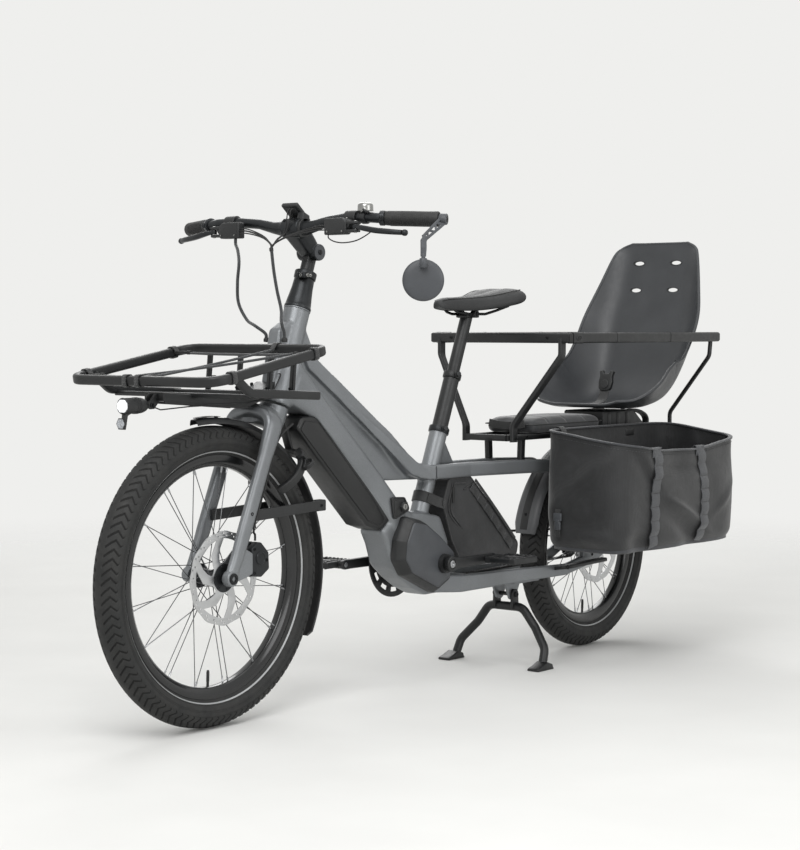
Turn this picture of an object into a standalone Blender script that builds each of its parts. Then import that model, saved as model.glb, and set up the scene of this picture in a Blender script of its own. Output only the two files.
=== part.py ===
# Long-tail cargo bike with a front rack, rear rack, child seat and one open side bag.
# Bike frame: X forward, Y to the rider's left, Z up, the front axle above X = 0.
# Heights are counted from a base line a little above the ground.
import math

import bpy
import bmesh
from mathutils import Vector

# Clearances
gap = 0.0003
running_gap = 0.0006

# Whole bike
front_axle_x = 0.7487
wheel_plane_y = -0.0224
base_line = 0.0080
wheelbase = 1.4325
crank_to_rear_axle = 0.7125
crank_height = 0.2830

# Wheels
front_tyre_radius = 0.3235
rear_tyre_radius = 0.2735
tyre_width = 0.0680
tyre_height = 0.0660
rim_width = 0.0350
rim_depth = 0.0220
wheel_steps = 32
spoke_count = 32
spoke_radius = 0.0011
spoke_spread = 0.0017
flange_radius = 0.0280
flange_y = 0.0300
axle_radius = 0.0070
rotor_radius = 0.1015
rotor_thickness = 0.0020
rotor_y = 0.0410
rotor_arms = 6
mudguard_thickness = 0.0025
front_mudguard_radius = 0.3375
front_mudguard_width = 0.0660
rear_mudguard_radius = 0.2840
rear_mudguard_width = 0.0740

# Steering
head_angle = math.radians(70.0)
fork_offset = 0.0690
head_low_z = 0.6760
head_high_z = 0.8865
head_radius_low = 0.0360
head_radius_high = 0.0295
steerer_radius = 0.0143
fork_leg_y = 0.0600
fork_leg_wide = 0.0200
fork_leg_deep = 0.0370
cover_top_z = 0.9550
collar_height = 0.0150
post_radius = 0.0155
stem_pin_radius = 0.0040
stem_pivot_z = 1.0140
stem_pivot_radius = 0.0190
bar_reach = 0.0550
bar_rise = 0.0520
bar_radius = 0.0111
bar_clamp_radius = 0.0159
bar_half_width = 0.3720
grip_length = 0.1240
grip_radius = 0.0165
mirror_radius = 0.0440
mirror_turn = math.radians(38.5)
caliper_reach = 0.0670
lock_turn = 135.5
lock_reach = 0.2980
lock_radius = 0.0620

# Frame
top_tube_half = 0.0220
top_tube_rear_half = 0.0460
down_tube_half = 0.0380
rail_rise = 0.2330
rail_tall = 0.0350
rail_wide = 0.0240
seat_angle = math.radians(68.2)
seat_foot_rise = 0.1170
seat_foot_forward = 0.0015
seat_tube_radius = 0.0220
seat_tube_rise = 0.0840
lower_post_radius = 0.0194
lower_post_top_z = 0.7340
upper_post_radius = 0.0152
upper_post_top_z = 0.8780
saddle_length = 0.2780
saddle_width = 0.1800
saddle_top_z = 0.9440
motor_radius = 0.0600
cover_thickness = 0.0365
crank_arm = 0.1700
crank_axle_radius = 0.0118
crank_y = 0.0940
pedal_length = 0.0960
pedal_width = 0.0900
pedal_thick = 0.0160
ring_radius = 0.0580
guard_radius = 0.0930
sprocket_radius = 0.0360
belt_y = -0.0500
belt_thick = 0.0040
belt_wide = 0.0100
stay_y = 0.0680
stay_wide = 0.0160

# Racks and load
hoop_x = -1.0500
handrail_rise = 0.2500
handrail_y = 0.2050
handrail_tall = 0.0260
handrail_wide = 0.0200
handrail_rear_x = -1.7770
rack_clearance = 0.0310
rack_half = 0.0600
rack_tube = 0.0160
cushion_front_x = -1.0800
cushion_length = 0.3300
cushion_half = 0.0850
cushion_thick = 0.0420
child_seat_wall = 0.0060
pannier_wall = 0.0040
pannier_front_x = -1.0950
pannier_length = 0.5700
pannier_inner_y = 0.0890
pannier_width = 0.2560
pannier_drop = 0.0100
pannier_depth = 0.2750
loop_front_x = 0.2020
loop_rear_x = -0.1500
loop_front_z = 0.7370
loop_rear_z = 0.8000
loop_half = 0.2140
loop_tall = 0.0210
loop_wide = 0.0160
loop_taper = 0.0060
stand_pivot_x = -1.0750
stand_pivot_drop = 0.10625
stay_drop = 0.05125
stand_half = 0.1400
stand_tube = 0.0110
stand_pin_radius = 0.0050

# Child seat: x behind the cushion's front, height above the rack, half width and wing height
seat_profile = (
    (-0.320, 0.070, 0.125, 0.010), (-0.360, 0.064, 0.158, 0.022), (-0.420, 0.062, 0.182, 0.055),
    (-0.490, 0.066, 0.188, 0.098), (-0.560, 0.084, 0.188, 0.112), (-0.610, 0.130, 0.188, 0.098),
    (-0.644, 0.200, 0.187, 0.070), (-0.677, 0.290, 0.184, 0.050), (-0.705, 0.380, 0.162, 0.036),
    (-0.726, 0.470, 0.136, 0.020), (-0.735, 0.508, 0.108, 0.006))

# Named places worked out from the sizes
rear_axle_x = -wheelbase
crank_x = rear_axle_x + crank_to_rear_axle
front_axle_z = front_tyre_radius - base_line
rear_axle_z = rear_tyre_radius - base_line
front_axle = Vector((0.0, 0.0, front_axle_z))
rear_axle = Vector((rear_axle_x, 0.0, rear_axle_z))
crank_centre = Vector((crank_x, 0.0, crank_height))
left = Vector((0.0, 1.0, 0.0))
middle_z = (crank_height + rear_axle_z) / 2.0
rail_height = crank_height + rail_rise
seat_foot_z = crank_height + seat_foot_rise
seat_tube_top_z = rail_height + seat_tube_rise
stay_z = middle_z - stay_drop
stand_pivot_z = middle_z - stand_pivot_drop
rack_height = rear_axle_z + rear_tyre_radius + rack_clearance
handrail_height = rack_height + handrail_rise
pannier_top_z = rack_height - pannier_drop
pannier_low_z = pannier_top_z - pannier_depth
seat_stations = [(cushion_front_x + x, rack_height + z, half, wing) for x, z, half, wing in seat_profile]


def head_x(height):
    foot = -fork_offset / math.sin(head_angle)
    return foot - (height - front_axle_z) / math.tan(head_angle)


def seat_x(height):
    return crank_x + seat_foot_forward - (height - seat_foot_z) / math.tan(seat_angle)


def head_point(height):
    return Vector((head_x(height), 0.0, height))


def seat_point(height):
    return Vector((seat_x(height), 0.0, height))


head_up = Vector((-math.cos(head_angle), 0.0, math.sin(head_angle)))
seat_up = Vector((-math.cos(seat_angle), 0.0, math.sin(seat_angle)))

# Materials: colour, roughness, metallic
finishes = {
    "grey_paint": ((0.36, 0.38, 0.40), 0.34, 0.55),
    "black_paint": ((0.045, 0.048, 0.052), 0.42, 0.35),
    "tyre_rubber": ((0.022, 0.023, 0.024), 0.72, 0.0),
    "soft_rubber": ((0.035, 0.036, 0.038), 0.62, 0.0),
    "black_plastic": ((0.040, 0.042, 0.045), 0.46, 0.0),
    "shell_plastic": ((0.115, 0.120, 0.126), 0.50, 0.0),
    "bag_canvas": ((0.070, 0.074, 0.078), 0.86, 0.0),
    "pad_foam": ((0.085, 0.089, 0.094), 0.66, 0.0),
    "rotor_steel": ((0.72, 0.73, 0.74), 0.24, 1.0),
    "bright_metal": ((0.78, 0.79, 0.80), 0.12, 1.0),
    "lens": ((0.92, 0.94, 0.95), 0.12, 0.0),
    "hose_braid": ((0.30, 0.31, 0.32), 0.40, 0.4),
}
materials = {}
bodies = {}


def make_materials():
    for name, (colour, roughness, metallic) in finishes.items():
        material = bpy.data.materials.new(name)
        material.use_nodes = True
        shader = material.node_tree.nodes["Principled BSDF"]
        shader.inputs["Base Color"].default_value = (*colour, 1.0)
        shader.inputs["Roughness"].default_value = roughness
        shader.inputs["Metallic"].default_value = metallic
        materials[name] = material


def clear_scene():
    for item in list(bpy.data.objects):
        bpy.data.objects.remove(item, do_unlink=True)


# An empty on the axis of each moving body; its pieces hang from it
def make_body(name, place, parent=None):
    empty = bpy.data.objects.new(name + "_axis", None)
    bpy.context.collection.objects.link(empty)
    place = Vector(place)
    if parent is None:
        empty.location = place
        place = Vector((0.0, 0.0, 0.0))
    else:
        empty.parent = bodies[parent][0]
        empty.location = place - bodies[parent][1]
    bodies[name] = (empty, place)


def to_object(name, shell, body, material):
    empty, place = bodies[body]
    mesh = bpy.data.meshes.new(name)
    bmesh.ops.translate(shell, verts=shell.verts, vec=-place)
    shell.to_mesh(mesh)
    shell.free()
    mesh.materials.append(materials[material])
    mesh.shade_smooth()
    mesh.set_sharp_from_angle(angle=math.radians(35.0))
    item = bpy.data.objects.new(name, mesh)
    bpy.context.collection.objects.link(item)
    item.parent = empty
    return item


def combine(item, name, shell, body, operation):
    tool = to_object(name, shell, body, item.data.materials[0].name)
    tool.hide_render = True
    tool.display_type = "WIRE"
    boolean = item.modifiers.new(name, "BOOLEAN")
    boolean.operation = operation
    boolean.object = tool
    boolean.solver = "EXACT"


# One piece of the bike: shells joined to one body, the cuts taken out, then pins put through it
def piece(name, material, body, shells, cuts=(), pins=()):
    item = to_object(name, shells[0], body, material)
    for number, shell in enumerate(shells[1:]):
        combine(item, f"{name}_join_{number}", shell, body, "UNION")
    for number, shell in enumerate(cuts):
        combine(item, f"{name}_cut_{number}", shell, body, "DIFFERENCE")
    for number, shell in enumerate(pins):
        combine(item, f"{name}_pin_{number}", shell, body, "UNION")
    weld = item.modifiers.new("weld", "WELD")
    weld.merge_threshold = 0.00002


# Shells
def finish(shell):
    bmesh.ops.recalc_face_normals(shell, faces=shell.faces)
    return shell


def add_ring(shell, points):
    return [shell.verts.new(point) for point in points]


def join_rings(shell, first, second):
    count = len(first)
    for index in range(count):
        after = (index + 1) % count
        shell.faces.new((first[index], first[after], second[after], second[index]))


def prism(outline, low, high, plane="XZ"):
    places = {"XZ": lambda u, v, w: (u, w, v), "XY": lambda u, v, w: (u, v, w),
              "YZ": lambda u, v, w: (w, u, v)}[plane]
    shell = bmesh.new()
    bottom = add_ring(shell, [places(u, v, low) for u, v in outline])
    top = add_ring(shell, [places(u, v, high) for u, v in outline])
    join_rings(shell, bottom, top)
    shell.faces.new(bottom)
    shell.faces.new(top)
    return finish(shell)


def bevelled(shell, width, steps=1, sharper_than=30.0):
    edges = [edge for edge in shell.edges
             if edge.calc_face_angle(0.0) > math.radians(sharper_than)]
    bmesh.ops.bevel(shell, geom=edges, offset=width, segments=steps, affect="EDGES", profile=0.5,
                    clamp_overlap=True)
    return finish(shell)


def block(centre, size, corner=0.0):
    half_x, half_y, half_z = (side / 2.0 for side in size)
    x, y, z = centre
    outline = [(x - half_x, z - half_z), (x + half_x, z - half_z),
               (x + half_x, z + half_z), (x - half_x, z + half_z)]
    shell = prism(outline, y - half_y, y + half_y)
    if corner > 0.0:
        bevelled(shell, corner)
    return shell


# Turned about a line: the profile holds (radius, distance along the line)
def turned(profile, start, direction, steps=16):
    start = Vector(start)
    along = Vector(direction).normalized()
    hint = left if abs(along.dot(left)) < 0.9 else Vector((0.0, 0.0, -1.0))
    side = (hint - along * hint.dot(along)).normalized()
    other = along.cross(side)
    shell = bmesh.new()
    rings = []
    for radius, distance in profile:
        centre = start + along * distance
        if radius < 1e-6:
            rings.append([shell.verts.new(centre)])
            continue
        turns = [math.tau * step / steps for step in range(steps)]
        rings.append(add_ring(shell, [centre + (side * math.cos(turn) + other * math.sin(turn)) * radius
                                      for turn in turns]))
    closed = len(rings[0]) > 1
    pairs = list(zip(rings, rings[1:]))
    if closed:
        pairs.append((rings[-1], rings[0]))
    for first, second in pairs:
        if len(first) == 1 or len(second) == 1:
            tip, ring = (first[0], second) if len(first) == 1 else (second[0], first)
            for index in range(steps):
                shell.faces.new((tip, ring[index], ring[(index + 1) % steps]))
        else:
            join_rings(shell, first, second)
    return finish(shell)


def rod(start, end, radius, steps=8):
    start, end = Vector(start), Vector(end)
    length = (end - start).length
    return turned([(0.0, 0.0), (radius, 0.0), (radius, length), (0.0, length)], start, end - start, steps)


# The flats of a round hole stay clear of a shaft of the given radius
def bore_radius(radius, steps):
    return (radius + gap) / math.cos(math.pi / steps)


def bore(start, end, radius, steps=12):
    return rod(start, end, bore_radius(radius, steps), steps)


def sleeve(start, end, radius, shaft, steps=16):
    start, end = Vector(start), Vector(end)
    length = (end - start).length
    bore = bore_radius(shaft, steps)
    profile = [(bore, 0.0), (radius, 0.0), (radius, length), (bore, length)]
    return turned(profile, start, end - start, steps)


def round_section(radius, steps=8):
    turns = [math.tau * (step + 0.5) / steps for step in range(steps)]
    return [(math.cos(turn) * radius, math.sin(turn) * radius) for turn in turns]


def box_section(wide, tall, corner):
    u, v = wide / 2.0, tall / 2.0
    return [(u, v - corner), (u - corner, v), (corner - u, v), (-u, v - corner),
            (-u, corner - v), (corner - u, -v), (u - corner, -v), (u, corner - v)]


# Corners of a line of points turned into arcs of the given radius
def rounded_path(points, radius, steps=3, closed=False):
    points = [Vector(point) for point in points]
    count = len(points)
    path = []
    for index, corner in enumerate(points):
        if not closed and index in (0, count - 1):
            path.append(corner)
            continue
        before = (points[index - 1] - corner)
        after = (points[(index + 1) % count] - corner)
        bend = math.pi - before.angle(after)
        reach = min(radius * math.tan(bend / 2.0), before.length * 0.45, after.length * 0.45)
        first = corner + before.normalized() * reach
        last = corner + after.normalized() * reach
        for step in range(steps + 1):
            share = step / steps
            path.append(first.lerp(corner, share).lerp(corner.lerp(last, share), share))
    return path


# A section carried along a path, mitred at its corners; U of the section follows the hint
def swept(points, section, hint=(0.0, 1.0, 0.0), sizes=None, closed=False):
    points = [Vector(point) for point in points]
    count = len(points)
    hint = Vector(hint)
    shell = bmesh.new()
    rings = []
    for index, point in enumerate(points):
        before = point - points[index - 1]
        after = points[(index + 1) % count] - point
        if not closed and index == 0:
            before = after
        if not closed and index == count - 1:
            after = before
        before, after = before.normalized(), after.normalized()
        plane = (before + after).normalized()
        side = (hint - before * hint.dot(before)).normalized()
        other = before.cross(side)
        size = 1.0 if sizes is None else sizes[index]
        ring = []
        for u, v in section:
            offset = (side * u + other * v) * size
            ring.append(point + offset - before * (offset.dot(plane) / before.dot(plane)))
        rings.append(add_ring(shell, ring))
    for first, second in zip(rings, rings[1:]):
        join_rings(shell, first, second)
    if closed:
        join_rings(shell, rings[-1], rings[0])
    else:
        shell.faces.new(rings[0])
        shell.faces.new(rings[-1])
    return finish(shell)


def mirrored(point, side):
    return Vector((point[0], point[1] * side, point[2]))


def around(centre, radius, degrees):
    turn = math.radians(degrees)
    return Vector((centre[0] + radius * math.cos(turn), centre[1], centre[2] + radius * math.sin(turn)))


# Wheels
def tyre(name, body, axle, outer):
    bead = outer - tyre_height + gap
    half = tyre_width / 2.0
    seat = rim_width / 2.0 - 0.002
    profile = [(bead, -seat), (bead + 0.020, -half * 0.96), (outer - 0.022, -half * 0.96),
               (outer - 0.0055, -half * 0.60), (outer, 0.0)]
    profile += [(radius, -along) for radius, along in reversed(profile[:-1])]
    piece(name, "tyre_rubber", body, [turned(profile, axle, left, wheel_steps)])


def spoke_set(axle, hub_radius, rim_inner, side, lean):
    shell = bmesh.new()
    per_set = spoke_count // 4
    for number in range(per_set):
        start_turn = math.tau * number / per_set
        start_turn += math.tau / (2 * per_set) if side > 0 else 0.0
        sweep = lean * math.tau * 0.19
        offset = math.tau * 0.25 / per_set * lean
        hub_y = side * (flange_y + lean * spoke_spread)
        inner = Vector((math.cos(start_turn) * hub_radius, hub_y, math.sin(start_turn) * hub_radius))
        end_turn = start_turn + sweep + offset
        outer = Vector((math.cos(end_turn) * rim_inner, side * 0.004, math.sin(end_turn) * rim_inner))
        spoke = rod(axle + inner, axle + outer, spoke_radius, 3)
        mesh = bpy.data.meshes.new("spoke")
        spoke.to_mesh(mesh)
        spoke.free()
        shell.from_mesh(mesh)
        bpy.data.meshes.remove(mesh)
    return finish(shell)


def wheel(axle, outer, hub_half):
    rim_outer = outer - tyre_height - gap
    rim_inner = rim_outer - rim_depth
    rim = turned([(rim_outer, -rim_width / 2.0), (rim_outer, rim_width / 2.0),
                  (rim_outer - 0.012, rim_width / 2.0 - 0.001), (rim_inner, 0.009),
                  (rim_inner, -0.009), (rim_outer - 0.012,
                                        0.001 - rim_width / 2.0)], axle, left, wheel_steps)
    hole = bore_radius(axle_radius, 16)
    flange = flange_y + 0.003
    boss = rotor_y - rotor_thickness / 2.0 - gap
    hub = turned([(hole, -hub_half), (0.012, -hub_half), (0.013, -flange), (flange_radius, -flange),
                  (flange_radius, -flange + 0.006), (0.017, -flange + 0.010), (0.017, flange - 0.010),
                  (flange_radius, flange - 0.006), (flange_radius, flange), (0.022, flange),
                  (0.022, boss), (0.012, boss), (0.012, hub_half), (hole, hub_half)], axle, left, 16)
    shells = [rim]
    for side in (1, -1):
        for lean in (1, -1):
            shells.append(spoke_set(axle, flange_radius - 0.005, rim_inner + 0.004, side, lean))
    shells.append(hub)
    return shells


def rotor(name, body, axle):
    low = rotor_y - rotor_thickness / 2.0
    outer = sleeve(axle + left * low, axle + left * (low + rotor_thickness), rotor_radius,
                   rotor_radius - 0.017, 28)
    inner = sleeve(axle + left * low, axle + left * (low + rotor_thickness), 0.030, 0.0120, 14)
    arms = []
    for number in range(rotor_arms):
        turn = 360.0 / rotor_arms * number
        path = [around(axle + left * rotor_y, radius, turn + bend)
                for radius, bend in ((0.026, 0.0), (0.055, 18.0), (0.090, 46.0))]
        arms.append(swept(path, [(rotor_thickness / 2.0, 0.0032), (-rotor_thickness / 2.0, 0.0032),
                                 (-rotor_thickness / 2.0, -0.0032), (rotor_thickness / 2.0, -0.0032)]))
    piece(name, "rotor_steel", body, [outer, inner] + arms)


def make_wheels():
    tyre("front_tyre", "front_wheel", front_axle, front_tyre_radius)
    hub_half = fork_leg_y - fork_leg_wide / 2.0 - running_gap
    piece("front_wheel", "black_paint", "front_wheel",
          wheel(front_axle, front_tyre_radius, hub_half))
    rotor("front_rotor", "front_wheel", front_axle)
    tyre("rear_tyre", "rear_wheel", rear_axle, rear_tyre_radius)
    hub_half = stay_y - stay_wide / 2.0 - running_gap
    shells = wheel(rear_axle, rear_tyre_radius, hub_half)
    cog_low, cog_high = belt_y - belt_wide / 2.0, belt_y + belt_wide / 2.0
    shells.append(sleeve(rear_axle + left * cog_low, rear_axle + left * cog_high, sprocket_radius, 0.0095,
                         20))
    piece("rear_wheel", "black_paint", "rear_wheel", shells)
    rotor("rear_rotor", "rear_wheel", rear_axle)


# Arched strip over a wheel between two angles
def arch(axle, radius, width, start, end, steps, tips):
    turns = [start + (end - start) * step / steps for step in range(steps + 1)]
    path = [around(axle, radius, turn) for turn in turns]
    half = width / 2.0
    drop = mudguard_thickness
    section = [(half, -0.010), (half * 0.72, 0.0), (-half * 0.72, 0.0), (-half, -0.010),
               (-half + drop, -0.010 - drop * 0.6), (-half * 0.70, -drop),
               (half * 0.70, -drop), (half - drop, -0.010 - drop * 0.6)]
    sizes = [tips[0], tips[1]] + [1.0] * (steps - 2) + [tips[2]]
    return swept(path, [(u, -v) for u, v in section], sizes=sizes)


# Main frame: head tube, top tube, down tube with the motor shell, seat tube and its gusset
def flare(shell, start_x, end_x, start_half, end_half):
    for vert in shell.verts:
        share = min(max((vert.co.x - start_x) / (end_x - start_x), 0.0), 1.0)
        vert.co.y *= (start_half + (end_half - start_half) * share) / start_half
    return shell


def nose_x(height):
    return head_x(0.700) + head_radius_low + 0.004 - (height - 0.700) * 0.22


def make_main_frame():
    head_tube = turned([(0.0, 0.0), (head_radius_low, 0.0), (head_radius_low, 0.030),
                        (head_radius_high, 0.160),
                        (head_radius_high, (head_high_z - head_low_z) / math.sin(head_angle)),
                        (0.0, (head_high_z - head_low_z) / math.sin(head_angle))],
                       head_point(head_low_z), head_up, 20)
    nose = bevelled(prism([(head_x(0.866), 0.866), (head_x(0.850) + head_radius_high + 0.004, 0.856),
                           (nose_x(0.842), 0.842), (nose_x(0.700), 0.700), (head_x(0.690), 0.690)],
                          -0.017, 0.017), 0.004)
    rail_low = rail_height - rail_tall
    top_end = seat_x(rail_height) + seat_tube_radius + 0.012
    top_tube = prism([(head_x(0.866), 0.866), (head_x(0.779) - 0.078, 0.779),
                      (crank_x + 0.140, rail_height + 0.083), (crank_x + 0.084, rail_height + 0.032),
                      (crank_x + 0.056, rail_height + 0.011), (crank_x + 0.022, rail_height + 0.002),
                      (top_end, rail_height), (top_end, rail_low), (crank_x + 0.160, rail_low + 0.006),
                      (head_x(0.730), 0.730)], -top_tube_half, top_tube_half)
    flare(top_tube, crank_x + 0.180, top_end, top_tube_half, top_tube_rear_half)
    bevelled(top_tube, 0.007)
    down_tube = prism([(head_x(0.790), 0.790), (head_x(0.756) - 0.032, 0.756),
                       (head_x(0.669) - 0.155, 0.669), (crank_x + 0.197, crank_height + 0.234),
                       (crank_x + 0.130, crank_height + 0.168), (crank_x + 0.072, crank_height + 0.125),
                       (crank_x + 0.032, crank_height + 0.122), (crank_x - 0.040, crank_height + 0.109),
                       (crank_x - 0.070, crank_height + 0.047), (crank_x - 0.070, crank_height - 0.077),
                       (crank_x + 0.016, crank_height - 0.078), (crank_x + 0.063, crank_height - 0.058),
                       (crank_x + 0.148, crank_height + 0.003), (crank_x + 0.166, crank_height + 0.053),
                       (crank_x + 0.187, crank_height + 0.089), (crank_x + 0.160, crank_height + 0.108),
                       (crank_x + 0.212, crank_height + 0.162), (head_x(0.639) - 0.117, 0.639),
                       (head_x(0.673) - 0.030, 0.673), (head_x(0.690), 0.690)],
                      -down_tube_half, down_tube_half)
    bevelled(down_tube, 0.009)
    seat_tube = turned([(0.0, 0.0), (seat_tube_radius, 0.0),
                        (seat_tube_radius, (seat_tube_top_z - seat_foot_z + 0.020) / math.sin(seat_angle)),
                        (0.0, (seat_tube_top_z - seat_foot_z + 0.020) / math.sin(seat_angle))],
                       seat_point(seat_foot_z - 0.020), seat_up, 16)
    gusset_z = rail_height + 0.059
    gusset = prism([(seat_x(gusset_z), gusset_z), (seat_x(gusset_z) - 0.022, gusset_z - 0.005),
                    (seat_x(rail_height) - 0.085, rail_height - 0.004),
                    (seat_x(rail_height), rail_height - 0.004)], -0.0075, 0.0075)
    steerer_bore = bore(head_point(head_low_z - 0.02), head_point(head_high_z + 0.02), steerer_radius)
    post_bore = bore(seat_point(seat_foot_z + 0.010), seat_point(seat_tube_top_z + 0.05),
                     lower_post_radius, 16)
    motor_bay = bore(crank_centre - left * 0.06, crank_centre + left * 0.06, motor_radius, 20)
    piece("main_frame", "grey_paint", "root", [down_tube, top_tube, head_tube, nose, seat_tube, gusset],
          [steerer_bore, post_bore, motor_bay])


def make_rear_triangle():
    rail_mid = rail_height - rail_tall / 2.0
    rail_start = seat_x(rail_height) + seat_tube_radius + 0.012 - gap
    shells = []
    for side in (1, -1):
        rail = [(rail_start, 0.034, rail_mid), (seat_x(rail_height) - 0.100, 0.034, rail_mid),
                (rear_axle_x + 0.330, 0.056, rail_mid - 0.004), (rear_axle_x + 0.130, stay_y,
                                                                 rail_mid - 0.012),
                (rear_axle_x + 0.020, stay_y, rear_axle_z + 0.060), (rear_axle_x, stay_y, rear_axle_z)]
        sizes = [1.0, 1.0, 1.0, 0.92, 0.66, 0.62]
        section = box_section(rail_wide, rail_tall, 0.006)
        shells.append(swept([mirrored(point, side) for point in rail], section, sizes=sizes))
        start_drop = 0.056 if side > 0 else 0.030
        stay = [(crank_x - 0.072, stay_y, crank_height - start_drop), (crank_x - 0.330, stay_y, stay_z),
                (rear_axle_x + 0.190, stay_y, rear_axle_z - 0.0465),
                (rear_axle_x + 0.060, stay_y, rear_axle_z - 0.0255), (rear_axle_x, stay_y, rear_axle_z)]
        section = box_section(stay_wide, 0.042, 0.005)
        shells.append(swept([mirrored(point, side) for point in stay], section,
                            sizes=[1.0, 0.9, 0.8, 0.7, 0.7]))
        low, high = stay_y - stay_wide / 2.0, stay_y + stay_wide / 2.0
        shells.append(rod(mirrored((rear_axle_x, low, rear_axle_z), side),
                          mirrored((rear_axle_x, high, rear_axle_z), side), 0.021, 14))
    edge = stay_y + stay_wide / 2.0
    yoke = [(edge, -0.0765), (edge, -0.0355), (-0.028, -0.0355), (-0.038, -0.0110), (-edge, -0.0110),
            (-edge, -0.0490), (-0.034, -0.0490), (-0.028, -0.0765)]
    yoke = prism([(y, crank_height + z) for y, z in yoke], crank_x - 0.106, crank_x - 0.070 - gap, "YZ")
    bridge = block((stand_pivot_x, 0.0, stand_pivot_z + 0.040), (0.110, 2 * stay_y, 0.014), 0.002)
    lug = [(stand_pivot_x - 0.036, stand_pivot_z + 0.038), (stand_pivot_x - 0.014, stand_pivot_z - 0.013),
           (stand_pivot_x + 0.014, stand_pivot_z - 0.013), (stand_pivot_x + 0.036, stand_pivot_z + 0.038)]
    lugs = [prism(lug, side * 0.020 - 0.003, side * 0.020 + 0.003) for side in (1, -1)]
    boss = block((rear_axle_x + 0.088, edge - 0.0080, rear_axle_z + 0.0025), (0.050, 0.0162, 0.060), 0.002)
    axle = rod(rear_axle - left * (stay_y + 0.012), rear_axle + left * (stay_y + 0.012), axle_radius, 12)
    step_line = [(rear_axle_x + 0.236, stay_y, stay_z + 0.003), (rear_axle_x + 0.236, 0.104, stay_z + 0.009),
                 (rear_axle_x + 0.060, 0.104, stay_z + 0.013)]
    step = swept(rounded_path(step_line, 0.020, 2), box_section(0.010, 0.020, 0.002), hint=(0.0, 0.0, 1.0))
    pin_bore = bore((stand_pivot_x, -0.05, stand_pivot_z), (stand_pivot_x, 0.05, stand_pivot_z),
                    stand_pin_radius)
    shells = [yoke] + shells + [bridge, boss] + lugs + [axle, step]
    piece("rear_triangle", "grey_paint", "root", shells, [pin_bore])


def make_battery():
    half = down_tube_half - 0.003
    outline = [(head_x(0.654) - 0.062, 0.6525 - 0.004), (head_x(0.622) - 0.056, 0.622),
               (crank_x + 0.236, crank_height + 0.105), (crank_x + 0.190, crank_height + 0.0905),
               (crank_x + 0.1635, crank_height + 0.1050), (crank_x + 0.2155, crank_height + 0.1595),
               (head_x(0.639) - 0.113, 0.6345)]
    piece("battery", "black_plastic", "root", [bevelled(prism(outline, -half, half), 0.006)],
          [frame_tool()])


# The frame's lower edge, a hair larger, keeps the battery clear of it
def frame_tool():
    return prism([(head_x(0.690), 0.720), (crank_x + 0.130, crank_height + 0.237),
                  (crank_x + 0.080, crank_height + 0.057), (crank_x + 0.166, crank_height + 0.053),
                  (crank_x + 0.187 + gap, crank_height + 0.089 - gap),
                  (crank_x + 0.160 + 2 * gap, crank_height + 0.108 - gap),
                  (crank_x + 0.212 + gap, crank_height + 0.162 - gap),
                  (head_x(0.639) - 0.117 + gap, 0.639 - gap), (head_x(0.673) - 0.030, 0.673 - gap)],
                 -0.08, 0.08)


def make_battery_lock():
    outline = [(crank_x + 0.161, crank_height + 0.166), (crank_x + 0.113, crank_height + 0.163),
               (crank_x + 0.094, crank_height + 0.134), (crank_x + 0.150, crank_height + 0.115)]
    low = down_tube_half + gap
    shell = bevelled(prism(outline, low, low + 0.008), 0.002)
    keyhole = Vector((crank_x + 0.112, low, crank_height + 0.141))
    cylinder = rod(keyhole + left * 0.004, keyhole + left * 0.014, 0.009, 12)
    piece("battery_lock", "black_plastic", "root", [shell, cylinder])


def make_drive():
    hole = bore_radius(crank_axle_radius, 20)
    unit = turned([(hole, -down_tube_half - 0.0055), (0.030, -down_tube_half - 0.0055),
                   (0.034, -down_tube_half), (motor_radius, -down_tube_half), (motor_radius, down_tube_half),
                   (hole, down_tube_half)], crank_centre, left, 20)
    piece("drive_unit", "black_plastic", "root", [unit])
    low = down_tube_half + gap
    outline = [(crank_x + 0.122, crank_height + 0.121), (crank_x + 0.151, crank_height + 0.066),
               (crank_x + 0.157, crank_height + 0.019), (crank_x + 0.130, crank_height - 0.019),
               (crank_x + 0.012, crank_height - 0.072), (crank_x - 0.040, crank_height - 0.048),
               (crank_x - 0.062, crank_height + 0.019), (crank_x + 0.002, crank_height + 0.069),
               (crank_x + 0.064, crank_height + 0.108)]
    cover = bevelled(prism(outline, low, low + cover_thickness), 0.008)
    piece("motor_cover", "black_plastic", "root", [cover],
          [rod(crank_centre, crank_centre + left * 0.2, crank_axle_radius + 0.004, 16)])


def belt_path():
    reach = (crank_centre - rear_axle).length
    lean = math.degrees(math.asin((ring_radius - sprocket_radius) / reach))
    tilt = math.degrees(math.atan2(crank_height - rear_axle_z, crank_x - rear_axle_x))
    mid = gap + belt_thick / 2.0
    path = []
    for centre, radius, start, end in ((crank_centre, ring_radius, 90.0 + lean, -90.0 - lean),
                                       (rear_axle, sprocket_radius, 270.0 - lean, 90.0 + lean)):
        for step in range(17):
            turn = tilt + start + (end - start) * step / 16
            path.append(around(centre + left * belt_y, (radius + mid) / math.cos(math.radians(6.0)), turn))
    return path


def make_belt():
    section = [(belt_wide / 2.0, belt_thick / 2.0), (-belt_wide / 2.0, belt_thick / 2.0),
               (-belt_wide / 2.0, -belt_thick / 2.0), (belt_wide / 2.0, -belt_thick / 2.0)]
    piece("drive_belt", "soft_rubber", "root", [swept(belt_path(), section, closed=True)])


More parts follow.
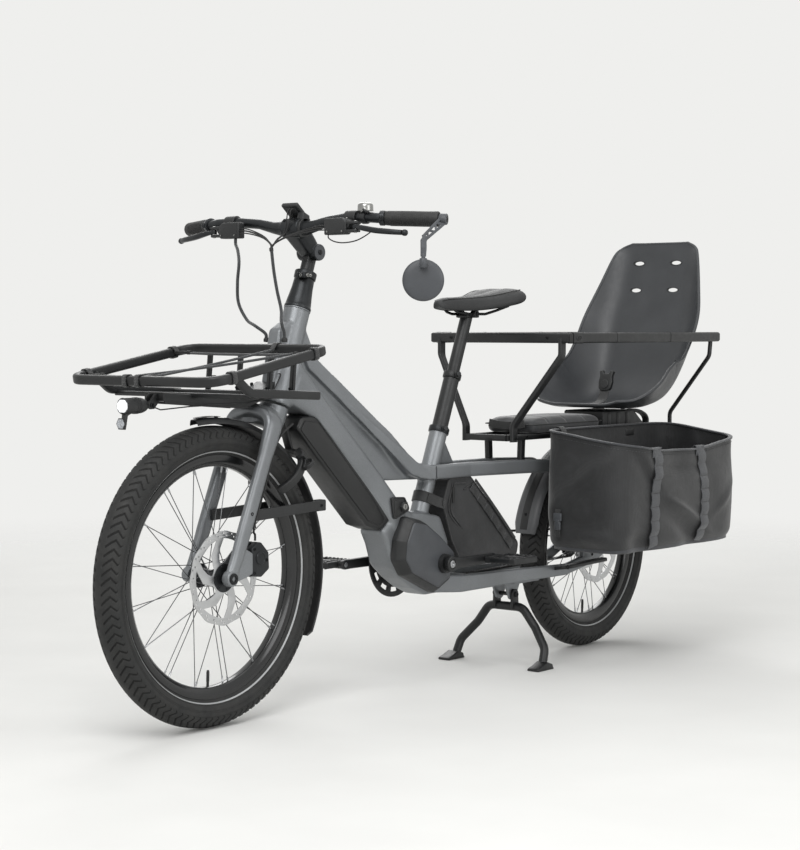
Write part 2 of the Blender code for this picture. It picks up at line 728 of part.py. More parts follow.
def make_cranks():
    end = crank_y + 0.006
    shells = [rod(crank_centre - left * end, crank_centre + left * end, crank_axle_radius, 16)]
    shells.append(sleeve(crank_centre + left * (belt_y - belt_wide / 2.0),
                         crank_centre + left * (belt_y + belt_wide / 2.0), ring_radius, 0.009, 28))
    disc = stay_y + stay_wide / 2.0 + 0.0025
    shells.append(turned([(0.010, belt_y), (0.034, belt_y), (0.034, -disc), (guard_radius, -disc),
                          (guard_radius, -disc - 0.004), (0.030, -disc - 0.004), (0.010, -disc - 0.004)],
                         crank_centre, left, 28))
    for side, forward in ((1, -1), (-1, 1)):
        tip = crank_x + forward * crank_arm
        arm = [(crank_x - forward * 0.017, -0.013), (crank_x - forward * 0.017, 0.013),
               (crank_x + forward * 0.020, 0.015), (tip, 0.011), (tip + forward * 0.012, 0.006),
               (tip + forward * 0.012, -0.006), (tip, -0.011), (crank_x + forward * 0.020, -0.015)]
        arm = [(x, crank_height + z) for x, z in arm]
        shells.append(bevelled(prism(arm, side * crank_y - 0.0065, side * crank_y + 0.0065), 0.002))
        shells.append(rod((tip, side * crank_y, crank_height),
                          (tip, side * (crank_y + 0.070), crank_height), 0.0060, 10))
    piece("cranks", "black_paint", "cranks", shells)
    for name, side, forward in (("pedal_left", 1, -1), ("pedal_right", -1, 1)):
        tip = crank_x + forward * crank_arm
        middle = crank_y + 0.0065 + running_gap + 0.004 + pedal_width / 2.0
        body = bevelled(block((tip, side * middle, crank_height),
                              (pedal_length, pedal_width, pedal_thick)), 0.004)
        collar = rod((tip, side * (middle - pedal_width / 2.0 - 0.004), crank_height),
                     (tip, side * middle, crank_height), 0.0105, 12)
        hole = bore((tip, side * (crank_y - 0.02), crank_height),
                    (tip, side * (crank_y + 0.0715), crank_height), 0.0060)
        windows = [block((tip + reach * pedal_length * 0.27, side * (middle + 0.012), crank_height),
                         (0.024, 0.044, 0.05)) for reach in (1, -1)]
        piece(name, "black_paint", name, [body, collar], [hole] + windows)


def make_frame_bag():
    top = rail_height - rail_tall - gap
    outline = [(seat_x(top) - 0.036, top), (crank_x - 0.155, top), (crank_x - 0.355, middle_z + 0.02575),
               (crank_x - 0.347, middle_z - 0.00625), (crank_x - 0.125, crank_height - 0.021),
               (crank_x - 0.078, crank_height + 0.047),
               (seat_x(seat_foot_z + 0.020) - 0.036, seat_foot_z + 0.020)]
    piece("frame_bag", "bag_canvas", "root", [bevelled(prism(outline, -0.040, 0.040), 0.008)])


# Rear rack with its struts, hoop, handrails and the load on it
def make_rear_rack():
    front, rear = hoop_x + 0.062, handrail_rear_x + 0.020
    section = box_section(rack_tube, rack_tube, 0.003)
    shells = [block(((front + rear) / 2.0, 0.0, rack_height), (front - rear, 0.040, 0.010), 0.002)]
    for side in (1, -1):
        shells.append(swept([(front, side * rack_half, rack_height),
                             (rear, side * rack_half, rack_height)], section))
    for x in (front - 0.008, hoop_x - 0.200, rear_axle_x - 0.090, rear + 0.008):
        shells.append(block((x, 0.0, rack_height), (0.016, 2 * rack_half, 0.014), 0.002))
    low = rail_height + gap
    strut_y = stay_y + stay_wide / 2.0 + gap + 0.0048
    for side in (1, -1):
        strut = [(hoop_x - 0.020, side * 0.052, rack_height), (hoop_x - 0.020, side * 0.052, low)]
        shells.append(swept(strut, box_section(0.014, 0.020, 0.003)))
        strut = [(rear_axle_x - 0.130, side * (rack_half + 0.002), rack_height),
                 (rear_axle_x - 0.040, side * strut_y, rear_axle_z + 0.060),
                 (rear_axle_x, side * strut_y, rear_axle_z)]
        shells.append(swept(strut, round_section(0.0046, 8)))
        eye = stay_y + stay_wide / 2.0 + gap
        shells.append(rod((rear_axle_x, side * eye, rear_axle_z),
                          (rear_axle_x, side * (eye + 0.010), rear_axle_z), 0.013, 12))
    hub_bore = bore(rear_axle - left * 0.2, rear_axle + left * 0.2, axle_radius)
    piece("rear_rack", "black_paint", "root", shells, [hub_bore])


def make_hoop_and_rails():
    section = box_section(handrail_wide, handrail_tall, 0.005)
    end = handrail_y + handrail_wide / 2.0
    leg_low_x = hoop_x + 0.045
    shoulder = handrail_height - 0.052
    shells = [swept([(hoop_x, -end, handrail_height), (hoop_x, end, handrail_height)], section,
                    hint=(1.0, 0.0, 0.0))]
    foot_y = rack_half + rack_tube / 2.0 + gap + 0.0055
    for side in (1, -1):
        leg = rounded_path([(hoop_x, side * 0.188, handrail_height),
                            (hoop_x, side * 0.188, handrail_height - 0.045),
                            (leg_low_x, side * foot_y, rack_height + 0.030),
                            (leg_low_x, side * foot_y, rack_height - 0.010)], 0.020, 2)
        shells.append(swept(leg, box_section(0.011, 0.024, 0.003), hint=(0.0, 1.0, 0.0)))
    piece("rack_hoop", "black_paint", "root", shells)
    for name, side in (("handrail_left", 1), ("handrail_right", -1)):
        start = hoop_x - handrail_wide / 2.0 - gap
        rail = swept([(start, side * handrail_y, handrail_height),
                      (handrail_rear_x, side * handrail_y, handrail_height)], section)
        foot_x = handrail_rear_x + 0.030
        foot = rack_half + rack_tube / 2.0 + gap + 0.006
        prop = rounded_path([(handrail_rear_x + 0.030, side * (handrail_y - 0.002), handrail_height),
                             (handrail_rear_x + 0.034, side * (handrail_y - 0.004), shoulder),
                             (foot_x, side * foot, rack_height + 0.040),
                             (foot_x, side * foot, rack_height - 0.008)], 0.020, 2)
        piece(name, "black_paint", "root", [rail, swept(prop, round_section(0.0058, 8))])


# Soft block with a crowned top and sides drawn in between its corners
def pad_ring(low, high, shrink, pull, share, height):
    half_x, half_y = (high[0] - low[0]) / 2.0, (high[1] - low[1]) / 2.0
    ring = []
    for index in range(20):
        turn = math.tau * (index + 0.5) / 20
        x = (half_x - shrink) * math.copysign(abs(math.cos(turn)) ** 0.28, math.cos(turn))
        y = (half_y - shrink) * math.copysign(abs(math.sin(turn)) ** 0.28, math.sin(turn))
        in_x = math.copysign(pull * (1.0 - (y / half_y) ** 2), x)
        in_y = math.copysign(pull * (1.0 - (x / half_x) ** 2), y)
        ring.append(((low[0] + high[0]) / 2.0 + (x - in_x) * share,
                     (low[1] + high[1]) / 2.0 + (y - in_y) * share,
                     height))
    return ring


def pad(low, high, crown, draw, corner):
    tall = high[2] - low[2]
    shell = bmesh.new()
    rings = [add_ring(shell, pad_ring(low, high, corner * 0.5, 0.0, 1.0, low[2])),
             add_ring(shell, pad_ring(low, high, 0.0, draw, 1.0, low[2] + tall * 0.3)),
             add_ring(shell, pad_ring(low, high, corner * 0.2, draw, 1.0, low[2] + tall * 0.75))]
    for share in (0.93, 0.62, 0.30):
        height = high[2] - crown * share ** 2
        rings.append(add_ring(shell, pad_ring(low, high, corner, draw, share, height)))
    for first, second in zip(rings, rings[1:]):
        join_rings(shell, first, second)
    shell.faces.new(rings[0])
    top = shell.verts.new(((low[0] + high[0]) / 2.0, (low[1] + high[1]) / 2.0, high[2]))
    for index, point in enumerate(rings[-1]):
        shell.faces.new((top, point, rings[-1][(index + 1) % len(rings[-1])]))
    return finish(shell)


def make_cushion():
    low = rack_height + rack_tube / 2.0 + gap
    rear = cushion_front_x - cushion_length
    shell = pad((rear, -cushion_half, low), (cushion_front_x, cushion_half, low + cushion_thick),
                0.010, 0.004, 0.010)
    piece("rear_cushion", "pad_foam", "root", [shell])


# Child seat: a trough with wings
def seat_across(half, wing):
    floor = half * 0.62
    return [(-half, wing), (-half * 0.97, wing * 0.55), (-half * 0.84, wing * 0.16), (-floor, 0.0),
            (-floor * 0.5, 0.0), (0.0, 0.0), (floor * 0.5, 0.0), (floor, 0.0), (half * 0.84, wing * 0.16),
            (half * 0.97, wing * 0.55), (half, wing)]


def make_child_seat():
    stations = [Vector((x, 0.0, z)) for x, z, half, wing in seat_stations]
    shell = bmesh.new()
    faces = []
    for layer in (0.0, child_seat_wall):
        rows = []
        for index, (x, z, half, wing) in enumerate(seat_stations):
            before = stations[max(index - 1, 0)]
            after = stations[min(index + 1, len(stations) - 1)]
            along = (after - before).normalized()
            inward = left.cross(along)
            row = []
            across = seat_across(half, wing)
            for column, (y, rise) in enumerate(across):
                here = Vector((x, y, z)) + inward * rise
                y_before, rise_before = across[max(column - 1, 0)]
                y_after, rise_after = across[min(column + 1, len(across) - 1)]
                slope = (left * (y_after - y_before) + inward * (rise_after - rise_before)).normalized()
                normal = along.cross(slope)
                row.append(shell.verts.new(here + normal * layer))
            rows.append(row)
        faces.append(rows)
    outer, inner = faces
    lengths, columns = len(outer), len(outer[0])
    for rows in faces:
        for i in range(lengths - 1):
            for j in range(columns - 1):
                shell.faces.new((rows[i][j], rows[i][j + 1], rows[i + 1][j + 1], rows[i + 1][j]))
    rim = [(i, 0) for i in range(lengths)] + [(lengths - 1, j) for j in range(1, columns)]
    rim += [(i, columns - 1) for i in range(lengths - 2, -1, -1)] + [(0, j) for j in range(columns - 2, 0,
                                                                                           -1)]
    for index, (i, j) in enumerate(rim):
        k, m = rim[(index + 1) % len(rim)]
        shell.faces.new((outer[i][j], outer[k][m], inner[k][m], inner[i][j]))
    finish(shell)
    slots = []
    lower_slot = seat_stations[8]
    for height in (lower_slot[1], lower_slot[1] + 0.076):
        for side in (1, -1):
            x = lower_slot[0] - (height - lower_slot[1]) * 0.23
            slots.append(prism([(side * 0.060 + 0.016, height - 0.002),
                                (side * 0.060 + 0.010, height + 0.005),
                                (side * 0.060 - 0.010, height + 0.005), (side * 0.060 - 0.016,
                                                                         height - 0.002),
                                (side * 0.060 - 0.010, height - 0.006), (side * 0.060 + 0.010,
                                                                         height - 0.006)],
                               x - 0.05, x + 0.05, "YZ"))
    piece("child_seat", "shell_plastic", "root", [shell], slots)


def make_child_seat_base():
    low = rack_height + rack_tube / 2.0 + gap
    front = cushion_front_x - 0.345
    column = [(front - 0.005, low), (front, rack_height + 0.056), (front - 0.135, rack_height + 0.056),
              (front - 0.225, rack_height + 0.070), (front - 0.247, rack_height + 0.064), (front - 0.215,
                                                                                           low)]
    column = bevelled(prism(column, -0.066, 0.066), 0.006)
    piece("child_seat_base", "black_plastic", "root", [column], [seat_underside()])


# Space under the seat shell, so that the base ends a hair below it
def seat_underside():
    points = [(x, z) for x, z, half, wing in seat_stations[:7]]
    shifted = []
    for index, (x, z) in enumerate(points):
        before = points[max(index - 1, 0)]
        after = points[min(index + 1, len(points) - 1)]
        along = Vector((after[0] - before[0], 0.0, after[1] - before[1])).normalized()
        inward = left.cross(along)
        below = child_seat_wall + 2 * gap
        shifted.append((x - inward.x * below, z - inward.z * below))
    top = rack_height + 0.330
    return prism(shifted + [(points[2][0], top), (points[0][0] + 0.050, top)], -0.15, 0.15)


# Soft open-top bag: rings of points from the floor up to the rim, then down inside
def bag_ring(height, grow, inset, rim):
    centre_x = pannier_front_x - pannier_length / 2.0
    centre_y = pannier_inner_y + pannier_width / 2.0
    half_x = pannier_length / 2.0 + grow - inset
    half_y = pannier_width / 2.0 - inset
    ring = []
    for index in range(32):
        turn = math.tau * (index + 0.5) / 32
        across = math.copysign(abs(math.cos(turn)) ** 0.35, math.cos(turn))
        deep = math.copysign(abs(math.sin(turn)) ** 0.35, math.sin(turn))
        y = centre_y + half_y * deep + (grow * (1.0 - across ** 2) if deep > 0.0 else 0.0)
        lift = rim * (-0.024 * (1.0 - across ** 2) if deep > 0.0 else 0.026)
        ring.append((centre_x + half_x * across, y, height + lift))
    return ring


def make_pannier():
    low, top = pannier_low_z, pannier_top_z
    levels = ((low, -0.016, 0.010, 0.0), (low + 0.012, -0.004, 0.0, 0.0), (low + 0.110, 0.010, 0.0, 0.0),
              (low + 0.200, 0.008, 0.0, 0.3), (top, 0.0, 0.0, 1.0))
    shell = bmesh.new()
    rings = [add_ring(shell, bag_ring(*level)) for level in levels]
    for height, grow, inset, rim in reversed(levels[1:]):
        height = max(height, low + pannier_wall)
        rings.append(add_ring(shell, bag_ring(height, grow, inset + pannier_wall, rim)))
    for first, second in zip(rings, rings[1:]):
        join_rings(shell, first, second)
    shell.faces.new(rings[0])
    shell.faces.new(rings[-1])
    hooks = []
    reach = rack_half + rack_tube / 2.0 + gap
    for x in (pannier_front_x - 0.130, pannier_front_x - pannier_length + 0.150):
        hooks.append(block((x, (reach + pannier_inner_y + 0.002) / 2.0, pannier_top_z + 0.006),
                           (0.040, pannier_inner_y + 0.002 - reach, 0.020), 0.002))
    piece("pannier", "bag_canvas", "root", [finish(shell)] + hooks)


def make_mudguards():
    front = arch(front_axle, front_mudguard_radius + mudguard_thickness, front_mudguard_width, 82.0, 208.5,
                 18,
                 (0.40, 0.80, 0.90))
    shells = [front]
    for side in (1, -1):
        leg = fork_leg_y - fork_leg_wide / 2.0 - gap
        bar = [(fork_leg_x(0.445), side * (leg - 0.0035), 0.441),
               (front_mudguard_radius * -0.870, side * (leg - 0.0035), 0.449)]
        shells.append(swept(bar, box_section(0.007, 0.024, 0.0015)))
        shells.append(block((front_mudguard_radius * -0.905, side * (leg - 0.011), 0.449),
                            (0.036, 0.022, 0.026)))
    piece("front_mudguard", "black_plastic", "steering", shells)
    rear = arch(rear_axle, rear_mudguard_radius + mudguard_thickness, rear_mudguard_width, 10.0, 150.0, 18,
                (0.9, 1.0, 0.85))
    tab_low = rear_axle_z + rear_mudguard_radius
    tab_high = rack_height - 0.005 - gap
    tab = block((rear_axle_x, 0.0, (tab_low + tab_high) / 2.0), (0.030, 0.024, tab_high - tab_low))
    piece("rear_mudguard", "black_plastic", "root", [rear, tab])


# Fork: everything inside this drum is kept free for the tyre and its mudguard
def fork_arch():
    radius = bore_radius(front_mudguard_radius + mudguard_thickness, 30)
    return rod(front_axle - left * 0.0425, front_axle + left * 0.0425, radius, 30)


def fork_leg_x(height):
    top = head_x(0.620) + 0.0530
    foot = -0.0190
    knee_z = front_axle_z + 0.0375
    return foot + (height - knee_z) / (0.620 - knee_z) * (top - foot)


def head_local(forward, up):
    ahead = Vector((math.sin(head_angle), 0.0, math.cos(head_angle)))
    return head_point(head_low_z) + ahead * forward + head_up * up


def make_fork():
    ahead = head_local(1.0, 0.0) - head_local(0.0, 0.0)
    outline = [(-0.034, -0.007), (0.012, -0.008), (0.031, -0.0156), (0.068, -0.030), (0.080, -0.052),
               (0.040, -0.064), (-0.034, -0.0360)]
    outline = [(point.x, point.z) for point in (head_local(*pair) for pair in outline)]
    middle = bevelled(prism(outline, -0.034, 0.034), 0.006)
    race = rod(head_local(0.0, -0.030), head_local(0.0, -gap), 0.0330, 20)
    steerer = rod(head_local(0.0, -0.020), head_point(head_high_z - 0.016), steerer_radius, 12)
    knee_z = front_axle_z + 0.0375
    half = [(-0.003, fork_leg_y, front_axle_z), (fork_leg_x(knee_z), fork_leg_y, knee_z),
            (fork_leg_x(0.570), fork_leg_y, 0.570), (fork_leg_x(0.655), fork_leg_y + 0.001, 0.655),
            (head_local(0.060, -0.036).x, 0.0, head_local(0.060, -0.036).z)]
    path = [Vector(point) for point in half] + [mirrored(point, -1) for point in reversed(half[:-1])]
    path = rounded_path(path, 0.045, 3)
    sizes = [1.0 + 0.42 * min(max((point.z - 0.575) / 0.070, 0.0), 1.0) for point in path]
    sizes[0] = sizes[-1] = 0.85
    legs = swept(path, box_section(fork_leg_deep, fork_leg_wide, 0.006), hint=ahead, sizes=sizes)
    shells = [legs, middle, race, steerer]
    for side in (1, -1):
        low, high = fork_leg_y - fork_leg_wide / 2.0, fork_leg_y + fork_leg_wide / 2.0
        shells.append(rod(mirrored((0.0, low, front_axle_z), side),
                          mirrored((0.0, high, front_axle_z), side),
                          0.0165, 16))
    tip = fork_leg_y + fork_leg_wide / 2.0 + 0.003
    shells.append(rod(front_axle - left * tip, front_axle + left * tip, axle_radius, 12))
    low = fork_leg_y - fork_leg_wide / 2.0 + 0.0005
    boss = prism([(-0.020, 0.306), (-0.050, 0.312), (-caliper_reach + gap, 0.318),
                  (-caliper_reach + gap, 0.366),
                  (-0.040, 0.372)], low, low + 0.014)
    shells.append(boss)
    piece("fork", "grey_paint", "steering", shells, [fork_arch()])


def make_caliper(name, body, axle, outline, low, high):
    outline = [(axle.x + x, axle.z + z) for x, z in outline]
    shell = bevelled(prism(outline, low, high), 0.003)
    slot_low, slot_high = rotor_y - 0.0028, rotor_y + 0.0028
    slot = rod((axle.x, slot_low, axle.z), (axle.x, slot_high, axle.z), rotor_radius + 0.003, 36)
    piece(name, "black_paint", body, [shell], [slot])


def make_calipers():
    make_caliper("front_caliper", "steering", front_axle,
                 [(-caliper_reach, -0.002), (-caliper_reach, 0.058), (-0.086, 0.072), (-0.098, 0.070),
                  (-0.122, 0.046), (-0.124, 0.010), (-0.098, -0.006)],
                 fork_leg_y - 0.0300, fork_leg_y + 0.0020)
    make_caliper("rear_caliper", "root", rear_axle,
                 [(0.062, -0.006), (0.062, 0.036), (0.084, 0.044), (0.118, 0.030), (0.124, -0.004)],
                 stay_y - 0.038, stay_y - stay_wide / 2.0 - gap)


# Frame lock round the front tyre
def lock_frame():
    out = around((0.0, 0.0, 0.0), 1.0, lock_turn)
    return front_axle + out * lock_reach, out, out.cross(left).normalized()


def lock_point(turn, radius, lift=0.0):
    centre, out, along = lock_frame()
    turn = math.radians(turn)
    return centre + (out * math.cos(turn) + left * math.sin(turn)) * radius + along * lift


def make_ring_lock():
    centre, out, along = lock_frame()
    path = [lock_point(-142.0 + 284.0 * step / 20, lock_radius) for step in range(21)]
    ring = swept(path, box_section(0.020, 0.0135, 0.003), hint=along)
    box = swept([lock_point(28.0, lock_radius + 0.004), lock_point(40.0, lock_radius + 0.004),
                 lock_point(52.0, lock_radius + 0.004)], box_section(0.034, 0.020, 0.004), hint=along)
    corners = (head_local(-0.034 - gap, -0.010), head_local(-0.034 - gap, -0.030),
               lock_point(0.0, lock_radius, -0.008), lock_point(0.0, lock_radius, 0.006))
    tie = prism([(corner.x, corner.z) for corner in corners], -0.010, 0.010)
    piece("ring_lock", "black_plastic", "steering", [ring, box, tie])
    start = lock_radius + 0.0135 / 2.0 + 0.0075
    loop = [lock_point(turn, start + rise) for turn, rise in
            ((58.0, -0.003), (60.0, 0.012), (68.0, 0.013), (74.0, -0.003))]
    base = swept([lock_point(56.0, start - 0.0035), lock_point(65.0, start - 0.0035),
                  lock_point(76.0, start - 0.0035)], box_section(0.012, 0.006, 0.001), hint=along)
    piece("lock_lever", "black_plastic", "lock_lever", [base, swept(loop, box_section(0.010, 0.004, 0.001),
                                                                    hint=along)])


# Front rack, its cords, the headlight and the reflector
def loop_z(x):
    return loop_front_z + (loop_front_x - x) * (loop_rear_z - loop_front_z) / (loop_front_x - loop_rear_x)


# The loop is a little narrower at its rear
def loop_inside(x):
    taper = (loop_front_x - x) / (loop_front_x - loop_rear_x)
    return loop_half - loop_taper * taper - loop_wide / 2.0


def make_front_rack():
    tilt = Vector((loop_rear_z - loop_front_z, 0.0, loop_front_x - loop_rear_x)).normalized()
    corners = [(loop_front_x, loop_half, loop_front_z), (loop_front_x, -loop_half, loop_front_z),
               (loop_rear_x, loop_taper - loop_half, loop_rear_z), (loop_rear_x, loop_half - loop_taper,
                                                                    loop_rear_z)]
    loop = swept(rounded_path(corners, 0.045, 3, closed=True), box_section(loop_tall, loop_wide, 0.005),
                 hint=tilt, closed=True)
    shells = [loop]
    deck_front, deck_rear = loop_front_z - 0.030, loop_front_z - 0.052
    plate = prism([(loop_front_x - 0.040, deck_front + 0.006), (loop_front_x - 0.040, deck_front - 0.012),
                   (loop_rear_x + 0.055, deck_rear - 0.010), (nose_x(0.700) + gap, 0.700),
                   (nose_x(0.728) + gap, 0.728), (loop_rear_x + 0.060, deck_rear + 0.008)], -0.028, 0.028)
    shells.append(plate)
    side_y = loop_half - 0.008
    for side in (1, -1):
        arm = rounded_path([(loop_front_x - 0.062, side * side_y, loop_z(loop_front_x - 0.062)),
                            (loop_front_x - 0.110, side * side_y, deck_front + 0.006),
                            (loop_rear_x + 0.034, side * side_y, deck_front - 0.004)], 0.030, 2)
        shells.append(swept(arm, box_section(0.014, 0.018, 0.003)))
    for x in (loop_front_x - 0.130, loop_rear_x + 0.050):
        shells.append(block((x, 0.0, deck_front - 0.002), (0.016, 2 * side_y, 0.010), 0.002))
    cross_x = loop_rear_x + 0.010
    shells.append(block((cross_x, 0.0, deck_front - 0.003), (0.014, 0.300, 0.010), 0.002))
    shells.append(block(((cross_x + loop_rear_x + 0.050) / 2.0, 0.110, deck_front - 0.003),
                        (0.050, 0.016, 0.010)))
    shells.append(block(((cross_x + loop_rear_x + 0.050) / 2.0, -0.110, deck_front - 0.003),
                        (0.050, 0.016, 0.010)))
    for y in (-0.140, -0.047, 0.043, 0.110):
        post = [(loop_rear_x, y, loop_rear_z), (cross_x, y, deck_front - 0.003)]
        shells.append(swept(post, box_section(0.0135, 0.006, 0.001)))
    ear_x, ear_z = loop_front_x - 0.024, loop_front_z - 0.050
    for side in (1, -1):
        shells.append(prism([(ear_x - 0.030, deck_front - 0.004), (ear_x - 0.006, ear_z - 0.008),
                             (ear_x + 0.008, ear_z - 0.008), (ear_x + 0.008, ear_z + 0.008),
                             (ear_x - 0.010, deck_front + 0.004)], side * 0.0086 - 0.002, side * 0.0086 + 0.002))
    shells.append(rod((ear_x, -0.0116, ear_z), (ear_x, 0.0116, ear_z), 0.0026, 10))
    piece("front_rack", "black_paint", "root", shells)
    lamp_x = ear_x + 0.010
    body = turned([(0.0, 0.0), (0.0120, 0.0), (0.0165, 0.012), (0.0165, 0.062), (0.0, 0.062)],
                  (lamp_x, 0.0, ear_z), (1.0, 0.0, 0.0), 16)
    tail = block((ear_x + 0.004, 0.0, ear_z), (0.020, 0.012, 0.014), 0.002)
    strip = prism([(lamp_x + 0.030, ear_z - 0.010), (lamp_x + 0.058, ear_z - 0.010),
                   (lamp_x + 0.062, ear_z - 0.048), (lamp_x + 0.058, ear_z - 0.048),
                   (lamp_x + 0.052, ear_z - 0.020)], -0.006, 0.006)
    piece("headlight", "black_plastic", "headlight", [body, tail, strip],
          [bore((ear_x, -0.02, ear_z), (ear_x, 0.02, ear_z), 0.0026)])
    face = lamp_x + 0.062 + gap
    lens = turned([(0.0, 0.0), (0.0155, 0.0), (0.0145, 0.005), (0.0, 0.006)], (face, 0.0, ear_z),
                  (1.0, 0.0, 0.0), 16)
    piece("headlight_lens", "lens", "headlight", [lens])
    reflector = turned([(0.0, 0.0), (0.0130, 0.0), (0.0130, 0.007), (0.0, 0.008)],
                       (face, 0.0, ear_z - 0.036), (1.0, 0.0, 0.0), 12)
    piece("front_reflector", "lens", "headlight", [reflector])
    lead = rounded_path([(ear_x - 0.001, 0.0155, ear_z - 0.004), (ear_x - 0.020, 0.0155, ear_z - 0.010),
                         (loop_front_x - 0.110, 0.0315, deck_front - 0.025),
                         (loop_rear_x + 0.060, 0.0315, deck_rear - 0.0010),
                         (loop_rear_x - 0.008, 0.0315, deck_rear + 0.0080),
                         (nose_x(0.745) - 0.012, 0.030, 0.745), (nose_x(0.745) - 0.012, 0.017 + gap, 0.745)],
                        0.008, 2)
    piece("light_lead", "soft_rubber", "root", [swept(lead, round_section(0.0014, 6))])


def make_rack_cords():
    radius = 0.0030
    rear_x, front_x = loop_rear_x + 0.050, loop_front_x - 0.049
    shells = []
    for x in (rear_x, front_x):
        edge = loop_inside(x) - gap - 0.002
        start, end = Vector((x, -edge, loop_z(x))), Vector((x, edge, loop_z(x)))
        shells.append(rod(start, end, radius, 8))
        for tip, other in ((start, end), (end, start)):
            tip, other = Vector(tip), Vector(other)
            inward = (other - tip).normalized()
            shells.append(swept([tip - inward * 0.002, tip + inward * 0.036],
                                box_section(0.013, 0.0065, 0.002),
                                hint=(0.0, 0.0, 1.0)))
    front = Vector((loop_front_x - loop_wide / 2.0 - 0.004, -0.020, loop_front_z + 0.002))
    back = Vector((loop_rear_x + loop_wide / 2.0 + 0.002, 0.060, loop_rear_z - 0.001))
    shells.append(rod(front, back, radius, 8))
    shells.append(swept([front, front + (back - front).normalized() * 0.036],
                        box_section(0.020, 0.009, 0.002)))
    back = Vector((rear_x, 0.150, loop_z(rear_x)))
    front = Vector((front_x, -0.060, loop_z(front_x)))
    shells.append(rod(front, back, radius, 8))
    piece("rack_cords", "soft_rubber", "root", shells)


def make_seat():
    lower_foot = seat_foot_z + 0.050
    length = (lower_post_top_z - lower_foot) / math.sin(seat_angle)
    hole = bore_radius(upper_post_radius, 16)
    tube = turned([(hole, 0.0), (lower_post_radius, 0.0), (lower_post_radius, length - 0.016),
                   (lower_post_radius + 0.0026, length - 0.014), (lower_post_radius + 0.0026,
                                                                  length), (hole, length)],
                  seat_point(lower_foot), seat_up, 16)
    piece("seatpost_lower", "black_paint", "seatpost_lower", [tube])
    foot = lower_foot + 0.110
    upper = rod(seat_point(foot), seat_point(upper_post_top_z), upper_post_radius, 16)
    clamp_z = saddle_top_z - 0.0600
    head = block((seat_x(clamp_z), 0.0, clamp_z - 0.006), (0.052, 0.034, 0.014), 0.003)
    piece("seatpost_upper", "black_paint", "seatpost_upper", [upper, head])
    base = clamp_z + 0.001 + gap
    tip_x = seat_x(clamp_z) + 0.126
    stations = ((0.000, 0.012, -0.034, 0.010), (0.020, 0.021, -0.026, 0.026), (0.090, 0.030, -0.022, 0.044),
                (0.150, 0.052, -0.018, 0.048), (0.200, 0.078, -0.010, 0.044), (0.245, 0.090, -0.001, 0.046),
                (0.268, 0.080, 0.000, 0.038), (0.278, 0.056, -0.004, 0.020))
    shell = bmesh.new()
    rings = []
    stretch, widen = saddle_length / 0.278, saddle_width / 0.180
    for along, half, crown, deep in stations:
        half *= widen
        x = tip_x - along * stretch
        top = saddle_top_z + crown
        low = max(top - deep, base)
        across = ((0.0, -0.0018), (0.16, 0.0), (0.62, -0.003), (0.90, -0.011), (1.0, -0.020), (0.94, -0.030))
        ring = [(x, half * share, max(top + drop * deep / 0.040, low + 0.001)) for share, drop in across]
        ring += [(x, half * 0.86, low), (x, 0.0, low)]
        ring += [(x, -y, z) for _, y, z in reversed(ring[1:-1])]
        rings.append(add_ring(shell, ring))
    for first, second in zip(rings, rings[1:]):
        join_rings(shell, first, second)
    shell.faces.new(rings[0])
    shell.faces.new(rings[-1])
    piece("saddle", "pad_foam", "seatpost_upper", [finish(shell)])


# Stem, handlebar and everything on it
stem_pivot = head_point(stem_pivot_z)
bar_centre = stem_pivot + Vector((bar_reach, 0.0, bar_rise))
grip_start = bar_centre + Vector((0.0065, bar_half_width - grip_length, 0.0143))
grip_end = bar_centre + Vector((-0.0475, bar_half_width, 0.0100))


def bar_line(side):
    points = [(0.0, 0.036, 0.0), (0.001, 0.060, 0.003), (0.004, 0.100, 0.012), (0.0100, 0.160, 0.0172),
              (0.0100, 0.222, 0.0165)]
    line = [bar_centre + mirrored(point, side) for point in points]
    start = Vector((grip_start.x, grip_start.y * side, grip_start.z))
    end = Vector((grip_end.x, grip_end.y * side, grip_end.z))
    return line + [start, end]


def make_bar():
    line = list(reversed(bar_line(-1))) + bar_line(1)
    thick = bar_clamp_radius / bar_radius
    sizes = [1.0] * 5 + [1.06, thick, thick, 1.06] + [1.0] * 5
    tube = swept(line, round_section(bar_radius, 12), hint=(0.0, 0.0, 1.0), sizes=sizes)
    piece("handlebar", "black_paint", "stem_head", [tube])
    for name, side in (("grip_left", 1), ("grip_right", -1)):
        start, end = bar_line(side)[-2:]
        along = (end - start).normalized()
        piece(name, "soft_rubber", "stem_head",
              [sleeve(start + along * 0.004, end - along * gap, grip_radius, bar_radius, 14)])


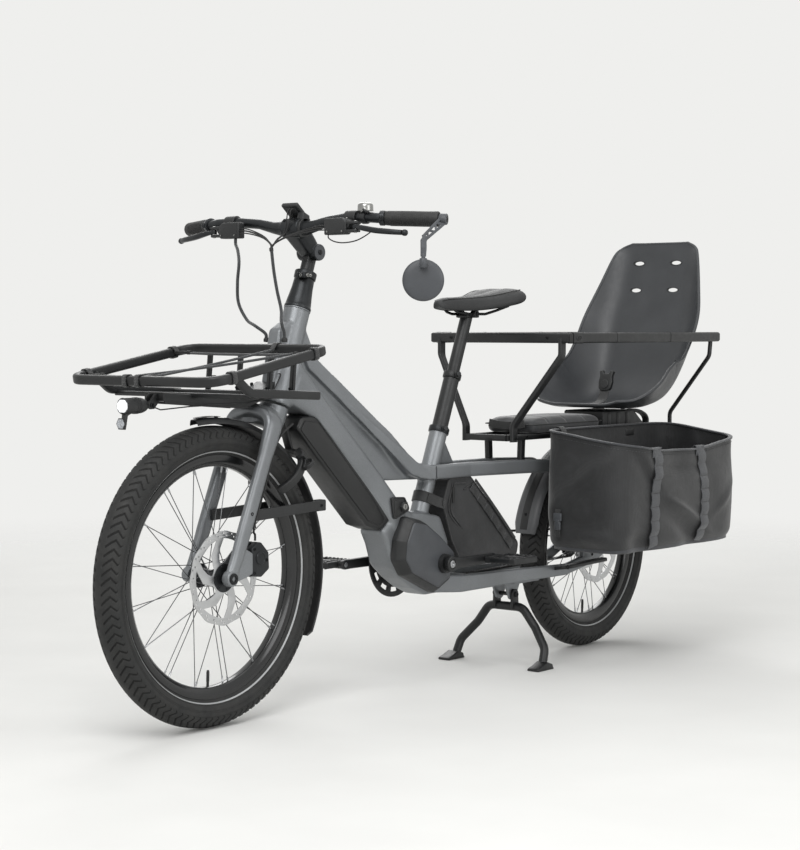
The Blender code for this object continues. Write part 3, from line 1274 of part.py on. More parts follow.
def make_stem():
    slide_foot = head_point(head_high_z + 0.017)
    neck = stem_pivot - head_up * (stem_pivot_radius + 0.004)
    post = rod(slide_foot, neck, post_radius, 16)
    tongue = swept([neck - head_up * 0.004, stem_pivot], box_section(0.020, 0.030, 0.002))
    eye = rod(stem_pivot - left * 0.010, stem_pivot + left * 0.010, stem_pivot_radius - 0.001, 16)
    piece("stem_post", "black_paint", "stem_post", [post, tongue, eye],
          [bore(stem_pivot - left * 0.05, stem_pivot + left * 0.05, stem_pin_radius)])
    cheek = 0.0265
    barrel = rod(stem_pivot - left * cheek, stem_pivot + left * cheek, stem_pivot_radius, 16)
    arm = swept([stem_pivot, bar_centre], box_section(0.048, 0.030, 0.004))
    clamp = rod(bar_centre - left * 0.024, bar_centre + left * 0.024, 0.0225, 16)
    slot = rod(stem_pivot - left * (0.010 + gap), stem_pivot + left * (0.010 + gap),
               stem_pivot_radius + 0.003, 16)
    hole = bore(bar_centre - left * 0.05, bar_centre + left * 0.05, bar_clamp_radius, 16)
    piece("stem_head", "black_paint", "stem_head", [barrel, arm, clamp], [slot, hole],
          [rod(stem_pivot - left * cheek, stem_pivot + left * cheek, stem_pin_radius, 10)])
    high = head_point(cover_top_z)
    low = head_point(head_high_z) + head_up * gap
    length = (high - low).length
    inner = bore_radius(post_radius, 16)
    cone = turned([(inner, 0.0), (0.0285, 0.0), (0.0275, 0.010), (0.0220, length - 0.001), (0.0245, length),
                   (0.0245, length + collar_height), (inner, length + collar_height)], low, head_up, 16)
    ear = block((high.x + 0.020, 0.016, high.z + collar_height / 2.0), (0.020, 0.022, 0.013), 0.002)
    piece("headset_cover", "black_paint", "steering", [cone, ear],
          [bore(low - head_up * 0.01, low + head_up * 0.2, post_radius, 16)])


def lever_pivot(side):
    return bar_centre + Vector((0.0385, side * 0.2100, -0.0040))


def make_controls():
    for name, lever_name, side in (("controls_left", "lever_left", 1),
                                   ("controls_right", "lever_right", -1)):
        line = bar_line(side)
        along = (line[4] - line[3]).normalized()
        ring = sleeve(line[3] + along * 0.004, line[3] + along * 0.034, 0.0152, bar_radius, 14)
        pivot = lever_pivot(side)
        mount = block((pivot.x - 0.0035, side * 0.200, pivot.z), (0.0205, 0.033, 0.024), 0.002)
        pad_box = block((bar_centre.x + 0.0360, side * 0.158, bar_centre.z - 0.0020),
                        (0.022, 0.062, 0.036), 0.004)
        tank = block((bar_centre.x + 0.0290, side * 0.184, bar_centre.z + 0.0010), (0.018, 0.030, 0.022),
                     0.003)
        slot = block((pivot.x + 0.010, side * 0.214, pivot.z), (0.0335, 0.026, 0.0106))
        piece(name, "black_plastic", "stem_head", [ring, tank, mount, pad_box], [slot],
              [rod(pivot - Vector((0.0, 0.0, 0.011)), pivot + Vector((0.0, 0.0, 0.011)), 0.0024, 10)])
        blade = [pivot, pivot + mirrored((0.004, 0.022, -0.004), side),
                 pivot + mirrored((0.002, 0.060, -0.010), side),
                 pivot + mirrored((-0.006, 0.100, -0.014), side), pivot + mirrored((-0.016, 0.122, -0.016),
                                                                                   side)]
        lever = swept(blade, box_section(0.0080, 0.0080, 0.002), hint=(1.0, 0.0, 0.0),
                      sizes=[0.9, 1.0, 1.15, 1.0, 0.8])
        eye = rod(pivot - Vector((0.0, 0.0, 0.0042)), pivot + Vector((0.0, 0.0, 0.0042)), 0.0062, 14)
        piece(lever_name, "black_paint", lever_name, [lever, eye],
              [bore(pivot - Vector((0.0, 0.0, 0.02)), pivot + Vector((0.0, 0.0, 0.02)), 0.0024, 10)])


def make_display_and_bell():
    slope = Vector((-0.045, 0.0, -0.038)).normalized()
    middle = bar_centre + Vector((-0.0050, 0.0, 0.0345))
    slab = swept([middle - slope * 0.028, middle + slope * 0.028], box_section(0.046, 0.010, 0.003))
    low = 0.024 + gap
    strap = sleeve(bar_centre + left * low, bar_centre + left * (low + 0.009), 0.0205, bar_clamp_radius, 14)
    post = prism([(bar_centre.x - 0.016, bar_centre.z + 0.008), (bar_centre.x + 0.010, bar_centre.z + 0.014),
                  (bar_centre.x + 0.006, bar_centre.z + 0.036), (bar_centre.x - 0.014,
                                                                 bar_centre.z + 0.028)],
                 0.0150, low + 0.009)
    piece("display", "black_plastic", "stem_head", [slab, post, strap],
          [bore(bar_centre, bar_centre + left * 0.05, bar_clamp_radius, 14),
           rod(bar_centre - left * low, bar_centre + left * low, 0.0235, 14)])
    line = bar_line(1)
    along = (line[4] - line[3]).normalized()
    at = line[3] + along * 0.0540
    ring = sleeve(at - along * 0.006, at + along * 0.006, 0.0140, bar_radius, 14)
    base = at + Vector((0.0, 0.0, 0.0126))
    dome = turned([(0.0, 0.0), (0.0165, 0.001), (0.0160, 0.006), (0.0130, 0.0125), (0.0075, 0.0165),
                   (0.0, 0.0180)],
                  base, (0.0, 0.0, 1.0), 16)
    piece("bell", "bright_metal", "stem_head", [ring, dome])


def make_mirror():
    start, end = bar_line(1)[-2:]
    along = (end - start).normalized()
    plug = rod(end + along * gap, end + along * 0.016, 0.0120, 14)
    facing = Vector((math.cos(mirror_turn), math.sin(mirror_turn), 0.0))
    disc = bar_centre + Vector((0.030, bar_half_width + 0.016, -0.121))
    hinge = disc + facing * 0.0165
    path = [end + along * 0.0080, end + along * 0.0200 + Vector((0.004, 0.0, -0.003)),
            Vector((hinge.x - 0.014, end.y + 0.018, hinge.z + 0.088)),
            Vector((hinge.x - 0.001, hinge.y, hinge.z + 0.058)), Vector((hinge.x, hinge.y, hinge.z + 0.034))]
    arm = swept(path, box_section(0.0075, 0.0120, 0.002), hint=facing)
    pin = rod(hinge - Vector((0.0, 0.0, 0.0130)), hinge + Vector((0.0, 0.0, 0.037)), 0.0042, 12)
    piece("mirror_arm", "black_plastic", "mirror_arm", [arm, plug, pin])
    dish = turned([(0.0, -0.006), (mirror_radius - 0.002, -0.006), (mirror_radius, -0.003),
                   (mirror_radius, 0.001),
                   (mirror_radius - 0.010, 0.005), (0.0, 0.0065)], disc, facing, 24)
    socket = rod(hinge - Vector((0.0, 0.0, 0.0130)), hinge + Vector((0.0, 0.0, 0.0130)), 0.0085, 12)
    neck = block((0.0, 0.0, 0.0), (0.012, 0.012, 0.022))
    bmesh.ops.rotate(neck, verts=neck.verts, matrix=Vector((1.0, 0.0,
                                                            0.0)).rotation_difference(facing).to_matrix())
    bmesh.ops.translate(neck, verts=neck.verts, vec=disc + facing * 0.0090)
    piece("mirror_head", "black_plastic", "mirror_head", [dish, socket, neck],
          [bore(hinge - Vector((0.0, 0.0, 0.03)), hinge + Vector((0.0, 0.0, 0.03)), 0.0042)])


def hose(name, material, body, lines, radius):
    section = round_section(radius, 6)
    shells = [swept(rounded_path(line, 0.03, 2), section, hint=(1.0, 0.3, 0.2)) for line in lines]
    piece(name, material, body, shells)


def make_hoses():
    bar = bar_centre
    port_z = head_high_z - 0.0660
    port_x = head_x(port_z) + 0.0480
    hose("hose_right", "hose_braid", "stem_head",
        [[(bar.x + 0.0400, -0.1420, bar.z - 0.0203), (bar.x + 0.0400, -0.1420, bar.z - 0.0400),
          (bar.x + 0.0700, -0.0980, bar.z - 0.0720), (bar.x + 0.0720, -0.1060, bar.z - 0.1500),
          (bar.x + 0.0660, -0.0800, bar.z - 0.2200), (port_x, -0.0290, port_z + 0.0160),
          (port_x, -0.0270, port_z + 0.0003)]], 0.0030)
    hose("hose_bundle", "hose_braid", "stem_head",
        [[(bar.x + 0.0420, 0.1267, bar.z - 0.0040), (bar.x + 0.0420, 0.1000, bar.z - 0.0040),
          (bar.x + 0.0480, 0.0500, bar.z - 0.0110),
          (bar.x + 0.0520, -0.0220, bar.z - 0.0260), (bar.x + 0.0560, -0.0120, bar.z - 0.0900),
          (bar.x + 0.0560, 0.0080, bar.z - 0.1700), (port_x + 0.0020, 0.0270, port_z + 0.0300),
          (port_x, 0.0270, port_z + 0.0003)],
         [(bar.x + 0.0420, -0.1267, bar.z - 0.0040), (bar.x + 0.0420, -0.1000, bar.z - 0.0040),
          (bar.x + 0.0460, -0.0600, bar.z - 0.0180),
          (bar.x + 0.0510, -0.0330, bar.z - 0.0280), (bar.x + 0.0540, -0.0170, bar.z - 0.0600)]], 0.0034)
    hose("control_lead", "soft_rubber", "stem_head",
        [[(bar.x + 0.0400, 0.1340, bar.z - 0.0203), (bar.x + 0.0400, 0.1340, bar.z - 0.0300),
          (bar.x + 0.0400, 0.1750, bar.z - 0.0370), (bar.x + 0.0200, 0.2150, bar.z - 0.0300),
          (bar.x + 0.0160, 0.2440, bar.z - 0.0085)]], 0.0016)
    caliper_top = Vector((-0.0900, fork_leg_y - 0.0120, front_axle_z + 0.0725))
    hose("front_brake_hose", "soft_rubber", "steering",
        [[head_local(-0.0300, -0.0400) + left * (fork_leg_y + 0.004),
          (fork_leg_x(0.600) - 0.0420, fork_leg_y, 0.600), (fork_leg_x(0.500) - 0.0265, fork_leg_y, 0.500),
          (fork_leg_x(0.420) - 0.0275, fork_leg_y, 0.420), (caliper_top.x, caliper_top.y,
                                                            caliper_top.z + 0.012),
          caliper_top]], 0.0024)


def make_stand():
    pivot = Vector((stand_pivot_x, 0.0, stand_pivot_z))
    shells = [rod(pivot - left * 0.034, pivot + left * 0.034, stand_pin_radius, 10)]
    bar_z, floor = stand_pivot_z - 0.032, -base_line
    half = [(stand_pivot_x + 0.030, stand_half - 0.004, floor + 0.010),
            (stand_pivot_x + 0.014, stand_half - 0.008, bar_z - 0.096),
            (stand_pivot_x - 0.004, 0.090, bar_z - 0.048), (stand_pivot_x - 0.002, 0.052, bar_z)]
    path = [Vector(point) for point in half] + [mirrored(point, -1) for point in reversed(half)]
    shells.append(swept(rounded_path(path, 0.035, 2), round_section(stand_tube, 8), hint=(1.0, 0.0, 0.05)))
    for side in (1, -1):
        inner = 0.0230 + running_gap
        shells.append(swept([pivot + mirrored((0.0, inner + 0.004, 0.010), side),
                             pivot + mirrored((0.0, inner + 0.004, -0.034), side)], box_section(0.008,
                                                                                                0.024, 0.002)))
        shells.append(block((stand_pivot_x + 0.044, side * stand_half, floor + 0.0060),
                            (0.070, 0.034, 0.0120), 0.002))
    piece("centre_stand", "black_paint", "stand", shells)


def make_bodies():
    make_body("root", (front_axle_x, wheel_plane_y, base_line))
    make_body("steering", head_point(head_high_z), "root")
    make_body("front_wheel", front_axle, "steering")
    make_body("rear_wheel", rear_axle, "root")
    make_body("cranks", crank_centre, "root")
    for name, forward in (("pedal_left", -1), ("pedal_right", 1)):
        make_body(name, crank_centre + Vector((forward * crank_arm, 0.0, 0.0)), "cranks")
    make_body("stand", (stand_pivot_x, 0.0, stand_pivot_z), "root")
    make_body("stem_post", stem_pivot, "steering")
    make_body("stem_head", stem_pivot, "stem_post")
    make_body("lever_left", lever_pivot(1), "stem_head")
    make_body("lever_right", lever_pivot(-1), "stem_head")
    start, end = bar_line(1)[-2:]
    make_body("mirror_arm", end, "stem_head")
    facing = Vector((math.cos(mirror_turn), math.sin(mirror_turn), 0.0))
    make_body("mirror_head", bar_centre + Vector((0.030, bar_half_width + 0.016, -0.121)) + facing * 0.0165,
              "mirror_arm")
    make_body("lock_lever", lock_frame()[0], "steering")
    make_body("headlight", (loop_front_x - 0.024, 0.0, loop_front_z - 0.050), "root")
    make_body("seatpost_lower", seat_point(seat_tube_top_z), "root")
    make_body("seatpost_upper", seat_point(lower_post_top_z), "seatpost_lower")


clear_scene()
make_materials()
make_bodies()
make_wheels()
make_main_frame()
make_rear_triangle()
make_battery()
make_battery_lock()
make_drive()
make_belt()
make_cranks()
make_frame_bag()
make_rear_rack()
make_hoop_and_rails()
make_cushion()
make_child_seat()
make_child_seat_base()
make_pannier()
make_mudguards()
make_fork()
make_calipers()
make_ring_lock()
make_front_rack()
make_rack_cords()
make_seat()
make_bar()
make_stem()
make_controls()
make_display_and_bell()
make_mirror()
make_hoses()
make_stand()
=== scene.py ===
import math

import bmesh
import bpy
from mathutils import Matrix, Vector


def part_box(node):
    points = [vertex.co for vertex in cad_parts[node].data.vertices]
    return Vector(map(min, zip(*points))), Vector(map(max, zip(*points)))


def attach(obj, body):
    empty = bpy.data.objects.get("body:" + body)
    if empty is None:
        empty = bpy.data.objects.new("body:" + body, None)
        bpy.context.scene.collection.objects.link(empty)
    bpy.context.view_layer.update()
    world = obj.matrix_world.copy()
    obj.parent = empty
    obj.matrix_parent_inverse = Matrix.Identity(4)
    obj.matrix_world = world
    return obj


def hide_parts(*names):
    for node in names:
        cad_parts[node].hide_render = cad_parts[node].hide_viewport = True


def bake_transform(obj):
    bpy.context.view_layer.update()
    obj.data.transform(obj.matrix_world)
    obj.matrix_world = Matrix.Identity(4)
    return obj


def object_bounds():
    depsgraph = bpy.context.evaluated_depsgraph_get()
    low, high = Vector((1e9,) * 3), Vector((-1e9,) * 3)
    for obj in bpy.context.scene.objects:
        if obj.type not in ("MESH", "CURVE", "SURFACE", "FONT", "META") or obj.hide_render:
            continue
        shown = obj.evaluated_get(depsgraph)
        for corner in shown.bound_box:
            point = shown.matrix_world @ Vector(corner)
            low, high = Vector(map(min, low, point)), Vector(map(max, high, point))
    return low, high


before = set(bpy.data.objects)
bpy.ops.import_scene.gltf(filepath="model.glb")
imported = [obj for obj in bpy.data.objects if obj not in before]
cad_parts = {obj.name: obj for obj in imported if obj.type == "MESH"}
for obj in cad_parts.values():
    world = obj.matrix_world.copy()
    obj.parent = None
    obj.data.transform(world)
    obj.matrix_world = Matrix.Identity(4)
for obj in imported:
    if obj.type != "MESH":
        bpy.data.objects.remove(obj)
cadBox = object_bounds()

# Bike coordinates: front axle above X = 0, heights from the base line a little above the ground
frontAxleHeight = 0.3155
rearAxleHeight = 0.2655
tyreLow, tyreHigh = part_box("front_tyre")
frontMiddle = (tyreLow + tyreHigh) / 2
origin = Vector((frontMiddle.x, frontMiddle.y, frontMiddle.z - frontAxleHeight))
leftward = Vector((0, 1, 0))
upward = Vector((0, 0, 1))
forward = Vector((1, 0, 0))
frontAxle = Vector((0, 0, frontAxleHeight))
rearAxle = Vector((-1.4325, 0, rearAxleHeight))
crankCentre = Vector((-0.72, 0, 0.283))
headAngle = math.radians(70.0)
seatAngle = math.radians(68.2)
headUp = Vector((-math.cos(headAngle), 0, math.sin(headAngle)))
headAhead = Vector((math.sin(headAngle), 0, math.cos(headAngle)))
seatUp = Vector((-math.cos(seatAngle), 0, math.sin(seatAngle)))


def headX(height):
    return -0.069 / math.sin(headAngle) - (height - frontAxleHeight) / math.tan(headAngle)


def seatX(height):
    return crankCentre.x + 0.0015 - (height - 0.4) / math.tan(seatAngle)


def headPoint(height):
    return Vector((headX(height), 0, height))


def seatPoint(height):
    return Vector((seatX(height), 0, height))


def headLocal(ahead, up):
    return headPoint(0.676) + headAhead * ahead + headUp * up


def mirrored(point, side):
    return Vector((point[0], point[1] * side, point[2]))


def polar(centre, radius, degrees):
    turn = math.radians(degrees)
    return Vector((centre[0] + radius * math.cos(turn), centre[1], centre[2] + radius * math.sin(turn)))


def outwards(degrees):
    return polar((0, 0, 0), 1.0, degrees)


def clamp(value):  # held between 0 and 1
    return min(max(value, 0.0), 1.0)


def bulged(value, power):  # squares off a circle's cosine or sine
    return math.copysign(abs(value) ** power, value)


def turns(steps):
    return [(math.cos(math.tau * step / steps), math.sin(math.tau * step / steps)) for step in range(steps)]


# Shapes are (points, faces, uvs); uvs follow the faces' corners
def merged(*shapes):
    points, faces, uvs = [], [], []
    for shape in shapes:
        first = len(points)
        points += shape[0]
        faces += [[index + first for index in face] for face in shape[1]]
        uvs += shape[2]
    return points, faces, uvs


def gridShape(rows, closedAcross=False, closedAlong=False, caps=False):
    count = len(rows[0])
    points = [Vector(point) for row in rows for point in row]
    faces, uvs = [], []
    alongs = [0.0]
    for first, second in zip(rows, rows[1:]):
        alongs.append(alongs[-1] + (Vector(second[0]) - Vector(first[0])).length)
    pairs = [(i, i + 1) for i in range(len(rows) - 1)]
    if closedAlong:
        pairs.append((len(rows) - 1, 0))
        alongs.append(alongs[-1] + (Vector(rows[0][0]) - Vector(rows[-1][0])).length)
    across = count if closedAcross else count - 1
    for i, k in pairs:
        low, high = alongs[i], alongs[i + 1]
        for j in range(across):
            m = (j + 1) % count
            faces.append([i * count + j, i * count + m, k * count + m, k * count + j])
            a, b = j / across, (j + 1) / across
            uvs += [(a, low), (b, low), (b, high), (a, high)]
    if caps:
        last = (len(rows) - 1) * count
        faces.append(list(range(count))[::-1])
        faces.append([last + j for j in range(count)])
        uvs += [(0.0, 0.0)] * (2 * count)
    return points, faces, uvs


def lathe(profile, start, axis, steps, closed=False):
    start, axis = Vector(start), Vector(axis).normalized()
    hint = leftward if abs(axis.dot(leftward)) < 0.9 else forward
    side = (hint - axis * hint.dot(axis)).normalized()
    other = axis.cross(side)
    rows = [[start + axis * along + (side * c + other * s) * max(radius, 0.00002) for c, s in turns(steps)]
            for radius, along in profile]
    return gridShape(rows, closedAcross=True, closedAlong=closed)


def rod(start, end, radius, steps):
    start, end = Vector(start), Vector(end)
    length = (end - start).length
    edge = min(0.0006, radius * 0.4, length * 0.4)  # rounding of the two rims
    return lathe([(0, 0), (radius - edge, 0), (radius - edge * 0.3, edge * 0.3), (radius, edge),
                  (radius, length - edge), (radius - edge * 0.3, length - edge * 0.3),
                  (radius - edge, length), (0, length)], start, end - start, steps)


def circle(radius, steps):
    return [(c * radius, s * radius) for c, s in turns(steps)]


def roundedRect(wide, tall, corner, steps=4):
    section = []
    for cu, cv, begin in ((1, 1, 0), (-1, 1, 90), (-1, -1, 180), (1, -1, 270)):
        for step in range(steps + 1):
            turn = math.radians(begin + 90 * step / steps)
            section.append((cu * (wide / 2 - corner) + corner * math.cos(turn),
                            cv * (tall / 2 - corner) + corner * math.sin(turn)))
    return section


def filleted(points, radius, steps=8, closed=False):
    points = [Vector(point) for point in points]
    count, path = len(points), []
    for index, corner in enumerate(points):
        if not closed and index in (0, count - 1):
            path.append(corner)
            continue
        before, after = points[index - 1] - corner, points[(index + 1) % count] - corner
        bend = math.pi - before.angle(after)
        here = radius[index] if isinstance(radius, (list, tuple)) else radius
        reach = min(here * math.tan(bend / 2), before.length * 0.48, after.length * 0.48)
        first, last = corner + before.normalized() * reach, corner + after.normalized() * reach
        for step in range(steps + 1):
            share = step / steps
            path.append(first.lerp(corner, share).lerp(corner.lerp(last, share), share))
    return path


def spline(points, count):
    points = [Vector(point) for point in points]
    spans = len(points) - 1
    path = []
    for step in range(count + 1):
        place = step / count * spans
        span = min(int(place), spans - 1)
        share = place - span
        b, c = points[span], points[span + 1]
        a = points[span - 1] if span else b + (b - c)
        d = points[span + 2] if span + 1 < spans else c + (c - b)
        path.append(0.5 * ((2 * b) + (c - a) * share + (2 * a - 5 * b + 4 * c - d) * share ** 2
                           + (3 * b - a - 3 * c + d) * share ** 3))
    return path


def sweep(path, section, hint=leftward, scales=None, closed=False):
    path, hint = [Vector(point) for point in path], Vector(hint)
    count = len(path)
    rows, lastSide = [], None
    for index, point in enumerate(path):
        before = path[index] - path[index - 1] if (index or closed) else path[1] - path[0]
        after = path[(index + 1) % count] - path[index] if (index < count - 1 or closed) else before
        along = (before.normalized() + after.normalized()).normalized()
        side = hint - along * hint.dot(along)
        if lastSide is not None and side.length < 0.25:
            side = lastSide - along * lastSide.dot(along)
        side.normalize()
        lastSide = side
        other = along.cross(side)
        scale = 1.0 if scales is None else scales[index]
        wide, tall = scale if isinstance(scale, (list, tuple)) else (scale, scale)
        stretch = 1.0 / max(math.cos(before.angle(after) / 2), 0.7)
        bendSide = (after.normalized() - before.normalized())
        row = []
        for u, v in section:
            offset = side * u * wide + other * v * tall
            if bendSide.length > 0.02:
                direction = bendSide.normalized()
                offset += direction * offset.dot(direction) * (stretch - 1.0)
            row.append(point + offset)
        rows.append(row)
    return gridShape(rows, closedAcross=True, closedAlong=closed, caps=not closed)


def fromBmesh(shell):
    bmesh.ops.recalc_face_normals(shell, faces=shell.faces)
    shell.verts.index_update()
    points = [vert.co.copy() for vert in shell.verts]
    faces = [[vert.index for vert in face.verts] for face in shell.faces]
    uvs = [(0.0, 0.0)] * sum(len(face) for face in faces)
    shell.free()
    return points, faces, uvs


# A flat outline given thickness, its edges rounded
def slab(outline, low, high, plane, edge, edgeSteps=3):
    place = {"XZ": lambda u, v, w: (u, w, v), "XY": lambda u, v, w: (u, v, w), "YZ": lambda u, v, w: (w, u, v)}[plane]
    shell = bmesh.new()
    bottom = [shell.verts.new(place(u, v, low)) for u, v in outline]
    top = [shell.verts.new(place(u, v, high)) for u, v in outline]
    count = len(outline)
    for index in range(count):
        after = (index + 1) % count
        shell.faces.new((bottom[index], bottom[after], top[after], top[index]))
    shell.faces.new(bottom[::-1])
    shell.faces.new(top)
    bmesh.ops.recalc_face_normals(shell, faces=shell.faces)
    if edge:
        rims = [item for item in shell.edges if item.calc_face_angle(0) > math.radians(28)]
        bmesh.ops.bevel(shell, geom=rims, offset=edge, segments=edgeSteps, affect="EDGES", profile=0.5,
                        clamp_overlap=True)
    return fromBmesh(shell)


def brick(centre, size, edge, edgeSteps=3, turn=None):
    x, y, z = (side / 2 for side in size)
    points, faces, uvs = slab([(-x, -z), (x, -z), (x, z), (-x, z)], -y, y, "XZ", edge, edgeSteps)
    matrix = turn.to_matrix() if turn else Matrix.Identity(3)
    return [matrix @ point + Vector(centre) for point in points], faces, uvs


def moved(shape, matrix):
    return [matrix @ point for point in shape[0]], shape[1], shape[2]


# Socket-head screw: a domed head with a hexagon sunk in it
def screw(place, axis, radius, depth=None):
    depth = depth or radius * 0.7
    socket = radius * 0.52
    head = lathe([(radius, -0.001), (radius, depth * 0.6), (radius * 0.92, depth * 0.88), (radius * 0.75, depth),
                  (socket * 1.12, depth)], place, axis, 28)
    hexagon = lathe([(socket * 1.12, depth), (socket, depth * 0.95), (socket, depth * 0.35), (0, depth * 0.3)],
                    place, axis, 6)
    return merged(head, hexagon)


weldDistance = 0.000045  # corners of a piece nearer than this become one


def makeObject(name, shape):
    mesh = bpy.data.meshes.new(name)
    mesh.from_pydata([tuple(point) for point in shape[0]], [], shape[1])
    layer = mesh.uv_layers.new(name="UVMap")
    if len(shape[2]) == len(layer.data):
        layer.data.foreach_set("uv", [value for pair in shape[2] for value in pair])
    item = bpy.data.objects.new(name, mesh)
    bpy.context.scene.collection.objects.link(item)
    return item


def settle(item):  # the modifiers' result becomes the mesh
    graph = bpy.context.evaluated_depsgraph_get()
    mesh = bpy.data.meshes.new_from_object(item.evaluated_get(graph))
    item.modifiers.clear()
    old = item.data
    item.data = mesh
    bpy.data.meshes.remove(old)


def dress(item, material, body, standsFor=(), sharp=32.0, extra=()):
    item.data.transform(Matrix.Translation(origin))
    item.data.materials.clear()
    for name in (material, *extra):
        item.data.materials.append(materials[name])
    item.data.shade_smooth()
    if sharp:
        item.data.set_sharp_from_angle(angle=math.radians(sharp))
    if isinstance(body, tuple):
        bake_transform(item)
    else:
        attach(item, body)
    if standsFor:
        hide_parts(standsFor)


def piece(name, shape, material, body, standsFor=(), sharp=32.0, subdivide=0):  # a list is merged
    item = makeObject(name, merged(*shape) if isinstance(shape, list) else shape)
    weld = bmesh.new()
    weld.from_mesh(item.data)
    bmesh.ops.remove_doubles(weld, verts=weld.verts, dist=weldDistance)
    bmesh.ops.recalc_face_normals(weld, faces=weld.faces)
    weld.to_mesh(item.data)
    weld.free()
    if subdivide:
        modifier = item.modifiers.new("Subdivision", "SUBSURF")
        modifier.levels = modifier.render_levels = subdivide
        settle(item)
    dress(item, material, body, standsFor, sharp)


# Shapes melted into one skin, as a welded and filled joint, with room cut for what sits in it
def melted(name, shape, voxel, rounds, cuts):
    item, tool = makeObject(name, shape), makeObject(name + "Cut", cuts)
    carve = item.modifiers.new("Carve", "BOOLEAN")
    carve.operation, carve.object, carve.solver = "DIFFERENCE", tool, "FAST"
    remesh = item.modifiers.new("Remesh", "REMESH")
    remesh.mode, remesh.voxel_size = "VOXEL", voxel
    smooth = item.modifiers.new("Smooth", "SMOOTH")
    smooth.factor, smooth.iterations = 0.5, rounds
    settle(item)
    bpy.data.objects.remove(tool, do_unlink=True)
    return item


# Camera first, at the photograph's angle; turns in radians, lens in millimetres
cameraLook = {"place": (3.0616, 2.9932, 0.8491), "yaw": -2.4624, "pitch": 0.0492, "lens": 85.03, "sensor": 36.0,
              "farthest": 200.0}


def placeCamera():
    cameraData = bpy.data.cameras.new("PhotoCamera")
    cameraData.sensor_width, cameraData.lens = cameraLook["sensor"], cameraLook["lens"]
    cameraData.clip_end = cameraLook["farthest"]
    camera = bpy.data.objects.new("PhotoCamera", cameraData)
    bpy.context.scene.collection.objects.link(camera)
    camera.location = origin + Vector(cameraLook["place"])
    yaw, pitch = cameraLook["yaw"], cameraLook["pitch"]
    gaze = Vector((math.cos(yaw) * math.cos(pitch), math.sin(yaw) * math.cos(pitch), -math.sin(pitch)))
    camera.rotation_euler = gaze.to_track_quat("-Z", "Y").to_euler()
    bpy.context.scene.camera = camera
    bpy.context.scene.view_settings.view_transform = "Standard"


placeCamera()
print("camera placed")


# Finishes
def linear(code):
    values = [int(code[i:i + 2], 16) / 255 for i in (1, 3, 5)]
    return [v / 12.92 if v <= 0.04045 else ((v + 0.055) / 1.055) ** 2.4 for v in values] + [1.0]


def addNode(tree, kind, settings=None, links=None):
    node = tree.nodes.new(kind)
    for key, value in (settings or {}).items():
        if key == "stops":
            while len(node.color_ramp.elements) < len(value):
                node.color_ramp.elements.new(0.5)
            for element, (place, colour) in zip(node.color_ramp.elements, value):
                element.position, element.color = place, linear(colour)
        elif isinstance(key, str) and hasattr(node, key):
            setattr(node, key, value)
        else:
            node.inputs[key].default_value = value
    for key, socket in (links or {}).items():
        tree.links.new(socket, node.inputs[key])
    return node


def grey(value):
    level = round(value * 255)
    return "#%02x%02x%02x" % (level, level, level)


def emptyTree(holder):
    holder.use_nodes = True
    holder.node_tree.nodes.clear()
    return holder.node_tree


def noise(tree, place, sizeMm, detail, more=None):
    return addNode(tree, "ShaderNodeTexNoise", {"Scale": 1000 / sizeMm, "Detail": detail, **(more or {})},
                   {"Vector": place}).outputs["Fac"]


def ramp(tree, factor, stops):
    return addNode(tree, "ShaderNodeValToRGB", {"stops": stops}, {"Fac": factor}).outputs["Color"]


def multiplied(tree, first, second):
    return addNode(tree, "ShaderNodeMix", {"data_type": "RGBA", "blend_type": "MULTIPLY", 0: 1.0},
                   {6: first, 7: second}).outputs[2]


def relief(tree, height, strength, depthMm, under=None):
    return addNode(tree, "ShaderNodeBump", {"Strength": strength, "Distance": depthMm / 1000},
                   {"Height": height, **({"Normal": under} if under else {})}).outputs["Normal"]


def surface(tree, settings, links):
    shader = addNode(tree, "ShaderNodeBsdfPrincipled", settings, links)
    addNode(tree, "ShaderNodeOutputMaterial", {}, {"Surface": shader.outputs["BSDF"]})


# A coat on a part: two tones in slow clouds, a grain that darkens and raises it, handling marks in the gloss
def coatMaterial(name, look):
    material = bpy.data.materials.new(name)
    tree = emptyTree(material)
    place = addNode(tree, "ShaderNodeTexCoord").outputs["Object"]
    tone = ramp(tree, noise(tree, place, look.get("cloudMm", 60), 3.0),
                [(0.35, look["colour"]), (0.68, look["tint"])])
    grain = noise(tree, place, look["grainMm"], 2.0, {"Roughness": 0.6})
    fleck = ramp(tree, grain, [(0.3, grey(1 - look["fleck"])), (0.72, "#ffffff")])
    marks = noise(tree, place, 14, 5.0, {"Roughness": 0.7})
    low, high = look["roughness"]
    gloss = addNode(tree, "ShaderNodeMapRange", {"From Min": 0.3, "From Max": 0.7, "To Min": low, "To Max": high},
                    {"Value": marks})
    surface(tree, {"Metallic": look.get("metallic", 0.0), **look.get("shader", {})},
            {"Base Color": multiplied(tree, tone, fleck), "Roughness": gloss.outputs["Result"],
             "Normal": relief(tree, grain, 0.5, look["depthMm"])})
    return material


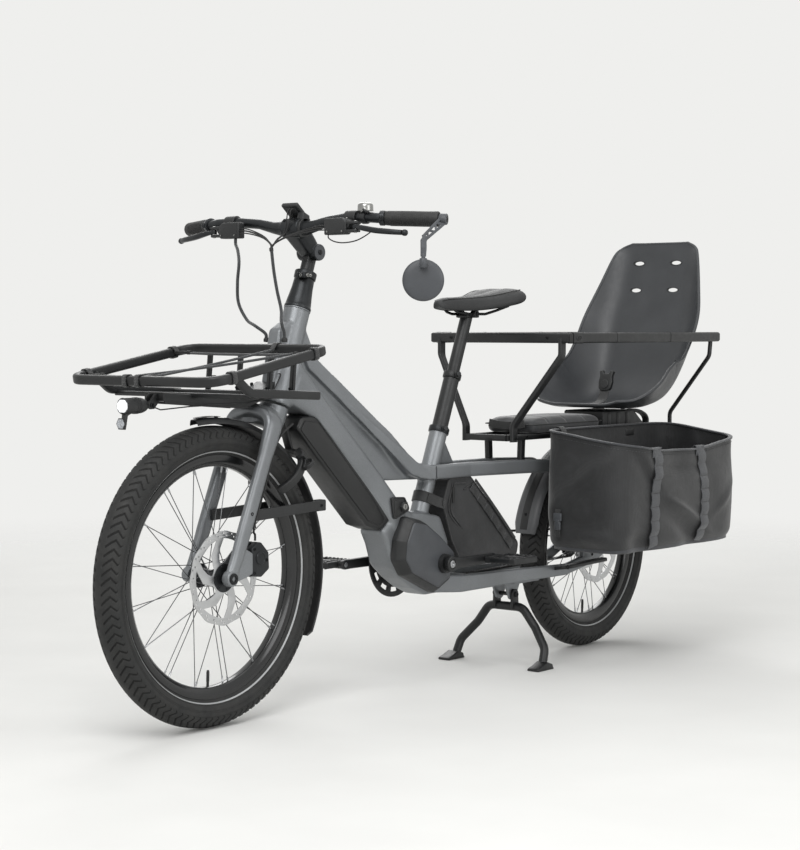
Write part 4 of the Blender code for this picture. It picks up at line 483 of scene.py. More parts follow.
# Yarns over and under each other, at the drawn thread spacing, on all faces of the piece
def wovenMaterial(name, look):
    material = bpy.data.materials.new(name)
    tree = emptyTree(material)
    source = addNode(tree, "ShaderNodeTexCoord").outputs["UV" if look.get("uv") else "Object"]
    place = addNode(tree, "ShaderNodeMapping", {"Rotation": look.get("rotation", (0.0, 0.0, 0.0))},
                    {"Vector": source}).outputs["Vector"]
    weave = None
    for direction in look.get("directions", ("X", "Y", "Z")):
        band = addNode(tree, "ShaderNodeTexWave", {
            "wave_type": "BANDS", "bands_direction": direction, "Scale": math.pi / (look["threadMm"] / 1000) / 20,
            "Distortion": 0.35, "Detail": 1.0, "Detail Scale": 2.0}, {"Vector": place}).outputs["Fac"]
        weave = addNode(tree, "ShaderNodeMath", {"operation": "MULTIPLY"},
                        {0: weave, 1: band}).outputs[0] if weave else band
    tone = ramp(tree, noise(tree, place, 45, 4.0), [(0.35, look["colour"]), (0.68, look["tint"])])
    shade = addNode(tree, "ShaderNodeMapRange", {"From Min": 0.0, "From Max": 0.5, "To Min": 1 - look["fleck"],
                                                 "To Max": 1.0}, {"Value": weave}).outputs["Result"]
    folds = relief(tree, noise(tree, place, 30, 4.0, {"Distortion": 0.6}), 0.5, look["foldMm"])
    surface(tree, {"Roughness": look["roughness"], "Sheen Weight": 0.25, "Sheen Roughness": 0.5},
            {"Base Color": multiplied(tree, tone, shade), "Normal": relief(tree, weave, 0.7, look["depthMm"], folds)})
    return material


def glowMaterial(name, look):  # a lens moulded in facets that glows: lit from behind in the headlight, a painted glow on the reflector
    material = bpy.data.materials.new(name)
    tree = emptyTree(material)
    place = addNode(tree, "ShaderNodeTexCoord").outputs["Object"]
    facets = addNode(tree, "ShaderNodeTexVoronoi", {"Scale": 1000 / look["facetMm"]}, {"Vector": place})
    facets = facets.outputs["Distance"]
    tone = ramp(tree, facets, [(0.1, look["colour"]), (0.8, look["tint"])])
    surface(tree, {"Roughness": look["roughness"], "Emission Strength": look["glow"]},
            {"Base Color": tone, "Emission Color": tone, "Normal": relief(tree, facets, 0.5, look["depthMm"])})
    return material


coatLooks = {
    # Powder-coated aluminium, sprayed satin with metal flake: soft wide highlights and a faint sparkle
    "powderCoatGrey": {"colour": "#808386", "tint": "#8b8e91", "roughness": (0.34, 0.44), "metallic": 0.5,
                       "grainMm": 1.1, "depthMm": 0.06, "fleck": 0.14, "cloudMm": 160},
    # Powder-coated aluminium, sprayed satin black: sheen on the edges, slight orange peel
    "powderCoatBlack": {"colour": "#1c1d1e", "tint": "#242526", "roughness": (0.36, 0.5), "metallic": 0.15,
                        "grainMm": 1.3, "depthMm": 0.07, "fleck": 0.18},
    # Anodised aluminium, machined then dyed black: darker, tighter highlight than paint
    "anodisedBlack": {"colour": "#2b2d2f", "tint": "#353739", "roughness": (0.32, 0.42), "metallic": 0.65,
                      "grainMm": 0.8, "depthMm": 0.03, "fleck": 0.12},
    # Gloss-lacquered rim, extruded aluminium: a thin bright line along each edge
    "rimBlack": {"colour": "#131415", "tint": "#191a1b", "roughness": (0.16, 0.26), "metallic": 0.3,
                 "grainMm": 2.5, "depthMm": 0.02, "fleck": 0.06,
                 "shader": {"Coat Weight": 0.4, "Coat Roughness": 0.12}},
    # Vulcanised rubber, moulded tyre: dull, dusty on the wearing faces
    "tyreRubber": {"colour": "#1f2020", "tint": "#2b2b2a", "roughness": (0.62, 0.8), "grainMm": 1.6, "depthMm": 0.16,
                   "fleck": 0.22, "cloudMm": 45},
    # Rubber at the foot of the tread grooves, coloured nearly black: painted shade for the deep grooves
    "grooveShadeRubber": {"colour": "#0b0b0b", "tint": "#121211", "roughness": (0.8, 0.92), "grainMm": 1.2,
                     "depthMm": 0.06, "fleck": 0.1},
    # Soft rubber, moulded grip and pad: matt with a fine stipple
    "softRubber": {"colour": "#191a1a", "tint": "#222222", "roughness": (0.55, 0.7), "grainMm": 1.0, "depthMm": 0.12,
                   "fleck": 0.2},
    # Glass-filled nylon, moulded with a spark-eroded grain: grey-black and evenly matt
    "mouldedNylon": {"colour": "#1d1e1f", "tint": "#262728", "roughness": (0.44, 0.58), "grainMm": 0.9,
                     "depthMm": 0.1, "fleck": 0.2},
    # Polypropylene, moulded fine-grained seat shell: a broad soft sheen
    "seatShell": {"colour": "#37393c", "tint": "#404245", "roughness": (0.36, 0.48), "grainMm": 0.8, "depthMm": 0.07,
                  "fleck": 0.14, "cloudMm": 90},
    # Polypropylene, painted mudguard: flat mid-grey next to the darker band glued along it
    "mudguardGrey": {"colour": "#5c5d5f", "tint": "#646567", "roughness": (0.42, 0.54), "grainMm": 0.9,
                     "depthMm": 0.05, "fleck": 0.12},
    # Polyamide, moulded and painted motor face, mirror back and buckle: a mid-grey satin lighter than its edges
    "shellNylon": {"colour": "#44464a", "tint": "#4c4f53", "roughness": (0.38, 0.5), "grainMm": 0.8, "depthMm": 0.05,
                   "fleck": 0.12},
    # Polycarbonate-ABS, moulded satin battery case: the blackest face, with one soft streak
    "batteryGloss": {"colour": "#0f1011", "tint": "#141516", "roughness": (0.36, 0.46), "grainMm": 2.2,
                     "depthMm": 0.02, "fleck": 0.05},
    # Stainless steel, stamped and ground rotor: bright with a soft circular haze
    "rotorSteel": {"colour": "#bfc0c1", "tint": "#c9cacb", "roughness": (0.3, 0.36), "metallic": 1.0, "grainMm": 0.9,
                   "depthMm": 0.008, "fleck": 0.05, "cloudMm": 40},
    # Stainless steel, drawn spokes and turned bolts: bright small parts
    "drawnSteel": {"colour": "#a7a8aa", "tint": "#b8b9bb", "roughness": (0.22, 0.34), "metallic": 1.0, "grainMm": 0.6,
                   "depthMm": 0.015, "fleck": 0.1},
    # Stainless steel spokes, drawn and blackened: thin grey lines with a bright side
    "spokeSteel": {"colour": "#5b5c5e", "tint": "#6c6d6f", "roughness": (0.24, 0.34), "metallic": 0.9, "grainMm": 0.7,
                   "depthMm": 0.01, "fleck": 0.08},
    # Black-oxide steel, chemically blackened screws: dark with a bright edge
    "blackOxide": {"colour": "#2a2b2c", "tint": "#353637", "roughness": (0.3, 0.42), "metallic": 0.85,
                   "grainMm": 0.6, "depthMm": 0.02, "fleck": 0.15},
    # Brass bell, nickel plated and polished: mirror grey
    "nickelPlate": {"colour": "#8e8e8c", "tint": "#9b9b99", "roughness": (0.18, 0.28), "metallic": 1.0,
                    "grainMm": 1.5, "depthMm": 0.01, "fleck": 0.05},
    # Carbon-fibre toothed belt, moulded polyurethane: matt black ribs
    "beltPolymer": {"colour": "#181818", "tint": "#202020", "roughness": (0.48, 0.62), "grainMm": 1.2,
                    "depthMm": 0.12, "fleck": 0.22},
    # Retroreflective film, bonded glass beads: pale silver ring on the sidewall
    "reflectiveFilm": {"colour": "#a8aaab", "tint": "#b8babb", "roughness": (0.3, 0.42), "metallic": 0.2,
                       "grainMm": 0.7, "depthMm": 0.02, "fleck": 0.1},
    # Polyester sewing thread, twisted: pale short dashes
    "threadGrey": {"colour": "#4a4b4d", "tint": "#58595b", "roughness": (0.6, 0.72), "grainMm": 0.8, "depthMm": 0.1,
                   "fleck": 0.2},
    # Vinyl saddle cover, embossed grain over foam: a leather-like broken sheen
    "saddleCover": {"colour": "#232425", "tint": "#2b2c2d", "roughness": (0.52, 0.66), "grainMm": 1.8,
                    "depthMm": 0.22, "fleck": 0.24},
}
wovenLooks = {
    # Coated polyester canvas, plain woven: a dull sheen over soft creases, threads drawn at 1.6 mm to show
    "bagCanvas": {"colour": "#1a1b1d", "tint": "#242527", "roughness": 0.62, "threadMm": 1.6, "depthMm": 0.35,
                  "fleck": 0.35, "foldMm": 2.2},
    # Vinyl-coated foam pad cover, embossed: close weave with softer folds, threads drawn at 1.8 mm to show
    "cushionCover": {"colour": "#242528", "tint": "#2e3033", "roughness": 0.52, "threadMm": 1.8, "depthMm": 0.28,
                     "fleck": 0.28, "foldMm": 1.2},
    # Nylon webbing, woven flat: cross ribs at 1.5 mm and a slight shine
    "nylonWebbing": {"colour": "#191a1b", "tint": "#232425", "roughness": 0.5, "threadMm": 1.5, "depthMm": 0.4,
                     "fleck": 0.45, "uv": True, "directions": ("X", "Y"), "foldMm": 0.3},
    # Nylon webbing, woven in a dyed grey: hems and ladders stand out from the canvas
    "webbingGrey": {"colour": "#33353a", "tint": "#44474c", "roughness": 0.46, "threadMm": 1.5, "depthMm": 0.4,
                    "fleck": 0.45, "uv": True, "directions": ("X", "Y"), "foldMm": 0.3},
    # Braided polyester sleeve over the hoses: crossed plaits drawn at 2.4 mm to show
    "braidedSleeve": {"colour": "#242628", "tint": "#4b4e51", "roughness": 0.48, "threadMm": 2.4, "depthMm": 0.6,
                      "fleck": 0.5, "uv": True, "directions": ("X", "Y"), "rotation": (0.0, 0.0, math.radians(45)),
                      "foldMm": 0.2},
}
glowLooks = {
    # Polycarbonate headlight lens, moulded in facets: white and softly lit
    "lampLens": {"colour": "#ffffff", "tint": "#d7dade", "facetMm": 4.0, "depthMm": 0.4, "roughness": 0.12,
                 "glow": 0.65},
    # Acrylic reflector, moulded in small prisms: pale grey with a faint painted glow, though no lamp lights it
    "reflectorGlowLens": {"colour": "#c9ccd0", "tint": "#8f9398", "facetMm": 3.0, "depthMm": 0.5, "roughness": 0.1,
                      "glow": 0.05},
}
families = ((coatLooks, coatMaterial), (wovenLooks, wovenMaterial), (glowLooks, glowMaterial))
materials = {name: make(name, look) for looks, make in families for name, look in looks.items()}
print("finishes made:", len(materials))


# Studio: pale floor that fades into a pale surround, soft lamps
stageLook = {"floor": "#e4e4e2", "mottle": "#e8e8e6", "surround": "#efefed", "fadeFrom": 1.5, "fadeTo": 4.6,
             "worldLight": 0.58, "lamps": [  # name, place, watts, size
                 ("KeyLamp", (2.6, 1.2, 3.0), 66, 2.4), ("FillLamp", (0.6, 4.2, 1.9), 46, 2.6),
                 ("RimLamp", (-2.6, -2.6, 2.9), 52, 2.6), ("TopLamp", (-0.2, 0.2, 3.4), 24, 2.8)]}


def makeStage():
    material = bpy.data.materials.new("paintedFloor")  # matt emulsion on board, rolled: barely mottled
    tree = emptyTree(material)
    place = addNode(tree, "ShaderNodeTexCoord").outputs["Object"]
    tone = ramp(tree, noise(tree, place, 1000 / 3.0, 3.0), [(0.3, stageLook["floor"]), (0.7, stageLook["mottle"])])
    paint = addNode(tree, "ShaderNodeBsdfPrincipled", {"Roughness": 0.75, "Specular IOR Level": 0.2},
                    {"Base Color": tone})
    reach = addNode(tree, "ShaderNodeVectorMath", {"operation": "LENGTH"}, {0: place})
    fade = addNode(tree, "ShaderNodeMapRange", {"interpolation_type": "SMOOTHSTEP", "From Min": stageLook["fadeFrom"],
                                                "From Max": stageLook["fadeTo"]}, {"Value": reach.outputs["Value"]})
    clear = addNode(tree, "ShaderNodeBsdfTransparent")
    mix = addNode(tree, "ShaderNodeMixShader", {}, {0: fade.outputs["Result"], 1: paint.outputs["BSDF"],
                                                    2: clear.outputs["BSDF"]})
    addNode(tree, "ShaderNodeOutputMaterial", {}, {"Surface": mix.outputs["Shader"]})
    disc = makeObject("Floor", lathe([(0.0, 0.0), (1.0, 0.0), (6.0, 0.0)], (0, 0, cadBox[0][2] - 0.0002), (0, 0, -1),
                                     96))
    disc.data.materials.append(material)
    world = bpy.data.worlds.new("Studio")
    bpy.context.scene.world = world
    tree = emptyTree(world)
    path = addNode(tree, "ShaderNodeLightPath")
    seen = path.outputs["Is Camera Ray"]
    for ray in ("Is Transmission Ray", "Is Glossy Ray"):
        seen = addNode(tree, "ShaderNodeMath", {"operation": "MAXIMUM"}, {0: seen, 1: path.outputs[ray]}).outputs[0]
    power = addNode(tree, "ShaderNodeMapRange", {"To Min": stageLook["worldLight"], "To Max": 1.0}, {"Value": seen})
    back = addNode(tree, "ShaderNodeBackground", {"Color": linear(stageLook["surround"])},
                   {"Strength": power.outputs["Result"]})
    addNode(tree, "ShaderNodeOutputWorld", {}, {"Surface": back.outputs["Background"]})
    for name, place, watts, size in stageLook["lamps"]:
        lampData = bpy.data.lights.new(name, "AREA")
        lampData.shape, lampData.size, lampData.energy = "DISK", size, watts
        lamp = bpy.data.objects.new(name, lampData)
        bpy.context.scene.collection.objects.link(lamp)
        lamp.location = place
        lamp.rotation_euler = (Vector((0.0, 0.0, 0.5)) - Vector(place)).to_track_quat("-Z", "Y").to_euler()


makeStage()
print("stage set")

# The headlight's lead keeps its CAD shape; every other node is replaced below
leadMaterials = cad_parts["light_lead"].data.materials
leadMaterials.clear()
leadMaterials.append(materials["softRubber"])


# Wheels: tread blocks, rims, laced spokes, hubs, stamped rotors
wheelLook = {"tyreWidth": 0.068, "tyreHeight": 0.066, "rimWidth": 0.035, "rimDepth": 0.022, "spokes": 32,
             "spokeRadius": 0.001, "flangeRadius": 0.0265, "flangeSpread": 0.03, "pitch": 0.02, "grooveWide": 0.0024,
             "grooveDeep": 0.0018, "rotorRadius": 0.1015, "rotorThick": 0.002, "rotorPlane": 0.041, "rotorWaves": 12}


def tyreSkin(outer, across, lift=0.0):  # radius and side of the skin at an angle across the tread
    turn = math.radians(across)
    half = wheelLook["tyreWidth"] / 2 - 0.0012
    return outer - 0.0012 - half * 0.97 + (half * 0.97 + lift) * math.cos(turn), (half + lift) * math.sin(turn)


def treadDepth(share, across):  # V-shaped grooves, apex near the shoulder, and a small knob beyond them
    look, deep = wheelLook, 0.0
    for begin, end, lean, wide in ((13.0, 50.0, 0.92, 1.0), (50.0, 73.0, 0.62, 0.85), (73.0, 80.0, -0.5, 0.6)):
        if begin <= across <= end:
            if begin < 70:
                middle = -lean * abs(across - 50.0) / (37.0 if begin < 50 else 23.0)
            else:
                middle = -0.62 + 0.3 * (across - 73) / 7
            away = abs((share - middle + 0.5) % 1.0 - 0.5) * look["pitch"] * 0.72
            ends = (across - begin) / 3.0 if begin < 20 else (end - across) / 2.0 if end > 70 else 1.0
            deep = max(deep, clamp((look["grooveWide"] * wide - away) / 0.0007) * min(ends, 1.0))
    return deep


def makeTread(prefix, axle, outer, body):
    look, steps = wheelLook, 18
    count = round(math.tau * outer / look["pitch"])
    angles = [a * 2.1 for a in range(-38, 39)]
    points, faces, grooveShadeFaces = [], [], []  # marks the faces at the foot of the grooves, which are painted near-black as shade
    skins = [tyreSkin(outer, a, 0.0004) for a in angles]
    depths = [[[treadDepth((s / steps + shift) % 1.0, abs(a)) for a in angles] for s in range(steps)]
              for shift in (0.0, 0.5)]  # right flank, left flank half a block on
    for row in range(count * steps):
        turn = math.tau * row / (count * steps)
        c, s = math.cos(turn), math.sin(turn)
        low, high = depths[0][row % steps], depths[1][row % steps]
        for index, angle in enumerate(angles):
            deep = (high if angle > 0 else low)[index] * look["grooveDeep"]
            reach, aside = skins[index]
            radius = reach - deep * math.cos(math.radians(angle))
            points.append(axle + Vector((radius * c, aside - deep * math.sin(math.radians(angle)), radius * s)))
    wide = len(angles)
    for row in range(count * steps):
        after = (row + 1) % (count * steps)
        for index in range(wide - 1):
            faces.append((row * wide + index, row * wide + index + 1, after * wide + index + 1, after * wide + index))
            flank = depths[1] if angles[index] > 0 else depths[0]
            here, beyond = flank[row % steps], flank[(row + 1) % steps]
            grooveShadeFaces.append(here[index] + here[index + 1] + beyond[index] + beyond[index + 1] > 2.2)
    item = makeObject(prefix + "TyreTread", (points, faces, []))
    dress(item, "tyreRubber", body, sharp=None, extra=["grooveShadeRubber"])
    # The faces at the foot of the grooves take the near-black rubber: painted shade in the grooves
    item.data.polygons.foreach_set("material_index", [int(flag) for flag in grooveShadeFaces])


def flatPlate(outlines, thick, bevel=0.0002):  # outlines with holes, filled, in the plane U V, centred on W
    curve = bpy.data.curves.new("plate", "CURVE")
    curve.dimensions, curve.fill_mode = "2D", "BOTH"
    curve.extrude, curve.bevel_depth, curve.bevel_resolution = thick / 2 - bevel, bevel, 1
    curve.offset = -bevel
    for outline in outlines:
        line = curve.splines.new("POLY")
        line.points.add(len(outline) - 1)
        line.use_cyclic_u = True
        for point, (u, v) in zip(line.points, outline):
            point.co = (u, v, 0.0, 1.0)
    item = bpy.data.objects.new("plate", curve)
    bpy.context.scene.collection.objects.link(item)
    mesh = bpy.data.meshes.new_from_object(item.evaluated_get(bpy.context.evaluated_depsgraph_get()))
    points = [vert.co.copy() for vert in mesh.vertices]
    faces = [list(face.vertices) for face in mesh.polygons]
    bpy.data.objects.remove(item, do_unlink=True)
    bpy.data.curves.remove(curve)
    bpy.data.meshes.remove(mesh)
    return points, faces, [(0.0, 0.0)] * sum(len(face) for face in faces)


def ringOutline(radius, steps, middle=(0.0, 0.0), wave=0.0, waves=0):
    reach = [radius + wave * math.cos(waves * (math.tau * step / steps)) for step in range(steps)]
    return [(middle[0] + here * c, middle[1] + here * s) for here, (c, s) in zip(reach, turns(steps))]


def sidePlane(centre):  # a plate drawn in U V stands in the wheel's plane
    return Matrix.Translation(centre) @ Matrix(((1, 0, 0, 0), (0, 0, 1, 0), (0, 1, 0, 0), (0, 0, 0, 1)))


def rotorPlate(centre):
    radius = wheelLook["rotorRadius"]
    waves = wheelLook["rotorWaves"]
    outlines = [ringOutline(radius - 0.0012, 240, wave=0.0012, waves=waves)]
    for number in range(waves * 2):
        base = math.tau * number / (waves * 2)
        for radiusHere, aside, size in ((radius - 0.0055, 0.0, 0.002), (radius - 0.0105, 0.085, 0.002)):
            turn = base + aside
            outlines.append(ringOutline(size, 10, (radiusHere * math.cos(turn), radiusHere * math.sin(turn))))
    for number in range(6):  # windows between swept arms
        start, window = math.tau * number / 6, []
        for turn, here in [(0.1 + 0.8 * s / 8, radius - 0.0165 - 0.0015 * math.sin(math.pi * s / 8))
                           for s in range(9)]:
            window.append((here * math.cos(start + turn + 0.42), here * math.sin(start + turn + 0.42)))
        for here, turn in ((0.062, 0.92), (0.044, 0.74), (0.036, 0.62), (0.0335, 0.46), (0.034, 0.22), (0.04, 0.16),
                           (0.052, 0.24), (0.066, 0.34)):
            window.append((here * math.cos(start + turn + 0.02), here * math.sin(start + turn + 0.02)))
        outlines.append(window)
    outlines.append(ringOutline(0.0225, 48))
    return moved(flatPlate(outlines, wheelLook["rotorThick"]), sidePlane(centre + leftward * wheelLook["rotorPlane"]))


def spokeLacing(axle, rimInner):
    perSet = wheelLook["spokes"] // 4
    spokes, nipples = [], []
    for side in (1, -1):
        for lean in (1, -1):
            for number in range(perSet):
                start = math.tau * number / perSet + (math.tau / (2 * perSet) if side > 0 else 0.0)
                end = start + lean * math.tau * 0.19 + math.tau * 0.25 / perSet * lean
                hubSide = side * (wheelLook["flangeSpread"] + lean * 0.0017)
                reach = wheelLook["flangeRadius"] - 0.0035
                inner = axle + Vector((math.cos(start) * reach, hubSide, math.sin(start) * reach))
                tip = axle + Vector((math.cos(end) * rimInner, side * 0.004, math.sin(end) * rimInner))
                along = (tip - inner).normalized()
                spokes.append(lathe([(0.0, 0.0), (wheelLook["spokeRadius"] * 1.15, 0.0005),
                                     (wheelLook["spokeRadius"], 0.02),
                                     (wheelLook["spokeRadius"], (tip - inner).length)], inner, tip - inner, 6))
                spokes.append(lathe([(0.0, -0.0014), (0.0021, -0.0009), (0.0021, 0.0012), (0.0, 0.0014)],
                                    inner + leftward * side * lean * 0.0008, leftward, 8))
                nipples.append(lathe([(0.0012, -0.013), (0.0019, -0.012), (0.002, -0.002), (0.0028, 0.0),
                                      (0.0, 0.002)], tip, along, 8))
    return merged(*spokes), merged(*nipples)


def makeWheel(prefix, axle, outer, axleHalf, extra=()):
    look = wheelLook
    body = prefix + "_wheel"
    beadRadius = outer - look["tyreHeight"] + 0.0005
    profile = [(beadRadius, -look["rimWidth"] / 2 + 0.003), (beadRadius + 0.003, -look["rimWidth"] / 2 + 0.0015)]
    profile += [tyreSkin(outer, across, -0.0026 if abs(across) < 76 else 0.0) for across in range(-140, 141, 5)]
    profile += [(radius, -along) for radius, along in reversed(profile[:2])]
    ribs = []  # thin moulded lines on the sidewalls
    for side in (1, -1):
        for across in (98, 104, 126):
            radius, aside = tyreSkin(outer, across, 0.0003)
            ribs.append(lathe([(radius - 0.0006, aside * side), (radius, (aside + 0.0004) * side),
                               (radius + 0.0006, aside * side)], axle, leftward, 96))
    carcass = lathe(profile, axle, leftward, 128)
    piece(prefix + "TyreWalls", [carcass, *ribs], "tyreRubber", body, prefix + "_tyre", sharp=38.0)
    makeTread(prefix, axle, outer, body)
    rings = []
    for side in (1, -1):
        low, high = tyreSkin(outer, 131.0, 0.0004), tyreSkin(outer, 137.5, 0.0004)
        rings.append(lathe([(high[0], high[1] * side), (low[0], low[1] * side)], axle, leftward, 128))
    piece(prefix + "TyreStripe", rings, "reflectiveFilm", body)
    rimOuter = outer - look["tyreHeight"] + 0.0035
    rimInner = rimOuter - 0.0035 - look["rimDepth"]
    wide = look["rimWidth"] / 2
    rimProfile = [(rimOuter - 0.006, -wide + 0.003), (rimOuter - 0.0004, -wide + 0.0026), (rimOuter, -wide + 0.0016),
                  (rimOuter - 0.0006, -wide + 0.0004), (rimOuter - 0.003, -wide), (rimOuter - 0.012, -wide + 0.0004),
                  (rimOuter - 0.016, -wide + 0.002), (rimOuter - 0.022, -wide + 0.0065), (rimInner + 0.0008, -0.0085),
                  (rimInner, -0.006), (rimInner - 0.0002, 0.0)]
    rimProfile += [(radius, -along) for radius, along in reversed(rimProfile[:-1])]
    rimProfile.append((rimOuter - 0.01, 0.0))
    piece(prefix + "RimExtrusion", lathe(rimProfile, axle, leftward, 160, closed=True), "rimBlack", body,
          prefix + "_wheel", sharp=40.0)
    spokes, nipples = spokeLacing(axle, rimInner + 0.001)
    piece(prefix + "SpokeLacing", spokes, "spokeSteel", body)
    piece(prefix + "SpokeNipples", nipples, "drawnSteel", body)
    flange = look["flangeSpread"]
    hubProfile = [(0.0068, -axleHalf), (0.0105, -axleHalf + 0.0004), (0.0112, -axleHalf + 0.002),
                  (0.0112, -flange - 0.006), (0.018, -flange - 0.0045), (0.019, -flange - 0.0022),
                  (look["flangeRadius"] - 0.0006, -flange - 0.002), (look["flangeRadius"], -flange - 0.0012),
                  (look["flangeRadius"], -flange + 0.0012), (look["flangeRadius"] - 0.0006, -flange + 0.002),
                  (0.0205, -flange + 0.003), (0.0165, -flange + 0.008), (0.015, -flange + 0.018)]
    hubProfile += [(radius, -along) for radius, along in reversed(hubProfile[4:])]
    hubProfile += [(0.0215, flange + 0.005), (0.0215, look["rotorPlane"] - 0.0012),
                   (0.015, look["rotorPlane"] - 0.001), (0.015, look["rotorPlane"] + 0.0035),
                   (0.0108, look["rotorPlane"] + 0.0042), (0.0108, axleHalf - 0.001), (0.0068, axleHalf)]
    piece(prefix + "HubShell", [lathe(hubProfile, axle, leftward, 48), *extra], "anodisedBlack", body)
    piece(prefix + "RotorDisc", rotorPlate(axle), "rotorSteel", body, prefix + "_rotor")
    carrier = [lathe([(0.0108, 0.0), (0.03, 0.0), (0.0306, 0.0006), (0.03, 0.0012), (0.0108, 0.0014)],
                     axle + leftward * (look["rotorPlane"] + 0.001), leftward, 48)]
    carrier += [screw(polar(axle, 0.0255, number * 60 + 12) + leftward * (look["rotorPlane"] + 0.002), leftward,
                      0.0032, 0.0016) for number in range(6)]
    piece(prefix + "RotorCarrier", carrier, "anodisedBlack", body)
    stemFoot = polar(axle, rimInner - 0.001, -88)
    inward = (axle - stemFoot).normalized()
    valve = lathe([(0.003, -0.002), (0.003, 0.01), (0.0034, 0.0102), (0.0034, 0.03), (0.003, 0.031),
                   (0.0026, 0.034), (0.0, 0.0345)], stemFoot, inward, 16)
    piece(prefix + "ValveStem", valve, "softRubber", body)


cogTeeth = []
for number in range(22):
    tooth = polar(rearAxle, 0.0335, number * 360 / 22) - leftward * 0.05
    cogTeeth.append(lathe([(0.0, -0.0046), (0.0024, -0.0046), (0.0024, 0.0046), (0.0, 0.0046)], tooth, leftward, 8))
cogTeeth.append(lathe([(0.0112, -0.005), (0.0325, -0.005), (0.0325, -0.0036), (0.02, -0.003), (0.02, 0.003),
                       (0.0325, 0.0036), (0.0325, 0.005), (0.0112, 0.005)], rearAxle - leftward * 0.05, leftward, 44))
makeWheel("front", frontAxle, 0.3235, 0.0494)
makeWheel("rear", rearAxle, 0.2735, 0.0594, cogTeeth)
print("wheels built")


# Fork: crown, race and legs melted into one skin, with bosses and the axle bolt
forkLook = {"legSide": 0.06, "legDeep": 0.0365, "legWide": 0.0205, "stayHeight": 0.449, "voxel": 0.0016,
            "rounds": 5}


def forkLegX(height):
    top, knee = headX(0.62) + 0.053, frontAxleHeight + 0.0375
    return -0.019 + (height - knee) / (0.62 - knee) * (top + 0.019)


def ellipse(wide, tall, power=0.8, steps=28):
    return [(wide / 2 * bulged(c, power), tall / 2 * bulged(s, power)) for c, s in turns(steps)]


def makeFork():
    side = forkLook["legSide"]
    half = [(forkLegX(0.352), side, 0.352), (forkLegX(0.57), side, 0.57),
            (forkLegX(0.65), side - 0.001, 0.652), (headLocal(0.058, -0.034).x, 0.0, headLocal(0.058, -0.034).z)]
    path = filleted(half + [mirrored(point, -1) for point in reversed(half[:-1])], 0.05, 10)
    fine = []
    for first, second in zip(path, path[1:]):
        steps = max(1, round((second - first).length / 0.012))
        fine += [first.lerp(second, step / steps) for step in range(steps)]
    fine.append(path[-1])
    scales = []
    for point in fine:
        rise = clamp((point.z - 0.565) / 0.085)
        low = clamp((point.z - 0.35) / 0.06)
        scales.append((0.86 + 0.14 * low + 0.36 * rise, 0.92 + 0.08 * low + 0.4 * rise))
    legs = sweep(fine, ellipse(forkLook["legDeep"], forkLook["legWide"]), headAhead, scales)
    middle = sweep([headLocal(0.0, -0.034), headLocal(0.03, -0.036), headLocal(0.066, -0.04)],
                   ellipse(0.064, 0.05), leftward, [(1.0, 0.95), (1.0, 0.95), (0.94, 0.9)])
    race = lathe([(0.0, -0.052), (0.028, -0.05), (0.0315, -0.034), (0.0325, -0.004), (0.0, -0.004)],
                 headPoint(0.676), headUp, 40)
    shapes = [legs, middle, race]
    for aside in (1, -1):
        shapes.append(sweep([(0.0, side * aside, frontAxleHeight), (-0.012, side * aside, 0.34),
                             (forkLegX(0.372), side * aside, 0.372)], ellipse(0.03, 0.019), forward,
                            [(1.0, 1.0), (1.0, 1.0), (1.05, 1.0)]))
        shapes.append(lathe([(0.0, -0.0098), (0.0158, -0.0098), (0.0168, -0.0085), (0.0168, 0.0085), (0.0158, 0.0098),
                             (0.0, 0.0098)], (0.0, side * aside, frontAxleHeight), leftward, 40))
    shapes.append(slab([(-0.014, 0.306), (-0.05, 0.314), (-0.0665, 0.32), (-0.0665, 0.364), (-0.036, 0.38)],
                       side - 0.0095, side + 0.0045, "XZ", 0.002))  # boss that carries the caliper
    drum = lathe([(0.0, -0.043), (0.3402, -0.043), (0.3402, 0.043), (0.0, 0.043)], frontAxle, leftward, 160)
    skin = melted("ForkSkin", merged(*shapes), forkLook["voxel"], forkLook["rounds"], drum)
    dress(skin, "powderCoatGrey", "steering", "fork", sharp=60.0)
    bolts = [lathe([(0.0, 0.0), (0.0118, 0.0), (0.0122, 0.001), (0.0118, 0.0026), (0.01, 0.0032), (0.0078, 0.0032)],
                   (0.0, side + 0.0097, frontAxleHeight), leftward, 32),
             lathe([(0.008, 0.0032), (0.0062, 0.0026), (0.006, -0.001), (0.0, -0.0015)],
                   (0.0, side + 0.0097, frontAxleHeight), leftward, 6),
             screw((0.0, -side - 0.0097, frontAxleHeight), -leftward, 0.01, 0.003)]
    height = forkLook["stayHeight"]
    bolts += [screw((forkLegX(height) + 0.001, hand * (side + 0.0085), height), leftward * hand, 0.0042, 0.0026)
              for hand in (1, -1)]
    piece("ForkBolts", bolts, "blackOxide", "steering")


makeFork()
print("fork built")

# Soft goods: cushion, saddle, bags
cushionLook = {"front": -1.08, "rear": -1.41, "half": 0.085, "low": 0.5785, "high": 0.62, "corner": 0.25,
               "pressure": 4.0, "cap": 0.007, "voxel": 0.005, "frames": 20}


def inflate(item, pressure, cap, voxel, frames):  # a light Cloth run, its result kept in the mesh
    remesh = item.modifiers.new("Remesh", "REMESH")
    remesh.mode, remesh.voxel_size = "VOXEL", voxel
    settle(item)
    rest = [vert.co.copy() for vert in item.data.vertices]
    cloth = item.modifiers.new("Cloth", "CLOTH")
    cloth.settings.use_pressure = True
    cloth.settings.uniform_pressure_force = pressure
    cloth.settings.effector_weights.gravity = 0.0
    cloth.settings.quality = 5
    scene = bpy.context.scene
    cloth.point_cache.frame_start, cloth.point_cache.frame_end = 1, frames
    for step in range(1, frames + 1):
        scene.frame_set(step)
    settle(item)
    scene.frame_set(1)
    for vert, start in zip(item.data.vertices, rest):
        shift = vert.co - start
        if shift.length > cap:
            vert.co = start + shift.normalized() * cap


